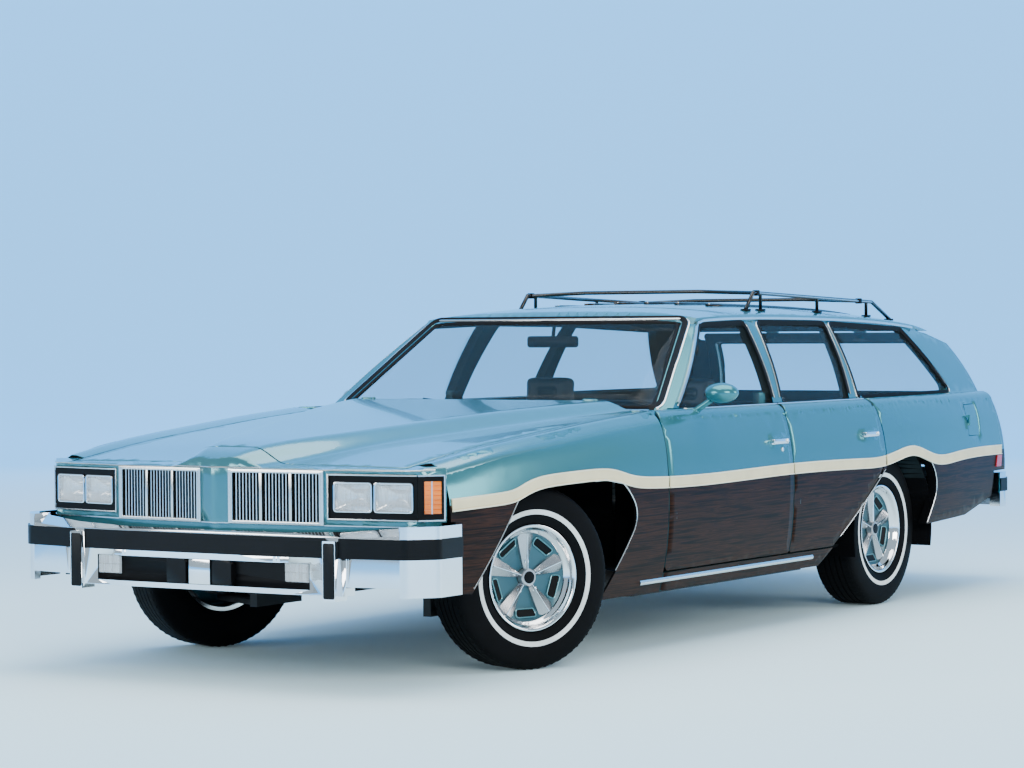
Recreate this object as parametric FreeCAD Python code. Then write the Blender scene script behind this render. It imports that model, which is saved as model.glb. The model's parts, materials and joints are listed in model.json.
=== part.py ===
"""A mid-size American station wagon of the late 1970s, built as an assembly of named pieces.

Units are millimetres. The front of the car points to -Y, its left side (the driver's side) to +X and
up is +Z. The origin is on the floor, half way along and across the car. The car stands as it parks,
with its front wheels turned to its right.
The outer panels are cut from smooth skins: a lower side, an upper side, a roof, a hood and a tail.
Each is a height or a half width as a function of the place on the car, so that neighbours meet flush.
"""
import FreeCAD
import Part

import math
import os

from FreeCAD import Rotation, Vector

# Overall sizes
OVERALL_LENGTH = 5471.0
OVERALL_WIDTH = 1966.0
WHEELBASE = 2946.0
FRONT_OVERHANG = 1025.0
ROOF_HEIGHT = 1400.0
BELT_HEIGHT = 965.0
SILL_BOTTOM = 238.0
SILL_TOP = 312.0

# Running gear
TRACK_FRONT = 1564.0
TRACK_REAR = 1552.0
TYRE_RADIUS = 352.0
TYRE_WIDTH = 208.0
RIM_RADIUS = 190.5
RIM_WIDTH = 178.0
KINGPIN_X = 690.0
STEER_REST_DEG = -22.0
SPOKES = 5
HUB_RADIUS = 76.0
PILOT_RADIUS = 35.0
RUN_GAP = 0.3

# Panels and glass
SHUT_GAP = 7.0
QUARTER_WALL = 46.0
PILLAR_WALL = 42.0
ROOF_WALL = 24.0
FENDER_WALL = 9.0
HOOD_WALL = 14.0
GATE_WALL = 44.0
GLASS_WALL = 5.0
GLASS_INSET = 6.0
GLASS_GAP = 7.0
SEAL = 0.3
FLOOR_WALL = 8.0
FLOOR_Z = 300.0
CARGO_Z = 566.0

# Places in side view
DOOR_FRONT_Y = -938.0
DOOR_MID_Y = 148.0
DOOR_REAR_Y = 1042.0
HINGE_BACK = 60.0
HINGE_IN = 15.0
HINGE_HEIGHTS = (540.0, 680.0)
HINGE_ARM = 24.0
HINGE_EYE = 8.0
HINGE_PIN = 4.0
HINGE_PIN_LENGTH = 56.0
PIN_GAP = 0.05
HOOD_FRONT_Y = -2518.0
HOOD_REAR_Y = -862.0
SEAM_X = 790.0
FACE_BOTTOM = 588.0
BRACE_Y = -2444.0
FRONT_RAIL_X = 405.0
RAIL_WIDTH = 64.0
RAIL_HEIGHT = 84.0
APRON_X = FRONT_RAIL_X + RAIL_WIDTH / 2 + 3.0
LIP_DROP = 34.0
COWL_TOP = 962.0
GATE_BOTTOM = 582.0
GATE_BELT = 905.0
GATE_TOP = 1262.0
GATE_HALF = 735.0
FUEL_Y = 2160.0
FUEL_Z = 832.0
FUEL_SIZE = 150.0
FUEL_WALL = 10.0

HALF_LENGTH = OVERALL_LENGTH / 2
HALF_WIDTH = OVERALL_WIDTH / 2
AXLE_FRONT = -HALF_LENGTH + FRONT_OVERHANG
AXLE_REAR = AXLE_FRONT + WHEELBASE
HINGE_X = HALF_WIDTH - HINGE_IN


def smooth(points):
    """A natural cubic curve through (t, value) points, straight past its ends."""
    ts = [p[0] for p in points]
    vs = [p[1] for p in points]
    n = len(ts)
    second = [0.0] * n
    work = [0.0] * n
    for i in range(1, n - 1):
        before = ts[i] - ts[i - 1]
        after = ts[i + 1] - ts[i]
        share = before / (before + after)
        pivot = share * second[i - 1] + 2.0
        second[i] = (share - 1.0) / pivot
        turn = (vs[i + 1] - vs[i]) / after - (vs[i] - vs[i - 1]) / before
        work[i] = (6.0 * turn / (before + after) - share * work[i - 1]) / pivot
    for i in range(n - 2, -1, -1):
        second[i] = second[i] * second[i + 1] + work[i]

    def value(t):
        if t <= ts[0]:
            step = ts[1] - ts[0]
            slope = (vs[1] - vs[0]) / step - step * second[1] / 6.0
            return vs[0] + slope * (t - ts[0])
        if t >= ts[-1]:
            step = ts[-1] - ts[-2]
            slope = (vs[-1] - vs[-2]) / step + step * second[-2] / 6.0
            return vs[-1] + slope * (t - ts[-1])
        k = 0
        while ts[k + 1] < t:
            k += 1
        step = ts[k + 1] - ts[k]
        a = (ts[k + 1] - t) / step
        b = (t - ts[k]) / step
        bend = (a ** 3 - a) * second[k] + (b ** 3 - b) * second[k + 1]
        return a * vs[k] + b * vs[k + 1] + bend * step * step / 6.0

    return value


def ease(t):
    """A step from 0 to 1 with flat ends."""
    t = max(0.0, min(1.0, t))
    return t * t * (3.0 - 2.0 * t)


def spread(low, high, count):
    """count numbers, evenly spaced from low to high."""
    return [low + (high - low) * i / (count - 1) for i in range(count)]


# Half width of the body at its widest height, along the car
PLAN = smooth([
    (-HALF_LENGTH + 120.0, HALF_WIDTH - 62.0),
    (-HALF_LENGTH + 420.0, HALF_WIDTH - 30.0),
    (AXLE_FRONT, HALF_WIDTH - 9.0),
    (-900.0, HALF_WIDTH - 3.0),
    (0.0, HALF_WIDTH - 2.0),
    (AXLE_REAR, HALF_WIDTH - 3.0),
    (AXLE_REAR + 620.0, HALF_WIDTH - 24.0),
    (HALF_LENGTH - 110.0, HALF_WIDTH - 88.0),
])

# Inset of the lower side from its widest line, up the side
SIDE_WIDEST = 600.0
SIDE_INSET = smooth([
    (SILL_BOTTOM - 10.0, 52.0),
    (SILL_TOP, 30.0),
    (460.0, 8.0),
    (SIDE_WIDEST, 0.5),
    (720.0, 4.0),
    (820.0, 17.0),
    (890.0, 33.0),
    (935.0, 52.0),
    (BELT_HEIGHT, 84.0),
])

# Inset of the upper side and its glass, up the side
UPPER_INSET = smooth([
    (930.0, 104.0),
    (1080.0, 158.0),
    (1220.0, 226.0),
    (1345.0, 300.0),
])

# Height of the fender crest along the front of the car
CREST = smooth([
    (-HALF_LENGTH + 140.0, 800.0),
    (-HALF_LENGTH + 300.0, 820.0),
    (-2180.0, 856.0),
    (AXLE_FRONT, 903.0),
    (-1300.0, 938.0),
    (-1000.0, 958.0),
    (-900.0, BELT_HEIGHT),
])

# Height of the raised middle of the hood, along the car
PLATEAU = smooth([
    (-HALF_LENGTH + 70.0, 812.0),
    (-HALF_LENGTH + 130.0, 842.0),
    (-HALF_LENGTH + 240.0, 872.0),
    (-2200.0, 905.0),
    (AXLE_FRONT, 947.0),
    (-1250.0, 982.0),
    (HOOD_REAR_Y, 1002.0),
])

# Height of the roof's side edge, and of its crown above that, along the car
ROOF_EDGE = smooth([
    (-330.0, 1330.0),
    (-190.0, 1339.0),
    (150.0, 1349.0),
    (600.0, 1349.0),
    (1000.0, 1343.0),
    (1450.0, 1331.0),
    (1840.0, 1309.0),
    (2080.0, 1284.0),
    (2260.0, 1250.0),
])
ROOF_CROWN = smooth([
    (-330.0, 22.0),
    (-190.0, 34.0),
    (150.0, ROOF_HEIGHT - 1350.0),
    (1450.0, ROOF_HEIGHT - 1348.0),
    (2080.0, 40.0),
    (2260.0, 30.0),
])
ROOF_HALF = 696.0

# Place along the car of the tail, up the tail, at its sides
TAIL_LINE = smooth([
    (400.0, HALF_LENGTH - 122.0),
    (560.0, HALF_LENGTH - 114.0),
    (690.0, HALF_LENGTH - 122.0),
    (815.0, HALF_LENGTH - 156.0),
    (960.0, HALF_LENGTH - 214.0),
    (1100.0, HALF_LENGTH - 306.0),
    (1200.0, HALF_LENGTH - 400.0),
    (1280.0, HALF_LENGTH - 520.0),
    (1345.0, HALF_LENGTH - 690.0),
])
TAIL_BOW = 40.0
TAIL_HALF = 800.0

# Windshield: the base and the top of its centre line, and the bow of its sides
SCREEN_BASE = (-812.0, 962.0)
SCREEN_TOP = (-250.0, 1345.0)
SCREEN_BOW = 84.0
SCREEN_HALF = 800.0
SCREEN_WIDTH_LOW = 786.0
SCREEN_WIDTH_HIGH = 634.0
PILLAR_DEPTH = 44.0

# Front face in plan, from the centre outwards: beak, grille, headlamps and the corner
NOSE_Y = -HALF_LENGTH + 86.0
FACE_PLAN = [
    (0.0, NOSE_Y),
    (62.0, NOSE_Y + 18.0),
    (486.0, NOSE_Y + 46.0),
    (856.0, NOSE_Y + 104.0),
    (926.0, NOSE_Y + 184.0),
]
FACE_WALL = 26.0
FACE_BACK_SIDE = -2455.0


HOOD_HINGES = (-560.0, 560.0)
HOOD_HINGE_Z = 1003.0
GATE_HINGES = (-250.0, 250.0)
GATE_HINGE_Z = GATE_TOP


def side_x(y, z):
    """Outer half width of the lower side."""
    crest = CREST(y) if y < -900.0 else BELT_HEIGHT
    if z > SIDE_WIDEST:
        z = SIDE_WIDEST + (z - SIDE_WIDEST) * (BELT_HEIGHT - SIDE_WIDEST) / (crest - SIDE_WIDEST)
        z = min(z, BELT_HEIGHT + 0.1 * (z - BELT_HEIGHT)) if z > BELT_HEIGHT else z
    hip = 8.0 * math.exp(-(((y - AXLE_REAR - 150.0) / 620.0) ** 2) - ((z - 850.0) / 80.0) ** 2)
    shoulder = 8.0 * math.exp(-(((y - AXLE_FRONT - 250.0) / 700.0) ** 2) - ((z - 860.0) / 75.0) ** 2)
    return PLAN(y) - SIDE_INSET(z) + hip + shoulder


def door_inner_x(y, z):
    """Inner half width of the doors: a flat face that leans in towards the belt."""
    return PLAN(y) - 90.0 - 48.0 * (z - SILL_BOTTOM) / (BELT_HEIGHT - SILL_BOTTOM)


def upper_x(y, z):
    """Outer half width of the upper side, at the pillars."""
    return PLAN(y) - UPPER_INSET(z)


def roof_z(x, y):
    """Height of the roof skin."""
    share = abs(x) / ROOF_HALF
    return ROOF_EDGE(y) + ROOF_CROWN(y) * (1.0 - 0.6 * share ** 2 - 0.4 * share ** 6)


def ridge_half(y):
    """Half width of the hood's raised middle."""
    share = (y - NOSE_Y) / (HOOD_REAR_Y - NOSE_Y)
    return 62.0 + 560.0 * max(0.0, share)


def seam_z(y):
    """Height of the seam between hood and fender."""
    return CREST(y) - 8.0


def hood_z(x, y):
    """Height of the hood skin: a raised middle that widens rearwards, between two valleys."""
    half = ridge_half(y)
    rise = 1.0 - ease((abs(x) - half) / 150.0)
    crown = 7.0 * (1.0 - (x / SEAM_X) ** 2)
    return seam_z(y) + crown + (PLATEAU(y) - seam_z(y) - crown) * rise


def fender_z(x, y):
    """Height of the fender's top, from the seam out to the crest."""
    share = (abs(x) - SEAM_X) / (side_x(y, CREST(y)) - SEAM_X)
    return seam_z(y) + 8.0 * ease(share * 1.2)


def tail_y(x, z):
    """Place of the tail skin along the car."""
    return TAIL_LINE(z) + TAIL_BOW * (1.0 - (x / TAIL_HALF) ** 2)


def screen_y(x, z):
    """Place of the windshield's outer face along the car."""
    slope = (SCREEN_TOP[0] - SCREEN_BASE[0]) / (SCREEN_TOP[1] - SCREEN_BASE[1])
    return SCREEN_BASE[0] + (z - SCREEN_BASE[1]) * slope + SCREEN_BOW * (x / SCREEN_HALF) ** 2


GATE_HINGE_Y = tail_y(0, GATE_TOP)
FUEL_HINGE = (side_x(FUEL_Y - FUEL_SIZE / 2, FUEL_Z - FUEL_SIZE / 2) + 1.0, FUEL_Y - FUEL_SIZE / 2)


# Tools for making solids

def skin(point, a_values, b_values):
    """A smooth face through point(a, b)."""
    surface = Part.BSplineSurface()
    surface.interpolate([[Vector(*point(a, b)) for b in b_values] for a in a_values])
    return surface.toShape()


def sheet(outer, inner, a_values, b_values):
    """A closed solid between two smooth faces with matching edges."""
    front = skin(outer, a_values, b_values)
    back = skin(inner, a_values, b_values)
    faces = [front, back]
    for one, other in zip(front.Edges, back.Edges):
        faces.append(Part.makeRuledSurface(one, other))
    shell = Part.makeShell(faces)
    shell.sewShape()
    solid = Part.makeSolid(shell)
    if solid.Volume < 0:
        solid.reverse()
    return solid


def rounded(points, place):
    """A closed face from (u, v[, corner radius]) points. place(u, v) gives each point in space."""
    n = len(points)
    corners = []
    for i in range(n):
        here = Vector(points[i][0], points[i][1], 0)
        radius = points[i][2] if len(points[i]) > 2 else 0.0
        if radius <= 0:
            corners.append((here, None, here))
            continue
        before = Vector(points[i - 1][0], points[i - 1][1], 0) - here
        after = Vector(points[(i + 1) % n][0], points[(i + 1) % n][1], 0) - here
        angle = before.getAngle(after)
        cut = min(radius / math.tan(angle / 2), 0.49 * before.Length, 0.49 * after.Length)
        radius = cut * math.tan(angle / 2)
        before.normalize()
        after.normalize()
        middle = before + after
        middle.normalize()
        centre = here + middle * (radius / math.sin(angle / 2))
        corners.append((here + before * cut, centre - middle * radius, here + after * cut))
    edges = []
    for i in range(n):
        start, mid, end = corners[i]
        if mid is not None:
            edges.append(Part.Arc(place(start.x, start.y), place(mid.x, mid.y),
                                  place(end.x, end.y)).toShape())
        following = corners[(i + 1) % n][0]
        if (following - end).Length > 1e-6:
            edges.append(Part.LineSegment(place(end.x, end.y), place(following.x, following.y)).toShape())
    return Part.Face(Part.Wire(edges))


def prism_x(points, x0, x1):
    """A prism along X from (y, z[, radius]) points."""
    return rounded(points, lambda u, v: Vector(x0, u, v)).extrude(Vector(x1 - x0, 0, 0))


def prism_y(points, y0, y1):
    """A prism along Y from (x, z[, radius]) points."""
    return rounded(points, lambda u, v: Vector(u, y0, v)).extrude(Vector(0, y1 - y0, 0))


def prism_z(points, z0, z1):
    """A prism along Z from (x, y[, radius]) points."""
    return rounded(points, lambda u, v: Vector(u, v, z0)).extrude(Vector(0, 0, z1 - z0))


def box(x0, x1, y0, y1, z0, z1):
    """A block between two corners."""
    return Part.makeBox(x1 - x0, y1 - y0, z1 - z0, Vector(x0, y0, z0))


def rod(start, end, radius):
    """A round bar between two points."""
    start = Vector(*start)
    end = Vector(*end)
    return Part.makeCylinder(radius, (end - start).Length, start, end - start)


def mirrored(shape):
    """The same piece on the other side of the car."""
    return shape.mirror(Vector(0, 0, 0), Vector(1, 0, 0))


def both(shape):
    """The piece and its mirror image."""
    return [shape, mirrored(shape)]


def joined(shapes):
    """One solid from touching shapes."""
    result = shapes[0]
    for shape in shapes[1:]:
        result = result.fuse(shape)
    return result.removeSplitter()


def grouped(shapes):
    """Separate solids in one shape."""
    solids = []
    for shape in shapes:
        solids.extend(shape.Solids)
    return Part.makeCompound(solids)


def spun(points):
    """A solid turned about the X axis from (radius, along[, corner radius]) points."""
    face = rounded(points, lambda u, v: Vector(v, 0, u))
    return face.revolve(Vector(0, 0, 0), Vector(1, 0, 0), 360)


def pipe(points, radius):
    """A round bar along straight runs with ball joints."""
    pieces = []
    for start, end in zip(points, points[1:]):
        pieces.append(rod(start, end, radius))
    for corner in points[1:-1]:
        pieces.append(Part.makeSphere(radius, Vector(*corner)))
    return joined(pieces)


def beam(start, end, width, height):
    """A box beam of the given section between two points."""
    start = Vector(*start)
    end = Vector(*end)
    across = Vector(-(end - start).y, (end - start).x, 0)
    across.normalize()
    corners = []
    for side, lift in ((-1, -1), (1, -1), (1, 1), (-1, 1)):
        corners.append(start + across * (side * width / 2) + Vector(0, 0, lift * height / 2))
    corners.append(corners[0])
    return Part.Face(Part.makePolygon(corners)).extrude(end - start)


def on_face(shape, run):
    """A piece built along X from 0, put on one run of the front face's plan."""
    (x0, y0), (x1, y1) = FACE_PLAN[run], FACE_PLAN[run + 1]
    angle = math.degrees(math.atan2(y1 - y0, x1 - x0))
    turned = shape.copy()
    turned.rotate(Vector(0, 0, 0), Vector(0, 0, 1), angle)
    turned.translate(Vector(x0, y0, 0))
    return turned


# The skins as solids

SIDE_Z = spread(SILL_BOTTOM, BELT_HEIGHT, 13)


def side_sheet(y0, y1, inner, inset=0.0):
    """The lower left side from sill to belt, in to inner(y, z)."""
    return sheet(
        lambda y, z: (side_x(y, z) - inset, y, z),
        lambda y, z: (inner(y, z), y, z),
        spread(y0, y1, 15), SIDE_Z)


def upper_sheet(wall, inset=0.0):
    """The upper left side, from the belt to above the roof's edge."""
    return sheet(
        lambda y, z: (upper_x(y, z) - inset, y, z),
        lambda y, z: (upper_x(y, z) - wall, y, z),
        spread(-1000.0, HALF_LENGTH - 60.0, 11), spread(BELT_HEIGHT - 34, 1352.0, 8))


def glass_sheet():
    """The curved side glass, set in from the pillars' outer face."""
    return sheet(
        lambda y, z: (upper_x(y, z) - GLASS_INSET, y, z),
        lambda y, z: (upper_x(y, z) - GLASS_INSET - GLASS_WALL, y, z),
        spread(-1000.0, HALF_LENGTH - 60.0, 11), spread(BELT_HEIGHT - 45.0, 1350.0, 8))


def above_roof():
    """Everything above the roof's under side."""
    return sheet(
        lambda x, y: (x, y, 1600.0),
        lambda x, y: (x, y, roof_z(x, y) - ROOF_WALL),
        spread(-760.0, 760.0, 17), spread(-420.0, 2400.0, 13))


def roof_sheet():
    """The roof with its lining."""
    return sheet(
        lambda x, y: (x, y, roof_z(x, y)),
        lambda x, y: (x, y, roof_z(x, y) - ROOF_WALL),
        spread(-760.0, 760.0, 17), spread(-420.0, 2400.0, 13))


def tail_sheet(wall, offset, low, high, half):
    """A sheet along the tail, offset forwards from its skin."""
    return sheet(
        lambda x, z: (x, tail_y(x, z) - offset, z),
        lambda x, z: (x, tail_y(x, z) - offset - wall, z),
        spread(-half, half, 9), spread(low, high, 14))


def beyond_tail(offset):
    """Everything behind a face that lies offset behind the tail skin."""
    return sheet(
        lambda x, z: (x, tail_y(x, z) + offset, z),
        lambda x, z: (x, 4000.0, z),
        spread(-1100.0, 1100.0, 11), spread(150.0, 1500.0, 15))


def screen_sheet(wall, offset, half, low, high):
    """A sheet along the windshield, offset rearwards from its outer face."""
    return sheet(
        lambda x, z: (x, screen_y(x, z) + offset, z),
        lambda x, z: (x, screen_y(x, z) + offset + wall, z),
        spread(-half, half, 9), spread(low, high, 6))


def hood_sheet(wall, half, y0, y1):
    """A sheet along the hood skin."""
    return sheet(
        lambda x, y: (x, y, hood_z(x, y)),
        lambda x, y: (x, y, hood_z(x, y) - wall),
        spread(-half, half, 41), spread(y0, y1, 23))


# Side view outlines

def arch_outline(front):
    """The wheel opening in side view: its leading edge slopes and its trailing edge bulges."""
    if front:
        points = [(-715, 180), (-310, 700, 150), (405, 714, 190), (548, 565, 130), (262, 180)]
        axle = AXLE_FRONT
    else:
        points = [(-862, 180), (-100, 694, 200), (310, 690, 180), (430, 545, 150), (225, 180)]
        axle = AXLE_REAR
    return [(axle + p[0],) + tuple(p[1:]) for p in points]


def arch_cut(front):
    """The space of a left wheel opening."""
    return prism_x(arch_outline(front), 500, 1200)


def door_outline(front):
    """Outline of a lower door, carried on above the belt."""
    low = SILL_TOP + SHUT_GAP
    high = BELT_HEIGHT + 60.0
    if front:
        y0, y1 = DOOR_FRONT_Y, DOOR_MID_Y - SHUT_GAP
        return [(y0, low, 30), (y1, low, 12), (y1, high), (y0, high)]
    y0, y1 = DOOR_MID_Y, DOOR_REAR_Y
    return [(y0, low, 12), (AXLE_REAR - 672, low, 20), (AXLE_REAR - 236, 620, 40), (y1 + 26, 700, 70),
            (y1 - 34, high), (y0, high)]


def door_opening(front):
    """The space that a door closes, one gap wider all round."""
    face = rounded(door_outline(front), lambda u, v: Vector(400, u, v))
    return face.makeOffset2D(SHUT_GAP).extrude(Vector(800, 0, 0))


WINDOW_FRONT = [(-667, 966), (-182, 1308), (214, 1318, 30), (176, 966)]
WINDOW_REAR = [(258, 966), (340, 1318, 40), (982, 1311, 30), (916, 966)]
WINDOW_QUARTER = [(1014, 972, 14), (1038, 1309, 24), (1795, 1279, 34), (2112, 972, 24)]


def window_cut(points, grow):
    """The space of a left side window."""
    face = rounded(points, lambda u, v: Vector(300, u, v))
    if grow:
        face = face.makeOffset2D(grow)
    return face.extrude(Vector(800, 0, 0))


# Body

def body_side():
    """The left body side: sill, door posts, quarter panel and pillars, with the openings cut."""
    sill = side_sheet(DOOR_FRONT_Y - 60, AXLE_REAR - 300, door_inner_x)
    sill = sill.common(box(300, 1200, DOOR_FRONT_Y, AXLE_REAR - 400, 100, SILL_TOP))
    quarter = side_sheet(DOOR_REAR_Y - 300, HALF_LENGTH - 60, lambda y, z: side_x(y, z) - QUARTER_WALL)
    quarter = quarter.cut(door_opening(False))
    front_end = [(DOOR_REAR_Y - 320, 0), (DOOR_REAR_Y - 20, 0), (DOOR_REAR_Y - 20, 1200),
                 (DOOR_REAR_Y - 320, 1200)]
    quarter = quarter.cut(prism_x(front_end, 300, 1200))
    low_edge = [(AXLE_REAR + 150, 100), (AXLE_REAR + 150, 352), (2050, 372), (2420, 446), (2440, 568),
                (2800, 568),
                (2800, 100)]
    quarter = quarter.cut(prism_x(low_edge, 300, 1200))
    upper = upper_sheet(150)
    lean = (SCREEN_WIDTH_LOW - SCREEN_WIDTH_HIGH) / (1330.0 - 970.0)
    wide = [(SCREEN_WIDTH_LOW + 90 * lean, 880), (SCREEN_WIDTH_HIGH - 50 * lean, 1380), (1200, 1380),
            (1200, 880)]
    screen_post = screen_sheet(PILLAR_DEPTH + 60, -60, 900, 880, 1380).common(prism_y(wide, -1100, 100))
    flange = screen_sheet(PILLAR_DEPTH + 63, -60, 900, 880, 1380)
    cabin = upper_sheet(300, PILLAR_WALL).cut(screen_post)
    upper = upper.cut(cabin)
    upper = upper.cut(screen_sheet(-1500, 0, 1100, 800, 1500))
    upper = upper.cut(box(300, 1200, -1200, -600, 900, COWL_TOP))
    upper = upper.cut(box(door_inner_x(0, BELT_HEIGHT) - 4, 1200, -1200, DOOR_REAR_Y - 34, 900,
                          BELT_HEIGHT + 4))
    upper = upper.cut(box(300, 1200, -601, DOOR_REAR_Y - 34, 900, BELT_HEIGHT + 4))
    upper = upper.cut(door_opening(False).common(box(300, 1200, 900, 1200, 800, BELT_HEIGHT + 4)))
    upper = upper.cut(window_cut(WINDOW_FRONT, 0).cut(flange))
    upper = upper.cut(window_cut(WINDOW_REAR, 0))
    upper = upper.cut(window_cut(WINDOW_QUARTER, 0))
    corner = side_sheet(1900, HALF_LENGTH - 60, lambda y, z: 300, 4).fuse(upper_sheet(300, 4))
    inner_edge = GATE_HALF + SHUT_GAP
    edge = [(inner_edge, 568), (inner_edge, GATE_BELT), (gate_half(1350) + SHUT_GAP, 1350), (1200, 1350),
            (1200, 568)]
    corner = corner.common(prism_y(edge, 1800, 3000)).common(beyond_tail(-QUARTER_WALL))
    foot = door_inner_x(0, SILL_TOP) + 8
    base = FLOOR_Z
    post_low = door_inner_x(0, SILL_TOP) - 6
    post_high = door_inner_x(0, 860) - 6
    centre_post = [(790, base), (foot, base), (foot, SILL_TOP - 20), (post_low, SILL_TOP), (post_high, 860),
                   (822, 960),
                   (822, 1010), (790, 1010)]
    post = prism_y(centre_post, DOOR_MID_Y - 20, DOOR_MID_Y + 70)
    hinge_post = prism_y([(760, base), (foot, base), (foot, SILL_TOP), (845, SILL_TOP + 20), (845, 880),
                          (828, COWL_TOP - 37),
                          (760, COWL_TOP - 37)], DOOR_FRONT_Y - 60, DOOR_FRONT_Y + 12)
    hinge_post = hinge_post.cut(box(780, 900, DOOR_FRONT_Y - 70, DOOR_FRONT_Y - SHUT_GAP + SEAL, 900, 940))
    rear_post = side_sheet(DOOR_REAR_Y - 100, DOOR_REAR_Y + 200, door_inner_x, 6)
    rear_post = rear_post.common(prism_x([(DOOR_REAR_Y + 38, 690), (DOOR_REAR_Y + 90, 690),
                                          (DOOR_REAR_Y + 30, 980),
                                          (DOOR_REAR_Y - 20, 980)], 300, 1200))
    body = quarter
    for piece in (rear_post, upper, corner, sill, post, hinge_post):
        body = body.fuse(piece)
    body = body.cut(arch_cut(False))
    body = body.cut(beyond_tail(0))
    body = body.cut(above_roof())
    body = body.cut(bumper_pocket(True))
    body = body.cut(tail_lamp_space())
    for hinge in body_hinges(True) + body_hinges(False):
        body = body.fuse(hinge)
    return body


def fuel_hinge():
    """The pin and ears of the fuel door's hinge, on the body."""
    x, y = FUEL_HINGE
    pieces = [rod((x, y, FUEL_Z - 26), (x, y, FUEL_Z + 26), 2)]
    for z0, z1 in ((FUEL_Z - 26, FUEL_Z - 14.3), (FUEL_Z + 14.3, FUEL_Z + 26)):
        pieces.append(rod((x, y, z0), (x, y, z1), 5))
        pieces.append(box(x - 12, x, y - 14, y - 1, z0, z1))
    return joined(pieces)


def bumper_pocket(rear):
    """The clear space around a bumper."""
    if rear:
        return bumper_ring(True, -5, 80, 378, 563)
    return bumper_ring(False, -5, 70, 320, 607)


def roof():
    """The roof panel with its lining, from the windshield to the header above the liftgate."""
    panel = roof_sheet()
    edge_x = upper_x(500, 1345) + 10
    sides = [(-edge_x, -420), (edge_x, -420), (edge_x, 1700, 400), (edge_x - 34, 2400), (34 - edge_x, 2400),
             (-edge_x, 1700, 400)]
    panel = panel.common(prism_z(sides, 1100, 1500))
    panel = panel.cut(screen_sheet(-1500, 0, 1100, 1000, 1500))
    low, high = GATE_TOP + SHUT_GAP, 1400.0
    outline = [(-gate_half(low) - SHUT_GAP, low), (gate_half(low) + SHUT_GAP, low),
               (gate_half(high) + SHUT_GAP, high),
               (-gate_half(high) - SHUT_GAP, high)]
    header = prism_y(outline, 1950, 2500).common(beyond_tail(-GATE_WALL))
    header = header.common(sheet(
        lambda x, y: (x, y, roof_z(x, y) - ROOF_WALL / 2),
        lambda x, y: (x, y, 1000),
        spread(-760.0, 760.0, 17), spread(-420.0, 2600.0, 13)))
    panel = panel.cut(box(-800, 800, 1900, 2600, 1000, low))
    panel = joined([panel, header]).cut(beyond_tail(0))
    for x in GATE_HINGES:
        ears, lug, hole, notch = cross_hinge(x, GATE_HINGE_Y, GATE_HINGE_Z, 24, 8.0)
        panel = joined([panel.cut(notch), ears])
    return panel


def floor_pan():
    """Floor, firewall, cargo floor, wheelhouses and the front inner panels."""
    half = door_inner_x(0, FLOOR_Z)
    top, low, cargo = 925.0, FLOOR_Z, CARGO_Z
    wall = FLOOR_WALL
    path = [(-1012, top), (-1012, 560, 60), (-760, low + wall, 90), (760, low + wall, 60),
            (880, cargo + wall, 50),
            (HALF_LENGTH - 150, cargo + wall), (HALF_LENGTH - 150, cargo), (884, cargo, 50), (764, low, 60),
            (-764, low, 90),
            (-1020, 556, 60), (-1020, top)]
    pan = prism_x(path, -half, half)
    inner = door_inner_x(0, CARGO_Z) - 8
    sides = both(box(755, 1000, -1100, -1000, 0, 1000)) + both(box(inner, 1000, -1100, DOOR_REAR_Y, SILL_TOP,
                                                                   900))
    for side in sides:
        pan = pan.cut(side)
    tunnel = [(-150, low - 5), (-105, low + 120, 40), (105, low + 120, 40), (150, low - 5)]
    hollow = [(-142, low - 10), (-99, low + 112, 34), (99, low + 112, 34), (142, low - 10)]
    pan = pan.fuse(prism_y(tunnel, -1012, 850)).cut(prism_y(hollow, -1100, 900))
    pieces = [pan]
    for side in (1, -1):
        house = spun([(408, 640), (408, 934), (416, 934), (416, 632), (120, 632), (120, 640)])
        house.translate(Vector(0, AXLE_REAR, TYRE_RADIUS))
        house = house.common(box(600, 1000, AXLE_REAR - 500, AXLE_REAR + 500, 250, 900))
        house = house.cut(door_opening(False).common(box(door_inner_x(0, 700) - 10, 1200, 0, 2000, 0, 1000)))
        space = rod((640, AXLE_REAR, TYRE_RADIUS), (1100, AXLE_REAR, TYRE_RADIUS), 408)
        if side < 0:
            house = mirrored(house)
            space = mirrored(space)
        pieces[0] = pieces[0].cut(space)
        pieces.append(house)
    for side in (1, -1):
        apron = front_apron()
        pieces.append(apron if side > 0 else mirrored(apron))
    brace = box(-604, 604, BRACE_Y, BRACE_Y + FLOOR_WALL, 434,
                764).cut(box(-380, 380, -2500, -2400, 470, 730))
    pieces.append(brace)
    rear_beam = box(-730, 730, HALF_LENGTH - 152, HALF_LENGTH - 142, 486, GATE_BOTTOM - SHUT_GAP)
    pieces.append(rear_beam)
    return joined(pieces)


def front_apron():
    """The left inner panel of the engine bay: a wall, a shelf over the tyre, and the fender's flange."""
    x = APRON_X
    wall = prism_y([(x, 330), (x + 6, 330), (x + 6, 724), (604, 744), (604, 750), (x, 730)], -2440, -1012)
    wall = wall.cut(box(300, 590, -1290, -1000, 300, 440))
    wall = wall.cut(box(x - 10, x + 20, AXLE_FRONT - 120, AXLE_FRONT + 120, 478, 512))
    upper = sheet(
        lambda y, z: (598, y, 744 + (seam_z(y) - LIP_DROP - 6 - 744) * z),
        lambda y, z: (604, y, 744 + (seam_z(y) - LIP_DROP - 6 - 744) * z),
        spread(-2440, -1012, 9), spread(0, 1, 2))
    flange = sheet(
        lambda x, y: (x, y, seam_z(y) - LIP_DROP - SEAL),
        lambda x, y: (x, y, seam_z(y) - LIP_DROP - 6),
        spread(598, 806, 3), spread(-2440, -1012, 9))
    return joined([wall, upper, flange])


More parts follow.
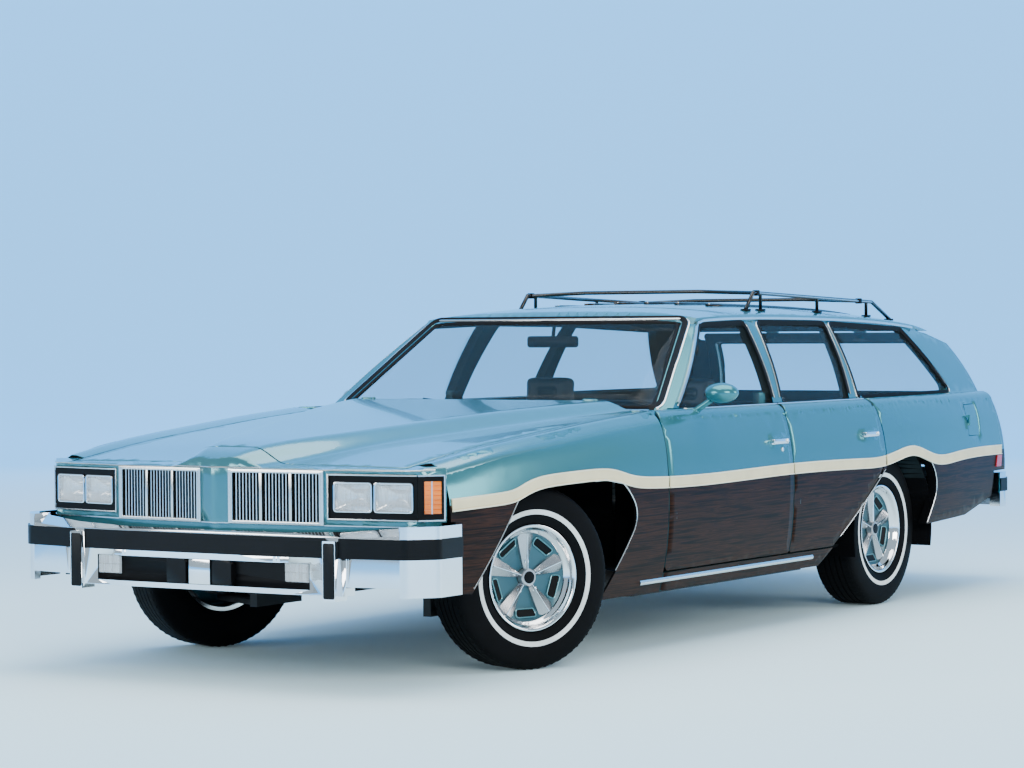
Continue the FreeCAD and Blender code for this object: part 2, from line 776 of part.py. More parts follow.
def fender():
    """The left front fender: outer side, crowned top and the lip beside the hood."""
    y0, y1 = FACE_BACK_SIDE, DOOR_FRONT_Y - SHUT_GAP
    ys = spread(y0 - 20, y1 + 20, 13)
    zs = spread(SILL_BOTTOM, BELT_HEIGHT + 20, 15)
    side = sheet(lambda y, z: (side_x(y, z), y, z), lambda y, z: (600, y, z), ys, zs)
    inside = sheet(lambda y, z: (side_x(y, z) - FENDER_WALL, y, z), lambda y, z: (500, y, z),
                   spread(y0 - 40, y1 + 40, 13), spread(SILL_BOTTOM - 30, BELT_HEIGHT + 40, 17))
    def under(drop, inner_edge):
        return sheet(lambda x, y: (x, y, fender_z(x, y) - drop), lambda x, y: (x, y, 150),
                     spread(inner_edge, 1010, 9), ys)
    shell = side.common(under(0, SEAM_X + 1))
    shell = shell.cut(inside.common(under(FENDER_WALL, SEAM_X + 10)))
    shell = shell.cut(inside.common(under(LIP_DROP, SEAM_X - 40)))
    shell = shell.common(box(600, 1200, y0, y1, 0, 1200))
    shell = shell.cut(arch_cut(True))
    shell = shell.cut(box(300, 1200, y0 - 50, -2425, 0, FACE_BOTTOM))
    shell = shell.cut(bumper_pocket(False))
    bottom = [(-2500, 100), (-2500, 350), (-2250, 330), (-2250, 100)]
    return shell.cut(prism_x(bottom, 600, 1200))


def header_panel():
    """The front panel with its beak, pierced for the grilles, the headlamps and the corner lamps."""
    def outline(inset):
        right = [(x - inset if x > 900 else x, y + inset) for x, y in FACE_PLAN[1:]]
        left = [(-x, y) for x, y in reversed(right)]
        back = -2300.0
        end = right[-1][0]
        return left + [(0, NOSE_Y + inset)] + right + [(end, back), (-end, back)]
    cover = sheet(lambda x, y: (x, y, nose_z(x, y)), lambda x, y: (x, y, 300), spread(-980, 980, 41),
                  spread(NOSE_Y - 30, -2380, 9))
    hollow = sheet(lambda x, y: (x, y, nose_z(x, y) - 14), lambda x, y: (x, y, 200), spread(-980, 980, 41),
                   spread(NOSE_Y - 30, -2380, 9))
    block = prism_z(outline(0), FACE_BOTTOM, 1000).common(cover)
    inner = prism_z(outline(FACE_WALL), FACE_BOTTOM - 20, 990).common(hollow)
    block = block.cut(inner)
    block = block.common(box(-1000, 1000, -2800, FACE_BACK_SIDE - SHUT_GAP, 0, 1000))
    block = block.cut(box(-SEAM_X - 8, SEAM_X + 8, HOOD_FRONT_Y - SHUT_GAP, -2300, 0, 1000))
    for run, low, high, a, b in ((1, 592, 787, 14, 412), (2, 612, 780, 12, 366), (3, 634, 761, 20, 92)):
        cut = on_face(box(a, b, -60, 60, low, high), run)
        block = block.cut(both(cut))
    block = block.cut(bumper_pocket(False))
    brackets = both(box(475, 487, -2590, BRACE_Y, 640, 660))
    return joined([block] + brackets)


def nose_z(x, y):
    """Height of the front panel's top."""
    return min(hood_z(x, y), 1000.0)


def hood():
    """The hood, from behind the nose to the cowl."""
    panel = hood_sheet(HOOD_WALL, SEAM_X - SHUT_GAP + 1, HOOD_FRONT_Y, HOOD_REAR_Y)
    for x in HOOD_HINGES:
        ears, lug, hole, notch = cross_hinge(x, HOOD_REAR_Y, HOOD_HINGE_Z, 0, 6.0)
        strap = box(x - 19.7, x + 19.7, HOOD_REAR_Y - 40, HOOD_REAR_Y, HOOD_HINGE_Z - 14, HOOD_HINGE_Z - 4)
        panel = joined([panel.cut(notch), lug, strap]).cut(hole)
    return panel


def cowl():
    """The panel under the windshield's base, with the air plenum below it."""
    top = COWL_TOP
    outline = [(-838, -931), (-SEAM_X - 8, -931), (-SEAM_X - 8, HOOD_REAR_Y + 10),
               (SEAM_X + 8, HOOD_REAR_Y + 10),
               (SEAM_X + 8, -931), (838, -931), (838, -560), (-838, -560)]
    panel = prism_z(outline, 925, top)
    panel = panel.common(screen_sheet(-600, 62, 900, 900, 1000))
    plenum = box(-755, 755, -1012, -800, 880, 925)
    pieces = [panel, plenum]
    for x in HOOD_HINGES:
        ears, lug, hole, notch = cross_hinge(x, HOOD_REAR_Y, HOOD_HINGE_Z, 0, 6.0)
        pieces.append(ears)
        for x0 in (x - 32, x + 20):
            profile = [(HOOD_REAR_Y, HOOD_HINGE_Z - 8), (HOOD_REAR_Y + 6, HOOD_HINGE_Z + 6),
                       (HOOD_REAR_Y + 40, COWL_TOP - 4),
                       (HOOD_REAR_Y + 12, COWL_TOP - 4)]
            pieces.append(prism_x(profile, x0, x0 + 12))
    return joined(pieces)


def grille():
    """Two grilles with three bays of upright bars, and the headlamp bezels."""
    pieces = []
    low, high, a, b = 592.3, 786.7, 14.3, 411.7
    frame = box(a, b, -9, 30, low, high)
    bay = (b - a - 4 * 9) / 3
    for i in range(3):
        x = a + 9 + i * (bay + 9)
        frame = frame.cut(box(x, x + bay, -20, 22, low + 11, high - 11))
    bars = [frame]
    for i in range(3):
        x = a + 9 + i * (bay + 9)
        for k in range(5):
            middle = x + bay * (k + 1) / 6
            bars.append(box(middle - 2.2, middle + 2.2, -3, 24, low + 9, high - 9))
    pieces.append(on_face(joined(bars), 1))
    low, high, a, b = 612.3, 779.7, 12.3, 365.7
    bezel = box(a, b, -8, 40, low, high)
    for x0, x1 in LAMP_SPANS:
        points = [(x0, LAMP_LOW, 10), (x1, LAMP_LOW, 10), (x1, LAMP_HIGH, 10), (x0, LAMP_HIGH, 10)]
        bezel = bezel.cut(prism_y(points, -20, 60))
    pieces.append(on_face(bezel, 2))
    return grouped(both(pieces[0]) + both(pieces[1]))


LAMP_LOW = 638.0
LAMP_HIGH = 753.0
LAMP_SPANS = ((20.0, 178.0), (194.0, 354.0))


def headlamps():
    """Four rectangular sealed headlamps."""
    lamps = []
    for x0, x1 in LAMP_SPANS:
        gap = SEAL
        points = [(x0 + gap, LAMP_LOW + gap, 10), (x1 - gap, LAMP_LOW + gap, 10),
                  (x1 - gap, LAMP_HIGH - gap, 10),
                  (x0 + gap, LAMP_HIGH - gap, 10)]
        lamps.extend(both(on_face(prism_y(points, 4, 60), 2)))
    return grouped(lamps)


def turn_lamps():
    """Amber corner lamps, and the parking lamps in the bumper."""
    corner = on_face(box(20.3, 91.7, -4, 30, 634.3, 760.7), 3)
    parking = box(390, 492, -HALF_LENGTH + 14, -HALF_LENGTH + 40, 391, 461)
    return grouped(both(corner) + both(parking))


BUMPER_SKIN = 6.0


def bumper_outline(rear, inset):
    """Plan outline of a bumper's outer face, from its left end to its right end."""
    if rear:
        points = [(915, 2446), (915, 2600, 50), (868, 2700, 50), (700, 2723, 200), (420, HALF_LENGTH, 600)]
    else:
        points = [(975, -2430), (975, -2580, 45), (893, -2672, 70), (650, -2712, 300),
                  (380, -HALF_LENGTH, 900)]
    sign = 1.0 if rear else -1.0
    moved = []
    for p in points:
        radius = p[2] if len(p) > 2 else 0
        along = p[1] if p is points[0] else p[1] - sign * inset
        across = p[0] - inset if p[0] > 800 else p[0]
        moved.append((across, along, max(radius - inset, 0)) if radius else (across, along))
    other = [(-p[0],) + tuple(p[1:]) for p in reversed(moved)]
    return moved + other


def bumper_ring(rear, outer, inner, z0, z1):
    """The band between two insets of a bumper's outline."""
    band = prism_z(bumper_outline(rear, outer), z0, z1)
    return band.cut(prism_z(bumper_outline(rear, inner), z0 - 1, z1 + 1))


def bumper_front():
    """The front bumper: a deep pressed face with a slot, two guards and hooked ends."""
    bar = bumper_ring(False, BUMPER_SKIN, 62, 346, 600).common(box(-862, 862, -2800, -2400, 300, 700))
    bar = bar.fuse(bumper_ring(False, BUMPER_SKIN, 32, 346, 600))
    slope = prism_x([(-2800, 556), (-2700, 556), (-2560, 612), (-2560, 700), (-2800, 700)], -860, 860)
    bar = bar.cut(slope)
    bar = bar.cut(box(-500, 500, -2800, -2710, 365, 460))
    for low in both(box(650, 862, -2800, -2400, 300, 380)):
        bar = bar.cut(low)
    for lamp in both(box(389.7, 492.3, -2760, -2690, 390.7, 461.3)):
        bar = bar.cut(lamp)
    guards = []
    for guard in both(box(567, 623, -HALF_LENGTH + 2, -2660, 328, 545)):
        guards.append(guard)
    bracket = both(box(385, 445, -2690, -2560, 400, 470))
    return joined([bar] + guards + bracket)


def bumper_rear():
    """The rear bumper: a pressed face with wrapped ends and a plate recess."""
    bar = bumper_ring(True, BUMPER_SKIN, 62, 385, 556)
    bar = bar.cut(box(-1000, 1000, 2000, 2520, 0, 1000))
    bar = bar.cut(box(-170, 170, 2716, 2800, 395, 545))
    bracket = both(box(490, 550, 2560, 2690, 400, 470))
    bar = joined([bar] + bracket)
    for x in (-89, 89):
        for z in (409.5, 530.5):
            bar = bar.cut(rod((x, 2600, z), (x, 2800, z), 3.2))
    return bar


def bumper_rubber():
    """Rubber strips along both bumpers, the guards' faces and two rubber blocks."""
    front = bumper_ring(False, 0, BUMPER_SKIN, 482, 555)
    rear = bumper_ring(True, 0, BUMPER_SKIN, 462, 528).cut(box(-1000, 1000, 2000, 2520, 0, 1000))
    front = front.cut(both(box(566, 624, -2800, -2600, 300,
                               700))[0]).cut(box(-624, -566, -2800, -2600, 300, 700))
    blocks = []
    for x in (-107, 107):
        points = [(x - 45, 365.3, 14), (x + 45, 365.3, 14), (x + 45, 459.7, 14), (x - 45, 459.7, 14)]
        blocks.append(prism_y(points, -HALF_LENGTH + 1, -HALF_LENGTH + 25.5))
    return grouped([front, rear] + blocks)


def windshield():
    """The windshield."""
    pane = screen_sheet(GLASS_WALL, 8, 830, 940, 1370)
    lean = (SCREEN_WIDTH_LOW - SCREEN_WIDTH_HIGH) / (1330.0 - 970.0)
    low, high = COWL_TOP + SEAL, 1345.0
    gap = SEAL
    half_low = SCREEN_WIDTH_LOW + (970 - low) * lean - gap
    half_high = SCREEN_WIDTH_HIGH - (high - 1330) * lean - gap
    outline = [(-half_low, low), (half_low, low), (half_high, high, 30), (-half_high, high, 30)]
    pane = pane.common(prism_y(outline, -1000, 100))
    return pane.cut(above_roof())


def quarter_glass():
    """Both rear side windows."""
    pane = glass_sheet().common(window_cut(WINDOW_QUARTER, 0).copy())
    return grouped(both(pane))


def door(front):
    """A left door with its inner skin, and the slot that its glass runs in."""
    y0 = DOOR_FRONT_Y if front else DOOR_MID_Y
    y1 = DOOR_MID_Y if front else DOOR_REAR_Y + 60
    panel = side_sheet(y0 - 40, y1 + 40, door_inner_x)
    outline = rounded(door_outline(front), lambda u, v: Vector(400, u, v))
    panel = panel.common(outline.extrude(Vector(800, 0, 0)))
    bevel = [(HALF_WIDTH - 40, y0 - 1), (700, y0 - 1), (700, y0 + 160)]
    panel = panel.cut(prism_z(bevel, 100, 1200))
    if front:
        rear_bevel = [(HALF_WIDTH - 40, y1 - 6), (700, y1 - 6), (700, y1 - 66)]
        panel = panel.cut(prism_z(rear_bevel, 100, 1200))
    else:
        rebate = [(DOOR_REAR_Y + 6, 690), (DOOR_REAR_Y - 52, 1030), (1200, 1030), (1200, 690)]
        panel = panel.cut(arch_cut(False)).cut(prism_x(rebate, 700, HALF_WIDTH - 45))
    panel = panel.cut(door_glass(front, 1.0))
    for space in hinge_space(front):
        panel = panel.cut(space)
    handle_y = 24 if front else 904
    skin_x = side_x(handle_y, 807)
    handle = box(skin_x - 8, skin_x + 12, handle_y - 75, handle_y + 75, 797, 817)
    return joined([panel, handle])


def hinge_axis(front):
    """Plan position of a left door's hinge axis."""
    return HINGE_X, (DOOR_FRONT_Y if front else DOOR_MID_Y) + HINGE_BACK


def body_hinges(front):
    """The arms and pins on a left door post."""
    x, y = hinge_axis(front)
    path = [(835.0, DOOR_FRONT_Y + 3.0), (x - 68.0, y), (x, y)] if front else [(850.0, y), (x, y)]
    pieces = []
    for z in HINGE_HEIGHTS:
        parts = []
        for start, end in zip(path, path[1:]):
            parts.append(beam(start + (z,), end + (z,), 12, HINGE_ARM))
            parts.append(rod(end + (z - HINGE_ARM / 2,), end + (z + HINGE_ARM / 2,), HINGE_EYE))
        parts.append(rod((x, y, z - HINGE_PIN_LENGTH / 2), (x, y, z + HINGE_PIN_LENGTH / 2), HINGE_PIN))
        pieces.append(joined(parts))
    return pieces


def hinge_space(front):
    """What a left door gives up to its hinges: a pocket that the arms swing in, and the pins' holes."""
    x, y = hinge_axis(front)
    half = HINGE_ARM / 2 + RUN_GAP
    pieces = []
    for z in HINGE_HEIGHTS:
        reach = [(x, y + 14), (x - 200, y + 14), (x - 200, y - 120), (x + 1, y - 120), (x + 8, y - 5)]
        pocket = prism_z(reach, z - half, z + half).fuse(rod((x, y, z - half), (x, y, z + half),
                                                             HINGE_EYE + 1))
        hole = rod((x, y, z - HINGE_PIN_LENGTH / 2 - 1), (x, y, z + HINGE_PIN_LENGTH / 2 + 1),
                   HINGE_PIN + PIN_GAP)
        pieces.append(pocket.fuse(hole))
    return pieces


def cross_hinge(x, y, z, above, radius):
    """A hinge about an axis along X: the pin with its two ears, the lug between them, its hole and its notch.

    above is how far the ears reach up from the axis, and radius is the knuckles' radius."""
    ears = [rod((x - 32, y, z), (x + 32, y, z), radius / 2)]
    for x0 in (x - 32, x + 20):
        ears.append(rod((x0, y, z), (x0 + 12, y, z), radius))
        if above:
            ears.append(box(x0, x0 + 12, y - 30, y + 4, z + 5, z + above))
    lug = rod((x - 19.7, y, z), (x + 19.7, y, z), radius)
    hole = rod((x - 40, y, z), (x + 40, y, z), radius / 2 + PIN_GAP)
    notch = rod((x - 37, y, z), (x + 37, y, z), radius + 5)
    return joined(ears), lug, hole, notch


def door_mirror(driver):
    """A front door's mirror on its stalk, on the left: the large one, or the small one that is mirrored."""
    centre = (1027, -588, 1030) if driver else (915, -500, 1002)
    half, depth, high = (75, 58, 42) if driver else (33, 36, 28)
    middle = Vector(*centre)
    rings = []
    for share in (-0.992, -0.93, -0.8, -0.55, -0.25, 0.1, 0.4):
        size = math.sqrt(1 - share * share)
        at = middle + Vector(0, depth * share, 0)
        rings.append(Part.Wire(Part.Ellipse(at + Vector(half * size, 0, 0), at + Vector(0, 0, high * size),
                                            at).toShape()))
    shell = Part.makeLoft(rings, True)
    foot = Vector(893, centre[1] - 6, 945)
    top = middle - Vector(0.35 * half, 4, 0.4 * high)
    thick = 15 if driver else 9
    stalk = Part.makeCone(thick, 0.7 * thick, (top - foot).Length, foot, top - foot)
    return [shell, stalk]


def door_glass(front, grow):
    """The pane of a left door, down into its slot.

    The front pane's foot rises to the rear, so that it swings clear of the rear door's top."""
    points = WINDOW_FRONT if front else WINDOW_REAR
    drop = 28 if grow == 0 else 32
    face = rounded(points, lambda u, v: Vector(300, u, v))
    face = face.makeOffset2D(-GLASS_GAP + grow * 1.0)
    upper = face.extrude(Vector(800, 0, 0))
    ys = [p[0] for p in points if p[1] < 1000]
    lower = box(300, 1100, min(ys) + 3 * GLASS_GAP - grow, max(ys) - GLASS_GAP + grow, BELT_HEIGHT - drop,
                BELT_HEIGHT + 9)
    wall = GLASS_WALL + 2 * grow
    pane = sheet(
        lambda y, z: (upper_x(y, z) - GLASS_INSET + grow, y, z),
        lambda y, z: (upper_x(y, z) - GLASS_INSET + grow - wall, y, z),
        spread(-1000.0, HALF_LENGTH - 60.0, 11), spread(BELT_HEIGHT - 45.0, 1350.0, 8))
    pane = pane.common(upper.fuse(lower))
    if front:
        low_edge = [(-75, BELT_HEIGHT - 28 - grow), (DOOR_MID_Y, BELT_HEIGHT + 5.5 - grow),
                    (300, BELT_HEIGHT + 28 - grow), (300, 900), (-75, 900)]
        pane = pane.cut(prism_x(low_edge, 300, 1100))
    return pane


def gate_half(z):
    """Half width of the liftgate, which narrows above the belt."""
    return GATE_HALF - max(0.0, z - GATE_BELT) * 0.30


def gate_outline(grow):
    """Outline of the liftgate from behind."""
    high = GATE_TOP + grow
    half_high = gate_half(high) + grow
    return [(-GATE_HALF - grow, GATE_BOTTOM - grow), (GATE_HALF + grow, GATE_BOTTOM - grow),
            (GATE_HALF + grow, GATE_BELT),
            (half_high, high, 40), (-half_high, high, 40), (-GATE_HALF - grow, GATE_BELT)]


def liftgate():
    """The liftgate with the frame of its window."""
    panel = tail_sheet(GATE_WALL, 0, GATE_BOTTOM - 20, GATE_TOP + 20, 800)
    panel = panel.common(prism_y(gate_outline(0), 1800, 3000))
    panel = panel.cut(gate_window(0))
    for x in GATE_HINGES:
        ears, lug, hole, notch = cross_hinge(x, GATE_HINGE_Y, GATE_HINGE_Z, 24, 8.0)
        strap = box(x - 19.7, x + 19.7, GATE_HINGE_Y - 24, GATE_HINGE_Y - 4, GATE_HINGE_Z - 30, GATE_HINGE_Z)
        panel = joined([panel.cut(notch), lug, strap]).cut(hole)
    return panel


def gate_window(gap):
    """The opening of the rear window."""
    low, high = GATE_BELT + 46 + gap, GATE_TOP - 46 - gap
    outline = [(-gate_half(low) + 50 + gap, low, 30), (gate_half(low) - 50 - gap, low, 30),
               (gate_half(high) - 50 - gap, high, 30), (-gate_half(high) + 50 + gap, high, 30)]
    return prism_y(outline, 1800, 3000)


def liftgate_glass():
    """The rear window."""
    pane = tail_sheet(GLASS_WALL, 6, GATE_BELT, GATE_TOP, 760)
    return pane.common(gate_window(SEAL))


def fuel_recess():
    """The recess behind the fuel door."""
    half = FUEL_SIZE / 2 + 3
    return box(side_x(FUEL_Y, FUEL_Z) - 38, 1200, FUEL_Y - half, FUEL_Y + half, FUEL_Z - half, FUEL_Z + half)


def fuel_door():
    """The fuel door."""
    half = FUEL_SIZE / 2
    door_skin = side_sheet(FUEL_Y - 300, FUEL_Y + 300, lambda y, z: side_x(y, z) - FUEL_WALL)
    points = [(FUEL_Y - half, FUEL_Z - half, 12), (FUEL_Y + half, FUEL_Z - half, 12),
              (FUEL_Y + half, FUEL_Z + half, 12),
              (FUEL_Y - half, FUEL_Z + half, 12)]
    panel = door_skin.common(prism_x(points, 700, 1200))
    x, y = FUEL_HINGE
    panel = panel.cut(rod((x, y, FUEL_Z - 28), (x, y, FUEL_Z + 28), 6.5))
    barrel = rod((x, y, FUEL_Z - 14), (x, y, FUEL_Z + 14), 5)
    strap = box(x - 9, x - 1, y, y + 14, FUEL_Z - 14, FUEL_Z + 14)
    return joined([panel, strap, barrel]).cut(rod((x, y, FUEL_Z - 30), (x, y, FUEL_Z + 30), 2 + PIN_GAP))


def tail_lamps():
    """Upright tail lamps beside the tailgate, and the side markers."""
    lamp = tail_sheet(20, -2, 560, 840, 1000)
    outline = [(GATE_HALF + 24, 600, 8), (GATE_HALF + 94, 600, 8), (GATE_HALF + 88, 800, 8),
               (GATE_HALF + 24, 800, 8)]
    lamp = lamp.common(prism_y(outline, 2300, 3000))
    return grouped(both(lamp))


def tail_lamp_space():
    """The space of the left tail lamp."""
    space = tail_sheet(48 + SEAL, -30, 560, 840, 1000)
    outline = [(GATE_HALF + 23.7, 599.7, 8), (GATE_HALF + 94.3, 599.7, 8), (GATE_HALF + 88.3, 800.3, 8),
               (GATE_HALF + 23.7, 800.3, 8)]
    return space.common(prism_y(outline, 2300, 3000))


def roof_rack():
    """The roof rack: two side rails on feet, two cross bars and low slats."""
    pieces = []
    x = 600.0
    z0 = roof_z(x, 475)
    z1 = roof_z(x, 1880)
    top = [(x, 420, z0 + 6), (x, 490, z0 + 80), (x, 1700, z1 + 88), (x, 1900, z1 + 4)]
    for sign in (1, -1):
        points = [(sign * p[0], p[1], p[2]) for p in top]
        pieces.append(pipe(points, 9))
        for y in (560, 1120, 1640):
            base = roof_z(x, y)
            rise = (z0 + 80) + (z1 - z0 + 8) * (y - 490) / 1210
            pieces.append(rod((sign * x, y, base - 6), (sign * x, y, rise), 8))
    for y in (520, 1560):
        height = z0 + 80 + (z1 - z0 + 8) * (y - 490) / 1210
        pieces.append(pipe([(-x, y, height), (-x * 0.5, y, height + 10), (x * 0.5, y, height + 10),
                            (x, y, height)], 9))
    for k in range(6):
        sx = -400 + 160 * k
        slat = sheet(
            lambda a, y: (sx + a, y, roof_z(sx + a, y) + 10),
            lambda a, y: (sx + a, y, roof_z(sx + a, y) - 4),
            [-12, 0, 12], spread(430, 1850, 7))
        pieces.append(slat)
    rack = joined([p for p in pieces[:-6]])
    skin_cut = sheet(
        lambda x, y: (x, y, roof_z(x, y)),
        lambda x, y: (x, y, 900),
        spread(-760.0, 760.0, 17), spread(-420.0, 2400.0, 13))
    return grouped([p.cut(skin_cut) for p in [rack] + pieces[-6:]])


# Cabin

def dashboard():
    """The dashboard and the steering column."""
    half = 752.0
    profile = [(-790, 925), (-790, 700, 40), (-640, 660, 40), (-548, 700, 40), (-520, 850, 60),
               (-566, 948, 40),
               (-640, 962)]
    dash = prism_x(profile, -half, half)
    dash = dash.cut(cowl())
    dash = dash.cut(screen_sheet(-900, 14, 900, 900, 1100))
    start = Vector(370, -620, 640)
    column = Part.makeCylinder(26, 300, start, Vector(*COLUMN_AXIS))
    reach = 345.0
    pedal_end = rod((370, -620, 640), (370, -620 - reach * COLUMN_AXIS[1], 640 - reach * COLUMN_AXIS[2]), 14)
    return joined([dash, column, pedal_end])


COLUMN_AXIS = (0.0, 0.8829, 0.4695)
WHEEL_HUB = (370.0, -620.0 + 300.3 * 0.8829, 640.0 + 300.3 * 0.4695)


def steering_wheel():
    """The steering wheel, turned with the front wheels."""
    ring = Part.makeTorus(190, 11)
    hub = Part.makeCylinder(34, 40)
    pad = prism_z([(-70, -34, 12), (70, -34, 12), (54, 34, 12), (-54, 34, 12)], 14, 48)
    left = rod((-188, 4, 34), (-40, 0, 26), 12)
    right = rod((188, 4, 34), (40, 0, 26), 12)
    ring.translate(Vector(0, 0, 36))
    wheel = joined([ring, hub, pad, left, right])
    tilt = Rotation(Vector(0, 0, 1), Vector(*COLUMN_AXIS))
    wheel.rotate(Vector(0, 0, 0), tilt.Axis, math.degrees(tilt.Angle))
    wheel.translate(Vector(*WHEEL_HUB))
    return wheel


def bench(y, z, half, depth, height, rests):
    """A bench seat: cushion and leaning back in one solid, its front at y and its base at z."""
    floor_gap = SEAL
    cushion = prism_x([(y, z + floor_gap, 20), (y + depth, z + floor_gap, 20), (y + depth, z + 190, 60),
                       (y, z + 240, 60)], -half, half)
    back = prism_x([(y + depth - 40, z + 60, 20), (y + depth + 100, z + 60, 20),
                    (y + depth + 215, z + height, 50),
                    (y + depth + 110, z + height, 50)], -half, half)
    pieces = [cushion, back]
    for x in rests:
        rest = box(x - 125, x + 125, y + depth + 128, y + depth + 204, z + height - 20, z + height + 150)
        pieces.append(rest)
    return joined(pieces).cut(tunnel_space())


def tunnel_space():
    """The space that the seats leave over the tunnel."""
    low, wide = FLOOR_Z - 5, 4.0
    return prism_y([(-150 - wide, low), (-105 - wide, low + 125 + wide, 40),
                    (105 + wide, low + 125 + wide, 40),
                    (150 + wide, low)], -1000, 900)


def front_seat():
    """The front bench."""
    seat = bench(-330, FLOOR_Z + FLOOR_WALL + 60, 690, 480, 560, (-370, 370))
    feet = [box(x - 30, x + 30, -260, 120, FLOOR_Z + FLOOR_WALL,
                FLOOR_Z + FLOOR_WALL + 70) for x in (-560, 560)]
    feet += [box(x - 30, x + 30, -260, 120, FLOOR_Z + FLOOR_WALL,
                 FLOOR_Z + FLOOR_WALL + 70) for x in (-200, 200)]
    return joined([seat] + feet)


def rear_seat():
    """The rear bench."""
    z = FLOOR_Z + FLOOR_WALL
    cushion = prism_x([(470, z + SEAL, 20), (722, z + SEAL, 20), (848, CARGO_Z + 20, 10),
                       (930, CARGO_Z + 30, 20),
                       (930, 640, 50), (470, 590, 60)], -620, 620)
    back = prism_x([(880, 580, 20), (985, 580, 20), (1090, 960, 50), (1000, 960, 50)], -620, 620)
    return joined([cushion, back]).cut(tunnel_space())


def interior_mirror():
    """The rear view mirror under the roof's front edge."""
    glass = prism_y([(-125, 1215, 14), (125, 1215, 14), (125, 1265, 14), (-125, 1265, 14)], -262, -238)
    stem = rod((0, -248, 1255), (0, -222, 1380), 8)
    return joined([glass, stem]).cut(above_roof())


# Below the floor

def frame():
    """The perimeter frame: front rails, side rails beside the tunnel, rear kick-up and cross members."""
    pieces = []
    front_z, mid_z, rear_z = 380.0, 250.0, 470.0
    points = [(FRONT_RAIL_X, -2560, front_z + 10), (FRONT_RAIL_X, -1240, front_z), (760, -900, mid_z),
              (760, 560, mid_z),
              (560, 790, mid_z), (560, 970, rear_z), (520, 1700, rear_z), (520, 2560, 435)]
    for sign in (1, -1):
        run = [(sign * p[0], p[1], p[2]) for p in points]
        for start, end in zip(run, run[1:]):
            pieces.append(beam(start, end, RAIL_WIDTH, RAIL_HEIGHT))
        for corner in run[1:-1]:
            pieces.append(rod((corner[0], corner[1], corner[2] - RAIL_HEIGHT / 2),
                              (corner[0], corner[1], corner[2] + RAIL_HEIGHT / 2), RAIL_WIDTH / 2))
    for x, y in ((760, -640), (760, 480)):
        for pad in both(rod((x, y, mid_z), (x, y, FLOOR_Z), 26)):
            pieces.append(pad)
    for y, half, z, deep in ((-2400, 405, front_z, 60), (AXLE_FRONT, 405, 330, 150), (-900, 760, mid_z, 60),
                             (980, 540, rear_z, 60), (1560, 520, rear_z, 60), (2450, 520, 440, 60)):
        pieces.append(box(-half, half, y - deep / 2, y + deep / 2, z - 34, z + 34))
    return joined(pieces)


def front_suspension():
    """Upper and lower control arms with coil springs."""
    pieces = []
    y = AXLE_FRONT
    lower = prism_z([(440.5, y - 140), (KINGPIN_X + 22, y - 26, 20), (KINGPIN_X + 22, y + 26, 20),
                     (440.5, y + 140)], 196, 218)
    lower = lower.cut(rod((KINGPIN_X, y, 100), (KINGPIN_X, y, 300), 12 + RUN_GAP))
    upper = prism_z([(440.5, y - 110), (KINGPIN_X + 18, y - 22, 16), (KINGPIN_X + 18, y + 22, 16),
                     (440.5, y + 110)], 486, 504)
    upper = upper.cut(rod((KINGPIN_X, y, 400), (KINGPIN_X, y, 600), 12 + RUN_GAP))
    post_low = box(405, 441, y - 150, y + 150, 190, 340).cut(box(APRON_X - 2, 500, y - 200, y + 200, 322,
                                                                 400))
    post_high = box(405, APRON_X - 0.5, y - 120, y + 120, 420, 510)
    coil = rod((520, y, 217), (520, y, 487), 46)
    arm = joined([lower, upper, post_low, post_high, coil])
    return grouped([p.cut(frame()) for p in both(arm)])


def knuckle():
    """The left steering knuckle with its spindle, brake and hub, wheel straight ahead."""
    y = AXLE_FRONT
    z = TYRE_RADIUS
    centre = TRACK_FRONT / 2
    pin = rod((KINGPIN_X, y, 196), (KINGPIN_X, y, 504), 12)
    upright = rod((KINGPIN_X, y, 218 + RUN_GAP), (KINGPIN_X, y, 486 - RUN_GAP), 26)
    spindle = rod((KINGPIN_X, y, z), (centre - 30, y, z), 30)
    brake = rod((centre - 62, y, z), (centre - 32, y, z), 138)
    hub = rod((centre - 32, y, z), (centre + WHEEL_FACE - RUN_GAP, y, z), HUB_RADIUS)
    pilot = rod((centre, y, z), (centre + WHEEL_FACE + 16, y, z), PILOT_RADIUS - RUN_GAP)
    return joined([pin, upright, spindle, brake, hub, pilot])


WHEEL_FACE = 8.0


def tyre():
    """A radial tyre about the X axis, as a ring around its rim."""
    half = TYRE_WIDTH / 2
    seat = RIM_RADIUS + RUN_GAP
    points = [(TYRE_RADIUS, -0.76 * half), (TYRE_RADIUS, 0.76 * half), (TYRE_RADIUS - 14, 0.93 * half),
              (TYRE_RADIUS - 76, half), (RIM_RADIUS + 20, 0.87 * half), (seat, 0.78 * half),
              (seat, -0.78 * half), (RIM_RADIUS + 20, -0.87 * half), (TYRE_RADIUS - 76, -half),
              (TYRE_RADIUS - 14, -0.93 * half)]
    return spun(points)


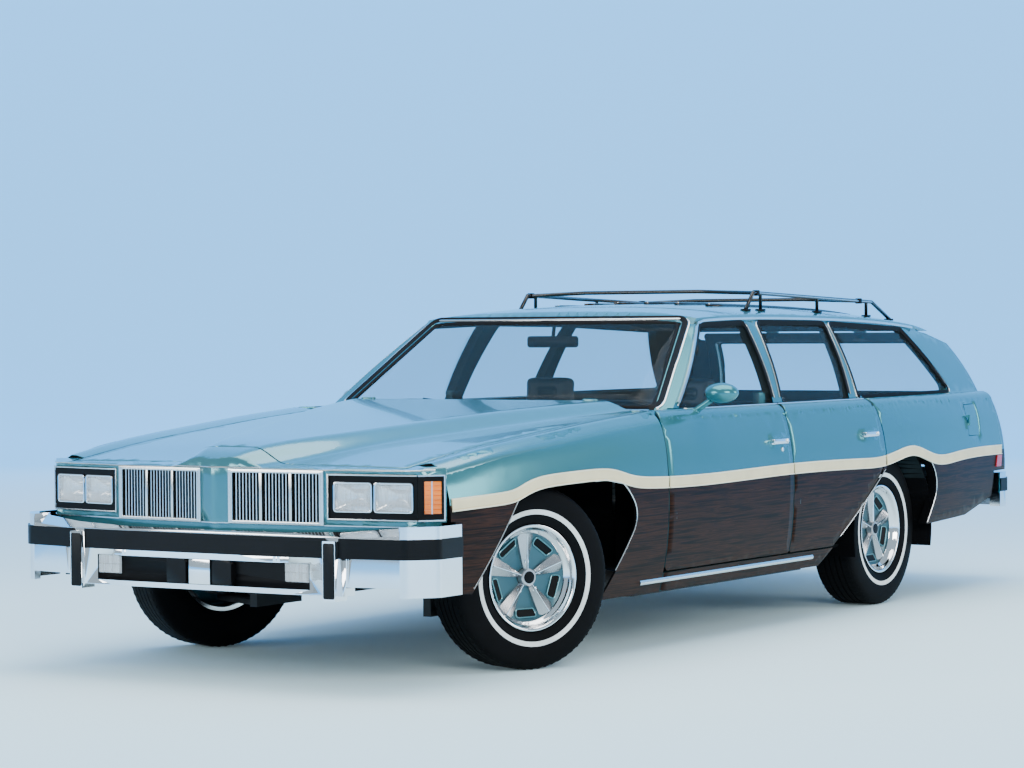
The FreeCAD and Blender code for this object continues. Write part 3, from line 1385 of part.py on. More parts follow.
def rim():
    """A five spoke road wheel about the X axis, its face to +X."""
    half = RIM_WIDTH / 2
    bead = 0.78 * TYRE_WIDTH / 2
    flange = RIM_RADIUS + 13
    barrel = spun([(RIM_RADIUS, -bead), (RIM_RADIUS, bead), (RIM_RADIUS + 6, bead + 3.5), (flange, bead + 7),
                   (flange, half + 3),
                   (RIM_RADIUS - 4, half + 1), (RIM_RADIUS - 14, bead - 6), (RIM_RADIUS - 14, -half),
                   (flange - 2, -half - 3), (flange, -bead - 7), (RIM_RADIUS + 6, -bead - 3.5)])
    disc = spun([(PILOT_RADIUS, WHEEL_FACE), (RIM_RADIUS - 10, WHEEL_FACE + 30, 10),
                 (RIM_RADIUS - 10, WHEEL_FACE + 54, 4),
                 (104, WHEEL_FACE + 40, 8), (46, WHEEL_FACE + 44, 8), (PILOT_RADIUS, WHEEL_FACE + 44)])
    for k in range(SPOKES):
        window = prism_x([(-34, 92, 12), (34, 92, 12), (62, 158, 18), (-62, 158, 18)], -20, 120)
        window.rotate(Vector(0, 0, 0), Vector(1, 0, 0), 360.0 / SPOKES * (k + 0.5))
        disc = disc.cut(window)
    cap = spun([(0, WHEEL_FACE + 26), (33, WHEEL_FACE + 26), (33, WHEEL_FACE + 60, 8), (0, WHEEL_FACE + 66)])
    ring = spun([(28, WHEEL_FACE + 30), (40, WHEEL_FACE + 30), (40, WHEEL_FACE + 44), (28, WHEEL_FACE + 44)])
    return joined([barrel, disc, cap, ring])


def rear_axle():
    """The live rear axle with its differential, brakes and hubs, and the propeller shaft."""
    z = TYRE_RADIUS
    y = AXLE_REAR
    half = TRACK_REAR / 2
    pieces = [rod((-half + 60, y, z), (half - 60, y, z), 40)]
    pieces.append(Part.makeSphere(130, Vector(0, y, z)).common(box(-110, 110, y - 200, y + 200, z - 120,
                                                                   z + 120)))
    for sign in (1, -1):
        pieces.append(rod((sign * (half - 80), y, z), (sign * (half - 30), y, z), 134))
        pieces.append(rod((sign * (half - 30), y, z), (sign * (half + WHEEL_FACE - RUN_GAP), y, z),
                          HUB_RADIUS))
        pieces.append(rod((sign * half, y, z), (sign * (half + WHEEL_FACE + 16), y, z),
                          PILOT_RADIUS - RUN_GAP))
        pieces.append(rod((sign * 500, y, z + 20), (sign * 500, y, 470 - 42), 44))
    pieces.append(rod((0, y - 60, z), (0, -759, z - 8), 36))
    return joined(pieces)


def engine_block():
    """The engine and gearbox as plain masses."""
    block = box(-250, 250, -2020, -1400, 415, 800)
    block = block.fuse(box(-170, 170, -1960, -1460, 364, 430))
    gearbox = prism_x([(-1420, 340), (-900, 318), (-760, 318), (-760, 390), (-1060, 395), (-1420, 560)], -84,
                      84)
    return joined([block, gearbox])


def exhaust():
    """The exhaust: pipe, silencer and tail pipe."""
    line = pipe([(200, -1450, 300), (230, -980, 178), (230, 700, 178)], 24)
    muffler = rod((230, 200, 204), (230, 640, 204), 72)
    hangers = [rod((230, -900, 190), (230, -900, 216), 6), rod((230, 420, 260), (230, 420, FLOOR_Z), 6)]
    return joined([line, muffler] + hangers)


def fuel_tank():
    """The fuel tank behind the axle."""
    tank = prism_x([(1620, 330, 40), (2300, 330, 40), (2300, 500, 40), (1620, 500, 40)], -440, 440)
    straps = [box(x - 20, x + 20, 1700, 2220, 490, CARGO_Z) for x in (-260, 260)]
    return joined([tank] + straps)


# Placing the wheels

def wheel_piece(shape, left, front):
    """A wheel piece in its place, steered if it is at the front."""
    piece = shape.copy()
    track = TRACK_FRONT if front else TRACK_REAR
    if not left:
        piece.rotate(Vector(0, 0, 0), Vector(0, 0, 1), 180)
    piece.translate(Vector(track / 2 if left else -track / 2, AXLE_FRONT if front else AXLE_REAR,
                           TYRE_RADIUS))
    if front:
        piece = steered(piece, left)
    return piece


def steered(piece, left):
    """A piece turned about its kingpin to the stored steering angle."""
    centre = Vector(KINGPIN_X if left else -KINGPIN_X, AXLE_FRONT, 0)
    turned = piece.copy()
    turned.rotate(centre, Vector(0, 0, 1), STEER_REST_DEG)
    return turned


def build():
    """Every piece by its name."""
    side = body_side()
    floor = floor_pan().cut(side).cut(mirrored(side))
    left_fender = fender()
    rim_shape = rim()
    tyre_shape = tyre()
    knuckle_shape = knuckle()
    pieces = {
        "body_sides": grouped([side.cut(fuel_recess()).fuse(fuel_hinge()), mirrored(side)]),
        "roof": roof(),
        "floor_pan": floor,
        "front_fenders": grouped(both(left_fender)),
        "header_panel": header_panel(),
        "cowl": cowl(),
        "frame": frame(),
        "bumper_front": bumper_front(),
        "bumper_rear": bumper_rear(),
        "bumper_rubber": bumper_rubber(),
        "grille": grille(),
        "headlamps": headlamps(),
        "turn_lamps": turn_lamps(),
        "tail_lamps": tail_lamps(),
        "windshield": windshield(),
        "quarter_glass": quarter_glass(),
        "roof_rack": roof_rack(),
        "dashboard": dashboard(),
        "front_seat": front_seat(),
        "rear_seat": rear_seat(),
        "interior_mirror": interior_mirror(),
        "engine_block": engine_block(),
        "rear_axle": rear_axle(),
        "exhaust": exhaust(),
        "fuel_tank": fuel_tank(),
        "front_suspension": front_suspension(),
        "knuckle_left": steered(knuckle_shape, True),
        "knuckle_right": steered(mirrored(knuckle_shape), False),
        "steering_wheel": steering_wheel(),
        "hood": hood(),
        "liftgate": liftgate(),
        "liftgate_glass": liftgate_glass(),
        "fuel_door": fuel_door(),
    }
    for place, left, front in (("front_left", True, True), ("front_right", False, True),
                               ("rear_left", True, False),
                               ("rear_right", False, False)):
        pieces["rim_" + place] = wheel_piece(rim_shape, left, front)
        pieces["tyre_" + place] = wheel_piece(tyre_shape, left, front)
    for place, front in (("front", True), ("rear", False)):
        panel = door(front)
        pane = door_glass(front, 0.0)
        for side, driver in (("left", True), ("right", False)):
            leaf = joined([panel] + door_mirror(driver)) if front else panel
            pieces["door_" + place + "_" + side] = leaf if driver else mirrored(leaf)
        pieces["glass_" + place + "_left"] = pane
        pieces["glass_" + place + "_right"] = mirrored(pane)
    return pieces


if __name__ == "__main__":
    os.makedirs("parts", exist_ok=True)
    for name, shape in build().items():
        shape.exportStep("parts/" + name + ".step")
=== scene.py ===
"""A late 1970s station wagon: its finishes, trim, wheels and cabin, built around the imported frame.

Units are metres. The front of the car points to -Y, its left side to +X and +Z is up. The outer skins
follow the same curves as the frame's solids, so the trim lies on the panels.
"""
import json
import logging
import math
from dataclasses import dataclass, field
from enum import Enum
from typing import Callable, Iterable, Optional, Sequence

import bmesh
import bpy
import numpy as np
from mathutils import Matrix, Vector


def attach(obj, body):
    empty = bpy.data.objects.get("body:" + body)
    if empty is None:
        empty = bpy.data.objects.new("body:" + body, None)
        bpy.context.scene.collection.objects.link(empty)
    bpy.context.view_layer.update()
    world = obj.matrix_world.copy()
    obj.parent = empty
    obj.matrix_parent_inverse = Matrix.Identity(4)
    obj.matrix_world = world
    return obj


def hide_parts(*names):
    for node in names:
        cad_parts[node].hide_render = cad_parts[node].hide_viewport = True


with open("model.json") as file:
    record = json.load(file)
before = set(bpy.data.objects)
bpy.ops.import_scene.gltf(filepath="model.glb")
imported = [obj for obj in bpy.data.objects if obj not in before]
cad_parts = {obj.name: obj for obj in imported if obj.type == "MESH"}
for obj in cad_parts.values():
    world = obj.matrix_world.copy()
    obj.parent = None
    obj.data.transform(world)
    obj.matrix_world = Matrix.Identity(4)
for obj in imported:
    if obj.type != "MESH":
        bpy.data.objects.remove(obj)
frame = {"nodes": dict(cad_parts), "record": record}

LOG = logging.getLogger("wagon")
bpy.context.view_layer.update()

Point = tuple[float, float, float]
Pair = tuple[float, float]

HALF_LENGTH = 2.7355
HALF_WIDTH = 0.983
BELT = 0.965
AXLE_FRONT = -1.7105
AXLE_REAR = 1.2355
AXLE_Z = 0.352
TRACK_FRONT = 1.564
TRACK_REAR = 1.552
KINGPIN_X = 0.69
STEER_REST = math.radians(-22.0)
DOOR_FRONT_Y = -0.938
DOOR_MID_Y = 0.148
DOOR_REAR_Y = 1.042
HOOD_REAR_Y = -0.862
SEAM_X = 0.79
NOSE_Y = -HALF_LENGTH + 0.086
GATE_HALF = 0.735
GATE_BELT = 0.905
GATE_TOP = 1.262
FACE_PLAN: tuple[Pair, ...] = ((0.0, NOSE_Y), (0.062, NOSE_Y + 0.018), (0.486, NOSE_Y + 0.046),
                               (0.856, NOSE_Y + 0.104), (0.926, NOSE_Y + 0.184))


# Curves of the skins

def smooth(points: Sequence[Pair]) -> Callable[[float], float]:
    """A natural cubic curve through (t, value) points, straight past its ends.

    Args:
        points: Rising t with their values.

    Returns:
        A function of t.
    """
    ts = np.array([p[0] for p in points])
    vs = np.array([p[1] for p in points])
    count = len(ts)
    steps = np.diff(ts)
    matrix = np.eye(count)
    right = np.zeros(count)
    for i in range(1, count - 1):
        matrix[i, i - 1:i + 2] = (steps[i - 1], 2.0 * (steps[i - 1] + steps[i]), steps[i])
        right[i] = 6.0 * ((vs[i + 1] - vs[i]) / steps[i] - (vs[i] - vs[i - 1]) / steps[i - 1])
    second = np.linalg.solve(matrix, right)

    def value(t: float) -> float:
        """The curve's value at t."""
        if t <= ts[0]:
            slope = (vs[1] - vs[0]) / steps[0] - steps[0] * second[1] / 6.0
            return float(vs[0] + slope * (t - ts[0]))
        if t >= ts[-1]:
            slope = (vs[-1] - vs[-2]) / steps[-1] + steps[-1] * second[-2] / 6.0
            return float(vs[-1] + slope * (t - ts[-1]))
        k = int(np.searchsorted(ts, t)) - 1
        a = (ts[k + 1] - t) / steps[k]
        b = 1.0 - a
        bend = (a ** 3 - a) * second[k] + (b ** 3 - b) * second[k + 1]
        return float(a * vs[k] + b * vs[k + 1] + bend * steps[k] ** 2 / 6.0)

    return value


def spread(low: float, high: float, count: int) -> list[float]:
    """count numbers, evenly spaced from low to high."""
    return [float(v) for v in np.linspace(low, high, count)]


def ease(t: float) -> float:
    """A step from 0 to 1 with flat ends."""
    t = max(0.0, min(1.0, t))
    return t * t * (3.0 - 2.0 * t)


PLAN = smooth([(-HALF_LENGTH + 0.12, HALF_WIDTH - 0.062), (-HALF_LENGTH + 0.42, HALF_WIDTH - 0.03),
               (AXLE_FRONT, HALF_WIDTH - 0.009), (-0.9, HALF_WIDTH - 0.003), (0.0, HALF_WIDTH - 0.002),
               (AXLE_REAR, HALF_WIDTH - 0.003), (AXLE_REAR + 0.62, HALF_WIDTH - 0.024),
               (HALF_LENGTH - 0.11, HALF_WIDTH - 0.088)])
SIDE_WIDEST = 0.6
SIDE_INSET = smooth([(0.228, 0.052), (0.312, 0.03), (0.46, 0.008), (SIDE_WIDEST, 0.0005), (0.72, 0.004),
                     (0.82, 0.017), (0.89, 0.033), (0.935, 0.052), (BELT, 0.084)])
UPPER_INSET = smooth([(0.93, 0.104), (1.08, 0.158), (1.22, 0.226), (1.345, 0.3)])
CREST = smooth([(-HALF_LENGTH + 0.14, 0.8), (-HALF_LENGTH + 0.3, 0.82), (-2.18, 0.856), (AXLE_FRONT, 0.903),
                (-1.3, 0.938), (-1.0, 0.958), (-0.9, BELT)])
PLATEAU = smooth([(-HALF_LENGTH + 0.07, 0.812), (-HALF_LENGTH + 0.13, 0.842), (-HALF_LENGTH + 0.24, 0.872),
                  (-2.2, 0.905), (AXLE_FRONT, 0.947), (-1.25, 0.982), (HOOD_REAR_Y, 1.002)])
ROOF_EDGE = smooth([(-0.33, 1.33), (-0.19, 1.339), (0.15, 1.349), (0.6, 1.349), (1.0, 1.343), (1.45, 1.331),
                    (1.84, 1.309), (2.08, 1.284), (2.26, 1.25)])
ROOF_CROWN = smooth([(-0.33, 0.022), (-0.19, 0.034), (0.15, 0.05), (1.45, 0.052), (2.08, 0.04), (2.26, 0.03)])
TAIL_LINE = smooth([(0.4, HALF_LENGTH - 0.122), (0.56, HALF_LENGTH - 0.114), (0.69, HALF_LENGTH - 0.122),
                    (0.815, HALF_LENGTH - 0.156), (0.96, HALF_LENGTH - 0.214), (1.1, HALF_LENGTH - 0.306),
                    (1.2, HALF_LENGTH - 0.4), (1.28, HALF_LENGTH - 0.52), (1.345, HALF_LENGTH - 0.69)])
STRIP_Z = smooth([(-2.6, 0.662), (-2.3, 0.672), (-2.14, 0.677), (-2.06, 0.685), (-1.98, 0.706),
                  (-1.88, 0.723), (-1.74, 0.73), (-1.58, 0.733), (-1.44, 0.732), (-1.34, 0.722),
                  (-1.25, 0.702), (-1.17, 0.69), (-1.06, 0.683), (-0.94, 0.679), (0.1, 0.684), (0.8, 0.677),
                  (1.05, 0.68), (1.22, 0.702), (1.37, 0.713), (1.5, 0.69), (1.62, 0.664), (1.9, 0.664),
                  (2.55, 0.671)])
STRIP_HALF = 0.019


def side_x(y: float, z: float) -> float:
    """Outer half width of the lower side."""
    crest = CREST(y) if y < -0.9 else BELT
    if z > SIDE_WIDEST:
        z = SIDE_WIDEST + (z - SIDE_WIDEST) * (BELT - SIDE_WIDEST) / (crest - SIDE_WIDEST)
        if z > BELT:
            z = min(z, BELT + 0.1 * (z - BELT))
    hip = 0.008 * math.exp(-(((y - AXLE_REAR - 0.15) / 0.62) ** 2) - ((z - 0.85) / 0.08) ** 2)
    shoulder = 0.008 * math.exp(-(((y - AXLE_FRONT - 0.25) / 0.7) ** 2) - ((z - 0.86) / 0.075) ** 2)
    return PLAN(y) - SIDE_INSET(z) + hip + shoulder


def upper_x(y: float, z: float) -> float:
    """Outer half width of the upper side."""
    return PLAN(y) - UPPER_INSET(z)


def roof_z(x: float, y: float) -> float:
    """Height of the roof skin."""
    share = abs(x) / 0.696
    return ROOF_EDGE(y) + ROOF_CROWN(y) * (1.0 - 0.6 * share ** 2 - 0.4 * share ** 6)


def hood_z(x: float, y: float) -> float:
    """Height of the hood skin."""
    half = 0.062 + 0.56 * max(0.0, (y - NOSE_Y) / (HOOD_REAR_Y - NOSE_Y))
    rise = 1.0 - ease((abs(x) - half) / 0.15)
    seam = CREST(y) - 0.008
    crown = 0.007 * (1.0 - (x / SEAM_X) ** 2)
    return seam + crown + (PLATEAU(y) - seam - crown) * rise


def fender_z(x: float, y: float) -> float:
    """Height of the fender's top."""
    share = (abs(x) - SEAM_X) / (side_x(y, CREST(y)) - SEAM_X)
    return CREST(y) - 0.008 + 0.008 * ease(share * 1.2)


def tail_y(x: float, z: float) -> float:
    """Place of the tail skin along the car."""
    return TAIL_LINE(z) + 0.04 * (1.0 - (x / 0.8) ** 2)


def screen_y(x: float, z: float) -> float:
    """Place of the windshield's outer face along the car."""
    return -0.812 + (z - 0.962) * 0.562 / 0.383 + 0.084 * (x / 0.8) ** 2


def gate_half(z: float) -> float:
    """Half width of the liftgate."""
    return GATE_HALF - max(0.0, z - GATE_BELT) * 0.3


# Finishes

class Grain(Enum):
    """What breaks up a plain surface."""
    NONE = 0
    FINE = 1
    LEATHER = 2
    CAST = 3


MADE: dict[str, bpy.types.Material] = {}


class Look:
    """What every finish shares: a name, and a material that is made once."""
    name: str

    def material(self) -> bpy.types.Material:
        """The finish's material."""
        if self.name not in MADE:
            MADE[self.name] = bpy.data.materials.new("look_" + self.name)
            MADE[self.name].use_nodes = True
            tree = MADE[self.name].node_tree
            self.fill(tree, tree.nodes["Principled BSDF"])
        return MADE[self.name]

    def fill(self, tree: bpy.types.ShaderNodeTree, shader: bpy.types.Node) -> None:
        """Set the Principled shader of the finish."""


def assign(node: bpy.types.Node, **values: object) -> None:
    """Set a node's inputs, with _ in a keyword for a space in the input's name."""
    for label, value in values.items():
        node.inputs[label.replace("_", " ")].default_value = value


def object_coordinates(tree: bpy.types.ShaderNodeTree,
                       scale: Point = (1.0, 1.0, 1.0)) -> bpy.types.NodeSocket:
    """Object coordinates through a Mapping node.

    Args:
        tree: The material's node tree.
        scale: Stretch of the pattern along each axis.

    Returns:
        The socket with the mapped coordinates.
    """
    coordinates = tree.nodes.new("ShaderNodeTexCoord")
    mapping = tree.nodes.new("ShaderNodeMapping")
    mapping.inputs["Scale"].default_value = scale
    tree.links.new(coordinates.outputs["Object"], mapping.inputs["Vector"])
    return mapping.outputs["Vector"]


def noise(tree: bpy.types.ShaderNodeTree, vector: bpy.types.NodeSocket, scale: float, detail: float = 3.0,
          distortion: float = 0.0) -> bpy.types.NodeSocket:
    """A noise texture's factor.

    Args:
        tree: The material's node tree.
        vector: Coordinates to read.
        scale: Cells per metre.
        detail: Octaves.
        distortion: Swirl of the pattern.

    Returns:
        The factor socket.
    """
    node = tree.nodes.new("ShaderNodeTexNoise")
    assign(node, Scale=scale, Detail=detail, Distortion=distortion)
    tree.links.new(vector, node.inputs["Vector"])
    return node.outputs["Fac"]


def ramp(tree: bpy.types.ShaderNodeTree, factor: bpy.types.NodeSocket,
         stops: Sequence[tuple[float, Point]]) -> bpy.types.NodeSocket:
    """A colour ramp.

    Args:
        tree: The material's node tree.
        factor: What drives it.
        stops: Place and colour of each stop.

    Returns:
        The colour socket.
    """
    node = tree.nodes.new("ShaderNodeValToRGB")
    elements = node.color_ramp.elements
    while len(elements) < len(stops):
        elements.new(0.5)
    for element, (place, colour) in zip(elements, stops):
        element.position = place
        element.color = (*colour, 1.0)
    tree.links.new(factor, node.inputs["Fac"])
    return node.outputs["Color"]


def remap(tree: bpy.types.ShaderNodeTree, value: bpy.types.NodeSocket, start: Pair,
          end: Pair = (0.0, 1.0)) -> bpy.types.NodeSocket:
    """A value carried from one range to another and kept inside it.

    Args:
        tree: The material's node tree.
        value: The value.
        start: The range that it comes from.
        end: The range that it goes to.

    Returns:
        The result socket.
    """
    node = tree.nodes.new("ShaderNodeMapRange")
    assign(node, From_Min=start[0], From_Max=start[1], To_Min=end[0], To_Max=end[1])
    tree.links.new(value, node.inputs["Value"])
    return node.outputs["Result"]


def maths(tree: bpy.types.ShaderNodeTree, operation: str, one: bpy.types.NodeSocket,
          other: bpy.types.NodeSocket) -> bpy.types.NodeSocket:
    """A Math node of two sockets."""
    node = tree.nodes.new("ShaderNodeMath")
    node.operation = operation
    tree.links.new(one, node.inputs[0])
    tree.links.new(other, node.inputs[1])
    return node.outputs["Value"]


def bump(tree: bpy.types.ShaderNodeTree, shader: bpy.types.Node, height: bpy.types.NodeSocket,
         strength: float, distance: float) -> None:
    """Roughen a shader's normal.

    Args:
        tree: The material's node tree.
        shader: The Principled shader.
        height: The height socket.
        strength: Share of the bump that shows.
        distance: Height of the bump in metres.
    """
    node = tree.nodes.new("ShaderNodeBump")
    assign(node, Strength=strength, Distance=distance)
    tree.links.new(height, node.inputs["Height"])
    tree.links.new(node.outputs["Normal"], shader.inputs["Normal"])


@dataclass(frozen=True)
class Finish(Look):
    """A plain finish: one colour with a little mottling, a gloss and a grain."""
    name: str
    colour: Point
    metallic: float = 0.0
    roughness: float = 0.4
    coat: float = 0.0
    grain: Grain = Grain.NONE
    mottle: float = 0.08
    glow: float = 0.0
    specular: float = 0.5

    def fill(self, tree: bpy.types.ShaderNodeTree, shader: bpy.types.Node) -> None:
        """Set the Principled shader of the finish."""
        vector = object_coordinates(tree)
        dark = tuple(c * (1.0 - self.mottle) for c in self.colour)
        light = tuple(min(1.0, c * (1.0 + self.mottle)) for c in self.colour)
        factor = noise(tree, vector, 9.0, 3.0)
        tree.links.new(ramp(tree, factor, ((0.35, dark), (0.65, light))), shader.inputs["Base Color"])
        assign(shader, Metallic=self.metallic, Roughness=self.roughness, Coat_Weight=self.coat,
               Coat_Roughness=0.04, Specular_IOR_Level=self.specular)
        if self.glow > 0.0:
            assign(shader, Emission_Color=(*self.colour, 1.0), Emission_Strength=self.glow)
        if self.grain is Grain.FINE:
            bump(tree, shader, noise(tree, vector, 900.0, 2.0), 0.15, 0.0004)
        elif self.grain is Grain.LEATHER:
            bump(tree, shader, noise(tree, vector, 260.0, 4.0), 0.35, 0.0008)
        elif self.grain is Grain.CAST:
            bump(tree, shader, noise(tree, vector, 420.0, 4.0), 0.5, 0.0012)


def wood_colour(tree: bpy.types.ShaderNodeTree) -> bpy.types.NodeSocket:
    """Dark streaked wood grain along the panels.

    Args:
        tree: The material's node tree.

    Returns:
        The colour socket.
    """
    streak = object_coordinates(tree, (3.0, 1.5, 60.0))
    grain = noise(tree, streak, 1.7, 6.0, 0.9)
    return ramp(tree, grain, ((0.34, (0.003, 0.0014, 0.001)), (0.45, (0.011, 0.0042, 0.0022)),
                              (0.53, (0.034, 0.011, 0.005)), (0.6, (0.007, 0.0028, 0.0016)),
                              (0.72, (0.045, 0.016, 0.0075))))


@dataclass(frozen=True)
class WoodFilm(Look):
    """Wood grain film with a satin face."""
    name: str = "wood_grain_film"
    roughness: float = 0.42
    coat: float = 0.1

    def fill(self, tree: bpy.types.ShaderNodeTree, shader: bpy.types.Node) -> None:
        """Set the Principled shader of the finish."""
        tree.links.new(wood_colour(tree), shader.inputs["Base Color"])
        assign(shader, Roughness=self.roughness, Coat_Weight=self.coat)


@dataclass(frozen=True)
class SidePanelFinish(Look):
    """Metallic enamel, with the wood grain film below the strip line on outward faces."""
    name: str = "enamel_and_wood_grain"
    enamel: Point = (0.05, 0.195, 0.225)
    light: Point = (0.062, 0.22, 0.25)

    def fill(self, tree: bpy.types.ShaderNodeTree, shader: bpy.types.Node) -> None:
        """Set the Principled shader of the finish."""
        links = tree.links
        grain = noise(tree, object_coordinates(tree), 1400.0, 1.0)
        paint = ramp(tree, grain, ((0.4, self.enamel), (0.6, self.light)))
        mask = self.film_mask(tree)
        for socket, plain, film in (("Metallic", 0.65, 0.0), ("Roughness", 0.2, 0.4)):
            links.new(remap(tree, mask, (0.0, 1.0), (plain, film)), shader.inputs[socket])
        colour = tree.nodes.new("ShaderNodeMix")
        colour.data_type = "RGBA"
        links.new(mask, colour.inputs["Factor"])
        links.new(paint, colour.inputs["A"])
        links.new(wood_colour(tree), colour.inputs["B"])
        links.new(colour.outputs["Result"], shader.inputs["Base Color"])
        assign(shader, Specular_IOR_Level=0.06, Coat_Weight=0.03, Coat_Roughness=0.03)

    @staticmethod
    def film_mask(tree: bpy.types.ShaderNodeTree) -> bpy.types.NodeSocket:
        """1 below the strip line on faces that look outwards, and 0 elsewhere."""
        links = tree.links
        coordinates = tree.nodes.new("ShaderNodeTexCoord")
        place, normal = tree.nodes.new("ShaderNodeSeparateXYZ"), tree.nodes.new("ShaderNodeSeparateXYZ")
        links.new(coordinates.outputs["Object"], place.inputs["Vector"])
        links.new(coordinates.outputs["Normal"], normal.inputs["Vector"])
        curve = tree.nodes.new("ShaderNodeFloatCurve")
        points = curve.mapping.curves[0].points
        reach = 2.8
        values = [((y + reach) / (2 * reach), STRIP_Z(y)) for y in spread(-2.75, 2.75, 45)]
        points[0].location = values[0]
        points[1].location = values[-1]
        for value in values[1:-1]:
            points.new(*value)
        curve.mapping.update()
        links.new(remap(tree, place.outputs["Y"], (-reach, reach)), curve.inputs["Value"])
        below = maths(tree, "LESS_THAN", place.outputs["Z"], curve.outputs["Value"])
        away = maths(tree, "MULTIPLY", normal.outputs["X"], place.outputs["X"])
        outward = tree.nodes.new("ShaderNodeMath")
        outward.operation = "GREATER_THAN"
        outward.inputs[1].default_value = 0.5
        links.new(away, outward.inputs[0])
        return maths(tree, "MULTIPLY", below, outward.outputs["Value"])


@dataclass(frozen=True)
class Glass(Look):
    """Thin clear glass that turns more mirror-like towards its edges."""
    name: str = "window_glass"
    tint: Point = (0.035, 0.05, 0.055)
    low: float = 0.03
    high: float = 0.4

    def fill(self, tree: bpy.types.ShaderNodeTree, shader: bpy.types.Node) -> None:
        """Set the Principled shader of the finish."""
        assign(shader, Base_Color=(*self.tint, 1.0), Roughness=0.03, Specular_IOR_Level=0.6)
        edge = tree.nodes.new("ShaderNodeLayerWeight")
        assign(edge, Blend=0.2)
        opaque = remap(tree, edge.outputs["Facing"], (0.0, 1.0), (self.low, self.high))
        tree.links.new(opaque, shader.inputs["Alpha"])


ENAMEL = SidePanelFinish()
PAINT = Finish("teal_enamel", (0.052, 0.2, 0.232), 0.55, 0.22, 0.5, mottle=0.03)
CHROME = Finish("chrome", (0.8, 0.81, 0.82), 1.0, 0.07, mottle=0.02)
BRIGHT = Finish("bright_trim", (0.66, 0.67, 0.66), 1.0, 0.2, mottle=0.02)
SILVER = Finish("wheel_silver", (0.46, 0.46, 0.47), 0.85, 0.3, 0.3, mottle=0.03)
# The wheel's body-colour teal in two copies: darker in the recessed dish as painted shade, lighter on the
# hole lips as painted light.
WHEEL_RECESS_SHADE = Finish("wheel_recess_shaded_teal", (0.028, 0.095, 0.12), 0.4, 0.38, 0.2, mottle=0.03)
WHEEL_LIP_LIT = Finish("wheel_lip_lit_teal", (0.1, 0.26, 0.3), 0.5, 0.3, 0.3, mottle=0.03)
CREAM = Finish("cream_strip", (0.78, 0.64, 0.36), 0.0, 0.38, 0.1, mottle=0.06)
CREAM_EDGE = Finish("cream_edge", (0.86, 0.77, 0.55), 0.0, 0.3, 0.2, mottle=0.03)
BLACK = Finish("satin_black", (0.003, 0.003, 0.0035), 0.0, 0.42, mottle=0.2, specular=0.1)
SEAL_RUBBER = Finish("seal_rubber", (0.004, 0.004, 0.0045), 0.0, 0.6, grain=Grain.FINE, specular=0.1)
BUMPER_RUBBER = Finish("bumper_rubber", (0.004, 0.004, 0.0045), 0.0, 0.35, grain=Grain.FINE, specular=0.12)
TYRE_RUBBER = Finish("tyre_rubber", (0.0045, 0.0045, 0.005), 0.0, 0.6, grain=Grain.FINE, specular=0.04)
WHITE_RUBBER = Finish("white_sidewall", (0.78, 0.78, 0.75), 0.0, 0.55)
UNDERBODY = Finish("underbody_black", (0.003, 0.003, 0.0035), 0.0, 0.8, grain=Grain.CAST, specular=0.03)
CHASSIS = Finish("frame_black", (0.016, 0.016, 0.017), 0.2, 0.55, grain=Grain.CAST)
CAST_IRON = Finish("cast_iron", (0.085, 0.083, 0.08), 0.6, 0.6, grain=Grain.CAST)
PIPE_STEEL = Finish("exhaust_steel", (0.26, 0.24, 0.22), 0.8, 0.45, grain=Grain.CAST, mottle=0.25)
TANK_STEEL = Finish("tank_steel", (0.32, 0.33, 0.34), 0.8, 0.42, grain=Grain.FINE, mottle=0.15)
ENGINE_BLUE = Finish("engine_enamel", (0.035, 0.1, 0.16), 0.1, 0.45, grain=Grain.CAST)
AMBER = Finish("amber_lens", (0.82, 0.17, 0.004), 0.0, 0.25, 0.1, mottle=0.25, glow=0.08)
RED = Finish("red_lens", (0.45, 0.006, 0.006), 0.0, 0.25, 0.2, glow=0.05)
CLEAR = Glass("clear_lens", (0.8, 0.83, 0.85), 0.22, 0.8)
WINDOW = Glass()
REFLECTOR = Finish("lamp_reflector", (0.86, 0.87, 0.88), 1.0, 0.12, mottle=0.02)
VINYL = Finish("seat_vinyl", (0.008, 0.014, 0.016), 0.0, 0.45, grain=Grain.LEATHER, specular=0.3)
DASH = Finish("dash_vinyl", (0.008, 0.013, 0.015), 0.0, 0.5, grain=Grain.LEATHER, specular=0.3)
CARPET = Finish("carpet", (0.01, 0.016, 0.018), 0.0, 0.95, grain=Grain.CAST, mottle=0.3, specular=0.1)
HEADLINER = Finish("headliner", (0.007, 0.01, 0.011), 0.0, 0.85, grain=Grain.LEATHER, specular=0.03)
# Dark teal for the faces in the door gaps: painted shade, as the jambs are body colour.
SEAM_SHADE = Finish("seam_shade_teal", (0.01, 0.036, 0.042), 0.2, 0.5, mottle=0.1, specular=0.2)
MIRROR = Finish("mirror_glass", (0.85, 0.87, 0.88), 1.0, 0.03, mottle=0.01)
GAUGE = Finish("gauge_black", (0.008, 0.008, 0.008), 0.0, 0.3)
MARKING = Finish("gauge_marking", (0.75, 0.76, 0.72), 0.0, 0.5)
WOOD_TRIM = Finish("dash_wood", (0.06, 0.026, 0.013), 0.0, 0.35, 0.4, mottle=0.45)
WOOD_FILM = WoodFilm()
SPOKE_GREY = Finish("spoke_grey", (0.42, 0.42, 0.43), 0.9, 0.26, 0.3, mottle=0.04)
STEERING = Finish("steering_wheel_vinyl", (0.02, 0.06, 0.07), 0.0, 0.35, 0.2, grain=Grain.FINE)
RACK = Finish("rack_enamel", (0.01, 0.01, 0.011), 0.3, 0.25, 0.2, mottle=0.1)
SPRING = Finish("spring_steel", (0.03, 0.03, 0.032), 0.4, 0.45)


# Shapes

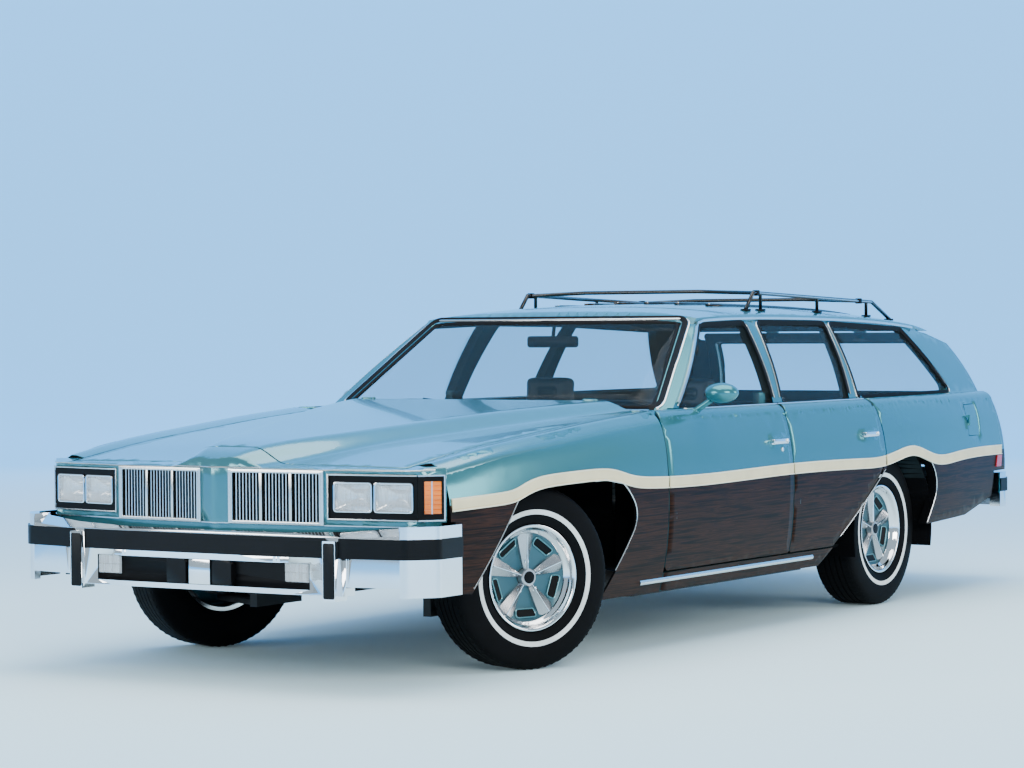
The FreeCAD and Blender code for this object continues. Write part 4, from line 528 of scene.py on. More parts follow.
@dataclass
class Shape:
    """Vertices and faces that grow part by part."""
    verts: list[Point] = field(default_factory=list)
    faces: list[tuple[int, ...]] = field(default_factory=list)

    def add(self, verts: Iterable[Sequence[float]], faces: Iterable[Sequence[int]]) -> "Shape":
        """Take in more vertices and faces.

        Args:
            verts: The new vertices.
            faces: Faces that count from the first new vertex.

        Returns:
            This shape.
        """
        base = len(self.verts)
        self.verts.extend((float(v[0]), float(v[1]), float(v[2])) for v in verts)
        self.faces.extend(tuple(base + i for i in face) for face in faces)
        return self

    def join(self, other: "Shape") -> "Shape":
        """Take in another shape."""
        return self.add(other.verts, other.faces)

    def box(self, low: Point, high: Point) -> "Shape":
        """Take in a block between two corners."""
        return self.join(block(low, high))

    def moved(self, matrix: Matrix) -> "Shape":
        """A copy through a matrix."""
        return Shape([tuple(matrix @ Vector(v)) for v in self.verts], list(self.faces))

    def mirrored(self) -> "Shape":
        """A copy on the car's other side, its faces turned back outwards."""
        return Shape([(-x, y, z) for x, y, z in self.verts], [tuple(reversed(f)) for f in self.faces])

    def both(self) -> "Shape":
        """This shape with its mirror image."""
        return Shape(list(self.verts), list(self.faces)).join(self.mirrored())


BLOCK_FACES = ((0, 3, 2, 1), (4, 5, 6, 7), (0, 1, 5, 4), (1, 2, 6, 5), (2, 3, 7, 6), (3, 0, 4, 7))


def block(low: Point, high: Point) -> Shape:
    """A block between two corners."""
    (x0, y0, z0), (x1, y1, z1) = low, high
    verts = [(x0, y0, z0), (x1, y0, z0), (x1, y1, z0), (x0, y1, z0), (x0, y0, z1), (x1, y0, z1),
             (x1, y1, z1), (x0, y1, z1)]
    return Shape().add(verts, BLOCK_FACES)


def sweep(path: Sequence[Sequence[float]], section: Sequence[Pair], side: Callable[[int], Vector],
          closed: bool = False) -> Shape:
    """A section carried along a path.

    Args:
        path: The points.
        section: A closed outline as (along side, along the other) pairs, anticlockwise.
        side: The section's first axis at each point of the path.
        closed: Whether the path comes back to its start.

    Returns:
        The swept solid, capped at its ends unless closed.
    """
    points = [Vector(p) for p in path]
    count, ring = len(points), len(section)
    verts: list[Vector] = []
    for i, point in enumerate(points):
        ahead = points[(i + 1) % count] if closed or i < count - 1 else point
        behind = points[i - 1] if closed or i > 0 else point
        along = (ahead - behind).normalized()
        first = side(i)
        first = (first - along * first.dot(along)).normalized()
        second = along.cross(first)
        verts.extend(point + first * a + second * b for a, b in section)
    faces: list[tuple[int, ...]] = []
    for i in range(count if closed else count - 1):
        for k in range(ring):
            a, b = i * ring + k, i * ring + (k + 1) % ring
            c, d = ((i + 1) % count) * ring + (k + 1) % ring, ((i + 1) % count) * ring + k
            faces.append((a, b, c, d))
    if not closed:
        faces.append(tuple(reversed(range(ring))))
        faces.append(tuple((count - 1) * ring + k for k in range(ring)))
    return Shape().add(verts, faces)


def upright(u: float, v: float, d: float) -> Point:
    """A prism's place where its outline stands across the car and its depth runs along it."""
    return (u, d, v)


def facing(x: float, y: float, z: float) -> Callable[[int], Vector]:
    """A sweep's first axis where it is the same all along the path."""
    return lambda i: Vector((x, y, z))


OUTWARD, FORWARD, AFT = facing(1.0, 0.0, 0.0), facing(0.0, -1.0, 0.0), facing(0.0, 1.0, 0.2)


def circle(radius: float, steps: int = 12) -> list[Pair]:
    """A round section."""
    return [(radius * math.cos(2 * math.pi * k / steps),
             radius * math.sin(2 * math.pi * k / steps)) for k in range(steps)]


def strip_section(width: float, height: float, crown: float = 0.0) -> list[Pair]:
    """A moulding's section: width across the second axis, height along the first, with a crowned top."""
    half = width / 2
    return [(-0.001, -half), (height * 0.6, -half), (height, -half * 0.72), (height + crown, 0.0),
            (height, half * 0.72), (height * 0.6, half), (-0.001, half)]


def tube(path: Sequence[Sequence[float]], radius: float, steps: int = 12, closed: bool = False) -> Shape:
    """A round bar along a path."""
    points = [Vector(p) for p in path]
    frames: list[Vector] = []
    reference = Vector((0.0, 0.0, 1.0))
    start = (points[1] - points[0]).normalized()
    if abs(start.dot(reference)) > 0.9:
        reference = Vector((1.0, 0.0, 0.0))
    across = start.cross(reference)
    current = (start.orthogonal() if across.length < 1e-6 else across).normalized()
    for i in range(len(points)):
        ahead = points[(i + 1) % len(points)] if closed or i < len(points) - 1 else points[i]
        behind = points[i - 1] if closed or i > 0 else points[i]
        along = (ahead - behind).normalized()
        current = (current - along * current.dot(along)).normalized()
        frames.append(current.copy())
    return sweep(path, circle(radius, steps), lambda i: frames[i], closed)


def rounded_loop(corners: Sequence[Sequence[float]], steps: int = 6) -> list[Pair]:
    """A closed outline in a plane from (u, v[, radius]) corners."""
    loop: list[Pair] = []
    count = len(corners)
    for i, corner in enumerate(corners):
        here = Vector(corner[:2])
        radius = corner[2] if len(corner) > 2 else 0.0
        if radius <= 0.0:
            loop.append((here.x, here.y))
            continue
        before, after = Vector(corners[i - 1][:2]) - here, Vector(corners[(i + 1) % count][:2]) - here
        angle = before.angle(after)
        reach = min(radius / math.tan(angle / 2), 0.48 * before.length, 0.48 * after.length)
        start, end = here + before.normalized() * reach, here + after.normalized() * reach
        for k in range(steps + 1):
            t = k / steps
            p = start * (1 - t) ** 2 + here * 2 * t * (1 - t) + end * t ** 2
            loop.append((p.x, p.y))
    return loop


def box_loop(a: float, b: float, low: float, high: float, radius: float, steps: int = 4) -> list[Pair]:
    """A rectangle's outline with rounded corners."""
    return rounded_loop(((a, low, radius), (b, low, radius), (b, high, radius), (a, high, radius)), steps)


def densify(loop: Sequence[Pair], step: float, closed: bool = True) -> list[Pair]:
    """An outline with points at most a step apart."""
    result: list[Pair] = []
    pairs = list(zip(loop, list(loop[1:]) + [loop[0]])) if closed else list(zip(loop, loop[1:]))
    for (u0, v0), (u1, v1) in pairs:
        parts = max(1, math.ceil(math.hypot(u1 - u0, v1 - v0) / step))
        result.extend((u0 + (u1 - u0) * k / parts, v0 + (v1 - v0) * k / parts) for k in range(parts))
    if not closed:
        result.append(tuple(loop[-1]))
    return result


def prism(loop: Sequence[Pair], place: Callable[[float, float, float], Point], low: float,
          high: float) -> Shape:
    """A closed outline pulled from low to high.

    Args:
        loop: The outline.
        place: Turns (u, v, depth) into a point.
        low: First depth.
        high: Last depth.

    Returns:
        The prism.
    """
    count = len(loop)
    verts = [place(u, v, low) for u, v in loop] + [place(u, v, high) for u, v in loop]
    faces: list[tuple[int, ...]] = [tuple(reversed(range(count))), tuple(range(count, 2 * count))]
    faces += [(k, (k + 1) % count, count + (k + 1) % count, count + k) for k in range(count)]
    return Shape().add(verts, faces)


def lathe(profile: Sequence[Pair], steps: int = 64, closed: bool = True) -> Shape:
    """A profile of (radius, along X) pairs turned about the X axis.

    Args:
        profile: The outline. A radius of zero makes a pole.
        steps: Facets around.
        closed: Whether the profile is joined end to end.

    Returns:
        The turned shape.
    """
    shape = Shape()
    index: list[list[int]] = []
    for radius, along in profile:
        if radius < 1e-7:
            shape.verts.append((along, 0.0, 0.0))
            index.append([len(shape.verts) - 1] * steps)
            continue
        base = len(shape.verts)
        for k in range(steps):
            angle = 2 * math.pi * k / steps
            shape.verts.append((along, radius * math.cos(angle), radius * math.sin(angle)))
        index.append(list(range(base, base + steps)))
    rows = len(profile)
    for i in range(rows if closed else rows - 1):
        one, two = index[i], index[(i + 1) % rows]
        for k in range(steps):
            face = (one[k], one[(k + 1) % steps], two[(k + 1) % steps], two[k])
            face = tuple(dict.fromkeys(face))
            if len(face) > 2:
                shape.faces.append(face)
    return shape


def sheet(outer: Callable[[float, float], Point], inner: Callable[[float, float], Point], us: Sequence[float],
          vs: Sequence[float]) -> Shape:
    """A closed solid between two faces over the same grid."""
    shape = Shape()
    rows, columns = len(us), len(vs)
    shape.verts = [tuple(outer(u, v)) for u in us for v in vs] + [tuple(inner(u, v)) for u in us for v in vs]
    base = rows * columns
    for i in range(rows - 1):
        for j in range(columns - 1):
            a, b = i * columns + j, (i + 1) * columns + j
            c, d = b + 1, a + 1
            shape.faces.append((a, b, c, d))
            shape.faces.append((base + d, base + c, base + b, base + a))
    border = [i * columns for i in range(rows)] + [(rows - 1) * columns + j for j in range(1, columns)]
    border += [i * columns + columns - 1 for i in range(rows - 2, -1, -1)] + list(range(columns - 2, 0, -1))
    for a, b in zip(border, border[1:] + border[:1]):
        shape.faces.append((b, a, base + a, base + b))
    return shape


# Pieces

def link(name: str, mesh: bpy.types.Mesh) -> bpy.types.Object:
    """An object for a mesh, in the scene."""
    obj = bpy.data.objects.new(name, mesh)
    bpy.context.scene.collection.objects.link(obj)
    return obj


def piece(name: str, shape: Shape, finish: Look, body: str, bevel: float = 0.0, angle: float = 38.0,
          replaces: Sequence[str] = (), slot: Optional[str] = None) -> bpy.types.Object:
    """A finished piece on a body.

    Args:
        name: Its name.
        shape: Its shape in the car's frame.
        finish: Its finish.
        body: The body it rides on.
        bevel: Width of its softened edges.
        angle: Edges that bend more than this stay sharp.
        replaces: Frame nodes it stands for.
        slot: Material slot of the record; not used.

    Returns:
        The object.
    """
    mesh = bpy.data.meshes.new(name)
    mesh.from_pydata(shape.verts, [], shape.faces)
    work = bmesh.new()
    work.from_mesh(mesh)
    bmesh.ops.remove_doubles(work, verts=work.verts, dist=1e-6)
    bmesh.ops.recalc_face_normals(work, faces=work.faces)
    if bevel > 0.0:
        sharp = math.radians(30.0)
        edges = [e for e in work.edges if len(e.link_faces) == 2 and e.calc_face_angle(0.0) > sharp]
        bmesh.ops.bevel(work, geom=edges, offset=bevel, segments=2, profile=0.6, affect="EDGES",
                        clamp_overlap=True)
    work.to_mesh(mesh)
    work.free()
    return finished(link(name, mesh), finish, body, angle, replaces)


def finished(obj: bpy.types.Object, finish: Look, body: str, angle: float = 38.0,
             replaces: Sequence[str] = ()) -> bpy.types.Object:
    """Dress an object and put it on its body."""
    obj.data.materials.clear()
    obj.data.materials.append(finish.material())
    obj.data.shade_smooth()
    obj.data.set_sharp_from_angle(angle=math.radians(angle))
    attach(obj, body)
    if replaces:
        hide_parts(*replaces)
    LOG.info("%s: %d faces on %s", obj.name, len(obj.data.polygons), body)
    return obj


def sides(shape: Shape) -> tuple[tuple[str, Shape], ...]:
    """A left side's shape and its mirror image, each with the name of its side."""
    return (("left", shape), ("right", shape.mirrored()))


NODE_BODY = {node: body for body, nodes in frame["record"]["behaviour"]["bodies"].items() for node in nodes}
NODE_SLOT = {part["node"]: part["material_slot"] for part in frame["record"]["subparts"]}
Snap = Callable[[Vector], Optional[Vector]]


def snap_side(v: Vector) -> Optional[Vector]:
    """The lower side skin's point next to v."""
    return Vector((math.copysign(side_x(v.y, v.z), v.x), v.y, v.z)) if v.z < BELT + 1e-4 else None


def snap_upper(v: Vector) -> Optional[Vector]:
    """The upper side skin's point next to v."""
    return Vector((math.copysign(upper_x(v.y, v.z), v.x), v.y, v.z)) if v.z > BELT else None


def snap_roof(v: Vector) -> Optional[Vector]:
    """The roof skin's point next to v."""
    return Vector((v.x, v.y, roof_z(v.x, v.y)))


def snap_hood(v: Vector) -> Optional[Vector]:
    """The hood skin's point next to v."""
    return Vector((v.x, v.y, hood_z(v.x, v.y)))


def snap_fender(v: Vector) -> Optional[Vector]:
    """The fender top's point next to v."""
    return Vector((v.x, v.y, fender_z(v.x, v.y))) if abs(v.x) > SEAM_X else None


def snap_tail(v: Vector) -> Optional[Vector]:
    """The tail skin's point next to v."""
    return Vector((v.x, tail_y(v.x, v.z), v.z))


def dress(node: str, finish: Finish, snaps: Sequence[Snap] = (), longest: float = 0.07, angle: float = 32.0,
          inner: Optional[Finish] = None, is_inner: Optional[Callable[[Vector, Vector], bool]] = None,
          reach: float = 0.0035) -> bpy.types.Object:
    """A smooth copy of a frame node that stands for it.

    Args:
        node: The frame node.
        finish: Its finish.
        snaps: Skins that its refined facets are laid on.
        longest: Longest edge of a refined facet.
        angle: Edges that bend more than this stay sharp.
        inner: A second finish.
        is_inner: Says from a facet's middle and normal whether it takes the second finish.
        reach: Furthest that a vertex is laid; past the usual reach only outward vertices are.

    Returns:
        The copy.
    """
    source = frame["nodes"][node]
    mesh = source.data.copy()
    mesh.name = node + "_dressed"
    work = bmesh.new()
    work.from_mesh(mesh)
    bmesh.ops.remove_doubles(work, verts=work.verts, dist=2e-5)
    if snaps:
        for _ in range(4):
            edges = [e for e in work.edges if e.calc_length() > longest]
            if not edges or len(work.faces) > 60000:
                break
            bmesh.ops.subdivide_edges(work, edges=edges, cuts=1, use_grid_fill=False)
            bmesh.ops.triangulate(work, faces=[f for f in work.faces if len(f.verts) > 3])
        for vert in work.verts:
            for snap in snaps:
                target = snap(vert.co)
                if target is None:
                    continue
                off = (target - vert.co).length
                outward = vert.normal.x * math.copysign(1.0, vert.co.x) + 0.8 * vert.normal.z > 0.35
                if off < 0.0035 or (off < reach and outward):
                    vert.co = target
                    break
    work.to_mesh(mesh)
    work.free()
    copy = finished(link(node + "_dressed", mesh), finish, NODE_BODY[node], angle, (node,))
    if inner is not None and is_inner is not None:
        copy.data.materials.append(inner.material())
        for polygon in copy.data.polygons:
            if is_inner(polygon.center, polygon.normal):
                polygon.material_index = 1
    return copy


# Geometry Nodes for what repeats

class Repeat:
    """Node trees for bars in a row, nuts in a ring and coil springs."""

    @staticmethod
    def tree(name: str, inputs: Sequence[tuple[str, str, object]]) -> bpy.types.NodeTree:
        """A geometry tree with named inputs.

        Args:
            name: The tree's name.
            inputs: Name, socket type and default of each input.

        Returns:
            The tree.
        """
        tree = bpy.data.node_groups.new(name, "GeometryNodeTree")
        tree.interface.new_socket(name="Geometry", in_out="OUTPUT", socket_type="NodeSocketGeometry")
        for label, kind, default in inputs:
            socket = tree.interface.new_socket(name=label, in_out="INPUT", socket_type=kind)
            if default is not None:
                socket.default_value = default
        return tree

    @staticmethod
    def wire(tree: bpy.types.NodeTree, *links: tuple[bpy.types.Node, str, bpy.types.Node, str]) -> None:
        """Link an output of one node to an input of another, by their names."""
        for one, out, other, into in links:
            tree.links.new(one.outputs[out], other.inputs[into])

    @staticmethod
    def row() -> bpy.types.NodeTree:
        """Blocks at equal steps along a line."""
        tree = Repeat.tree("row_of_bars", (("Count", "NodeSocketInt", 5),
                                           ("Step", "NodeSocketVector", (0.01, 0.0, 0.0)),
                                           ("Size", "NodeSocketVector", (0.004, 0.02, 0.1)),
                                           ("Start", "NodeSocketVector", (0.0, 0.0, 0.0)),
                                           ("Finish", "NodeSocketMaterial", None)))
        nodes = tree.nodes
        given = nodes.new("NodeGroupInput")
        line = nodes.new("GeometryNodeMeshLine")
        cube = nodes.new("GeometryNodeMeshCube")
        Repeat.wire(tree, (given, "Count", line, "Count"),
                    (given, "Start", line, "Start Location"),
                    (given, "Step", line, "Offset"),
                    (given, "Size", cube, "Size"))
        Repeat.close(tree, given, line.outputs["Mesh"], cube.outputs["Mesh"])
        return tree

    @staticmethod
    def ring() -> bpy.types.NodeTree:
        """Six-sided nuts in a ring about the X axis."""
        tree = Repeat.tree("ring_of_nuts", (("Count", "NodeSocketInt", 5),
                                            ("Circle", "NodeSocketFloat", 0.06),
                                            ("Radius", "NodeSocketFloat", 0.01),
                                            ("Height", "NodeSocketFloat", 0.02),
                                            ("Along", "NodeSocketFloat", 0.0),
                                            ("Turn", "NodeSocketFloat", 0.0),
                                            ("Finish", "NodeSocketMaterial", None)))
        nodes = tree.nodes
        given = nodes.new("NodeGroupInput")
        circle_node = nodes.new("GeometryNodeMeshCircle")
        nut = nodes.new("GeometryNodeMeshCylinder")
        nut.inputs["Vertices"].default_value = 6
        place = nodes.new("GeometryNodeTransform")
        place.inputs["Rotation"].default_value = (0.0, math.pi / 2, 0.0)
        shift = nodes.new("ShaderNodeCombineXYZ")
        spin = nodes.new("ShaderNodeCombineXYZ")
        turned = nodes.new("GeometryNodeTransform")
        laid = nodes.new("GeometryNodeTransform")
        laid.inputs["Rotation"].default_value = (0.0, math.pi / 2, 0.0)
        Repeat.wire(tree, (given, "Count", circle_node, "Vertices"),
                    (given, "Circle", circle_node, "Radius"),
                    (given, "Radius", nut, "Radius"),
                    (given, "Height", nut, "Depth"),
                    (given, "Along", shift, "X"),
                    (given, "Turn", spin, "X"),
                    (circle_node, "Mesh", place, "Geometry"),
                    (shift, "Vector", place, "Translation"),
                    (place, "Geometry", turned, "Geometry"),
                    (spin, "Vector", turned, "Rotation"),
                    (nut, "Mesh", laid, "Geometry"))
        Repeat.close(tree, given, turned.outputs["Geometry"], laid.outputs["Geometry"])
        return tree

    @staticmethod
    def close(tree: bpy.types.NodeTree, given: bpy.types.Node, points: bpy.types.NodeSocket,
              instance: bpy.types.NodeSocket) -> None:
        """End a tree in instances on points, realised and given their finish.

        Args:
            tree: The tree.
            given: Its input node.
            points: Geometry whose points carry the instances.
            instance: What is repeated.
        """
        spread_out = tree.nodes.new("GeometryNodeInstanceOnPoints")
        tree.links.new(points, spread_out.inputs["Points"])
        tree.links.new(instance, spread_out.inputs["Instance"])
        Repeat.end(tree, given, spread_out.outputs["Instances"])

    @staticmethod
    def end(tree: bpy.types.NodeTree, given: bpy.types.Node, geometry: bpy.types.NodeSocket) -> None:
        """Make a tree's geometry real, give it the finish and put it out."""
        real = tree.nodes.new("GeometryNodeRealizeInstances")
        finish = tree.nodes.new("GeometryNodeSetMaterial")
        tree.links.new(geometry, real.inputs["Geometry"])
        Repeat.wire(tree, (real, "Geometry", finish, "Geometry"), (given, "Finish", finish, "Material"),
                    (finish, "Geometry", tree.nodes.new("NodeGroupOutput"), "Geometry"))

    @staticmethod
    def coil() -> bpy.types.NodeTree:
        """A round wire wound about the Z axis."""
        tree = Repeat.tree("coil_spring", (("Turns", "NodeSocketFloat", 7.0),
                                           ("Radius", "NodeSocketFloat", 0.05),
                                           ("Height", "NodeSocketFloat", 0.25),
                                           ("Wire", "NodeSocketFloat", 0.008),
                                           ("Finish", "NodeSocketMaterial", None)))
        nodes = tree.nodes
        given = nodes.new("NodeGroupInput")
        spiral = nodes.new("GeometryNodeCurveSpiral")
        spiral.inputs["Resolution"].default_value = 20
        wire = nodes.new("GeometryNodeCurvePrimitiveCircle")
        wire.inputs["Resolution"].default_value = 8
        mesh = nodes.new("GeometryNodeCurveToMesh")
        mesh.inputs["Fill Caps"].default_value = True
        Repeat.wire(tree, (given, "Turns", spiral, "Rotations"),
                    (given, "Radius", spiral, "Start Radius"),
                    (given, "Radius", spiral, "End Radius"),
                    (given, "Height", spiral, "Height"),
                    (given, "Wire", wire, "Radius"),
                    (spiral, "Curve", mesh, "Curve"),
                    (wire, "Curve", mesh, "Profile Curve"))
        Repeat.end(tree, given, mesh.outputs["Mesh"])
        return tree

    @staticmethod
    def shape(tree: bpy.types.NodeTree, finish: Finish, values: dict[str, object]) -> Shape:
        """The plain mesh that a tree makes.

        Args:
            tree: The tree.
            finish: Finish of the result.
            values: Its inputs by name.

        Returns:
            The mesh as a shape.
        """
        carrier = link("repeat_carrier", bpy.data.meshes.new("repeat_carrier"))
        modifier = carrier.modifiers.new("repeat", "NODES")
        modifier.node_group = tree
        names = {item.name: item.identifier for item in tree.interface.items_tree if item.in_out == "INPUT"}
        modifier[names["Finish"]] = finish.material()
        for label, value in values.items():
            modifier[names[label]] = value
        result = bpy.data.meshes.new_from_object(carrier.evaluated_get(bpy.context.evaluated_depsgraph_get()))
        shape = Shape([tuple(v.co) for v in result.vertices], [tuple(p.vertices) for p in result.polygons])
        carrier.modifiers.remove(modifier)
        bpy.data.objects.remove(carrier)
        return shape


# Body

def side_path(ys: Sequence[float], z: Callable[[float], float], out: float = 0.0) -> list[Vector]:
    """Points along the left lower side at a height that follows the car."""
    return [Vector((side_x(y, z(y)) + out, y, z(y))) for y in ys]


class BodyShell:
    """The painted panels, with their linings and jambs."""

    def build(self) -> None:
        """Dress every panel."""
        side = (snap_side, snap_upper, snap_tail)
        body = dress("body_sides", ENAMEL, side, inner=HEADLINER, is_inner=self.lined)
        shells = [body]
        for place in ("front_left", "front_right", "rear_left", "rear_right"):
            shells.append(dress("door_" + place, ENAMEL, (snap_side,), inner=VINYL,
                                is_inner=lambda m, n: self.outward(m, n) < -0.6))
        shells.append(dress("front_fenders", ENAMEL, (snap_side, snap_fender), inner=UNDERBODY, reach=0.012,
                            is_inner=lambda m, n: self.outward(m, n) < -0.3 or (n.z < -0.2 and m.z > 0.74)))
        for shell in shells:
            self.tar(shell)
        dress("header_panel", PAINT, (snap_hood,), inner=UNDERBODY,
              is_inner=lambda m, n: n.y > 0.5 and m.y > -2.6)
        dress("hood", PAINT, (snap_hood,), inner=PAINT, is_inner=lambda m, n: n.z < -0.5)
        dress("roof", PAINT, (snap_roof, snap_tail), inner=HEADLINER, is_inner=lambda m, n: n.z < -0.5)
        dress("liftgate", PAINT, (snap_tail,), inner=VINYL, is_inner=lambda m, n: n.y < -0.5)
        dress("fuel_door", ENAMEL, (snap_side,))
        dress("cowl", PAINT, inner=BLACK, is_inner=lambda m, n: m.z < 0.93)
        dress("floor_pan", UNDERBODY, inner=CARPET, is_inner=lambda m, n: self.carpeted(m, n))
        self.hood_frame()
        self.cowl_grille()
        self.fender_tops()

    def lined(self, middle: Vector, normal: Vector) -> bool:
        """Whether a facet of the body side is on the cabin's side or in a window's reveal."""
        if self.outward(middle, normal) < -0.35:
            return True
        on_screen = abs(middle.y - screen_y(middle.x, middle.z)) < 0.006
        on_tail = abs(middle.y - tail_y(middle.x, middle.z)) < 0.006
        if on_screen or on_tail:
            return False
        return middle.z > 0.968 and self.outward(middle, normal) < 0.5 and normal.z < 0.4

    @staticmethod
    def fender_tops() -> None:
        """The crowned tops of the front fenders, from beside the hood over the crest."""
        def skin(y: float, s: float, drop: float) -> Point:
            """A point of the top, s from the seam at 0 over the crest at 1 and down the side to 2."""
            lift = 0.003 * min(1.0, 5.0 * s, 4.0 * (2.0 - s)) - 0.0008 - drop
            if s <= 1.0:
                x = SEAM_X + 0.0015 + s * (side_x(y, CREST(y)) - SEAM_X - 0.0015)
                return (x + lift * 0.4 * s, y, fender_z(x, y) + lift)
            z = CREST(y) - 0.045 * (s - 1.0)
            return (side_x(y, z) + lift * 0.8, y, z + lift * 0.5 * (2.0 - s))
        ys = spread(-2.4535, -0.9465, 90)
        rows = spread(0.0, 1.0, 9) + spread(1.0, 2.0, 7)[1:]
        shape = sheet(lambda y, s: skin(y, s, 0.0), lambda y, s: skin(y, s, 0.003), ys, rows)
        piece("fender_tops", shape.both(), PAINT, "body", angle=40.0)

    @staticmethod
    def outward(middle: Vector, normal: Vector) -> float:
        """How far a facet faces away from the car's middle plane."""
        return normal.x * math.copysign(1.0, middle.x)

    def tar(self, shell: bpy.types.Object) -> None:
        """Give a panel's arch edges and undersides the underbody's finish, and the faces by its upright seams
        a dark teal of painted shade in the gaps.

        Args:
            shell: The dressed panel.
        """
        last = len(shell.data.materials)
        shell.data.materials.append(UNDERBODY.material())
        shell.data.materials.append(SEAM_SHADE.material())
        for polygon in shell.data.polygons:
            middle, facing = polygon.center, self.outward(polygon.center, polygon.normal)
            reach = min(math.hypot(middle.y - axle, middle.z - AXLE_Z) for axle in (AXLE_FRONT, AXLE_REAR))
            ahead = polygon.normal.y < -0.7 and middle.y < -0.94 and middle.z < 0.95
            in_arch = reach < 0.62 and middle.z < 0.735 and facing < 0.35
            if ahead or in_arch or (polygon.normal.z < -0.5 and middle.z < 0.55):
                polygon.material_index = last
            # Faces beside the door seams take the dark teal of painted shade in the gaps.
            elif abs(polygon.normal.y) > 0.35 and abs(middle.x) > 0.78 and self.shut(middle.y):
                polygon.material_index = last + 1

    @staticmethod
    def shut(y: float) -> bool:
        """Whether a place along the car is next to a door's upright edge."""
        return min(abs(y - seam) for seam in (DOOR_FRONT_Y - 0.003, DOOR_MID_Y - 0.003,
                                              DOOR_REAR_Y + 0.015)) < 0.03

    @staticmethod
    def carpeted(middle: Vector, normal: Vector) -> bool:
        """Whether a facet of the floor is inside the cabin."""
        if middle.y < -1.0 or middle.y > 2.58:
            return False
        turned_in = normal.z > 0.2 or normal.x * middle.x < 0
        on_wheelhouse = turned_in and abs(middle.x) > 0.62 and middle.z > 0.57
        return normal.z > 0.35 or normal.y > 0.6 or on_wheelhouse

    @staticmethod
    def hood_frame() -> None:
        """The stiffening ribs under the hood."""
        shape = Shape()
        for x in (-0.62, -0.3, 0.0, 0.3, 0.62):
            path = [(x, y, hood_z(x, y) - 0.021) for y in spread(-2.4, -0.96, 18)]
            shape.join(sweep(path, [(-0.022, -0.007), (0.022, -0.007), (0.016, 0.007), (-0.016, 0.007)],
                             OUTWARD))
        for y in (-2.42, -1.68, -0.96):
            path = [(x, y, hood_z(x, y) - 0.022) for x in spread(-0.7, 0.7, 29)]
            shape.join(sweep(path, [(-0.024, -0.007), (0.024, -0.007), (0.018, 0.007), (-0.018, 0.007)],
                             FORWARD))
        piece("hood_ribs", shape, PAINT, "hood")

    @staticmethod
    def cowl_grille() -> None:
        """The air slots ahead of the windshield."""
        shape = Shape()
        for k in range(34):
            x = -0.66 + 0.04 * k
            y = screen_y(x, 0.962) - 0.012
            shape.box((x - 0.004, y - 0.028, 0.9615), (x + 0.004, y, 0.9645))
        piece("cowl_slots", shape, BLACK, "body")


WINDOWS: dict[str, tuple[tuple[float, ...], ...]] = {
    "front": ((-0.667, 0.966), (-0.182, 1.308), (0.214, 1.318, 0.03), (0.176, 0.966)),
    "rear": ((0.258, 0.966), (0.34, 1.318, 0.04), (0.982, 1.311, 0.03), (0.916, 0.966)),
    "quarter": ((1.014, 0.972, 0.014), (1.038, 1.309, 0.024), (1.795, 1.279, 0.034), (2.112, 0.972, 0.024)),
}


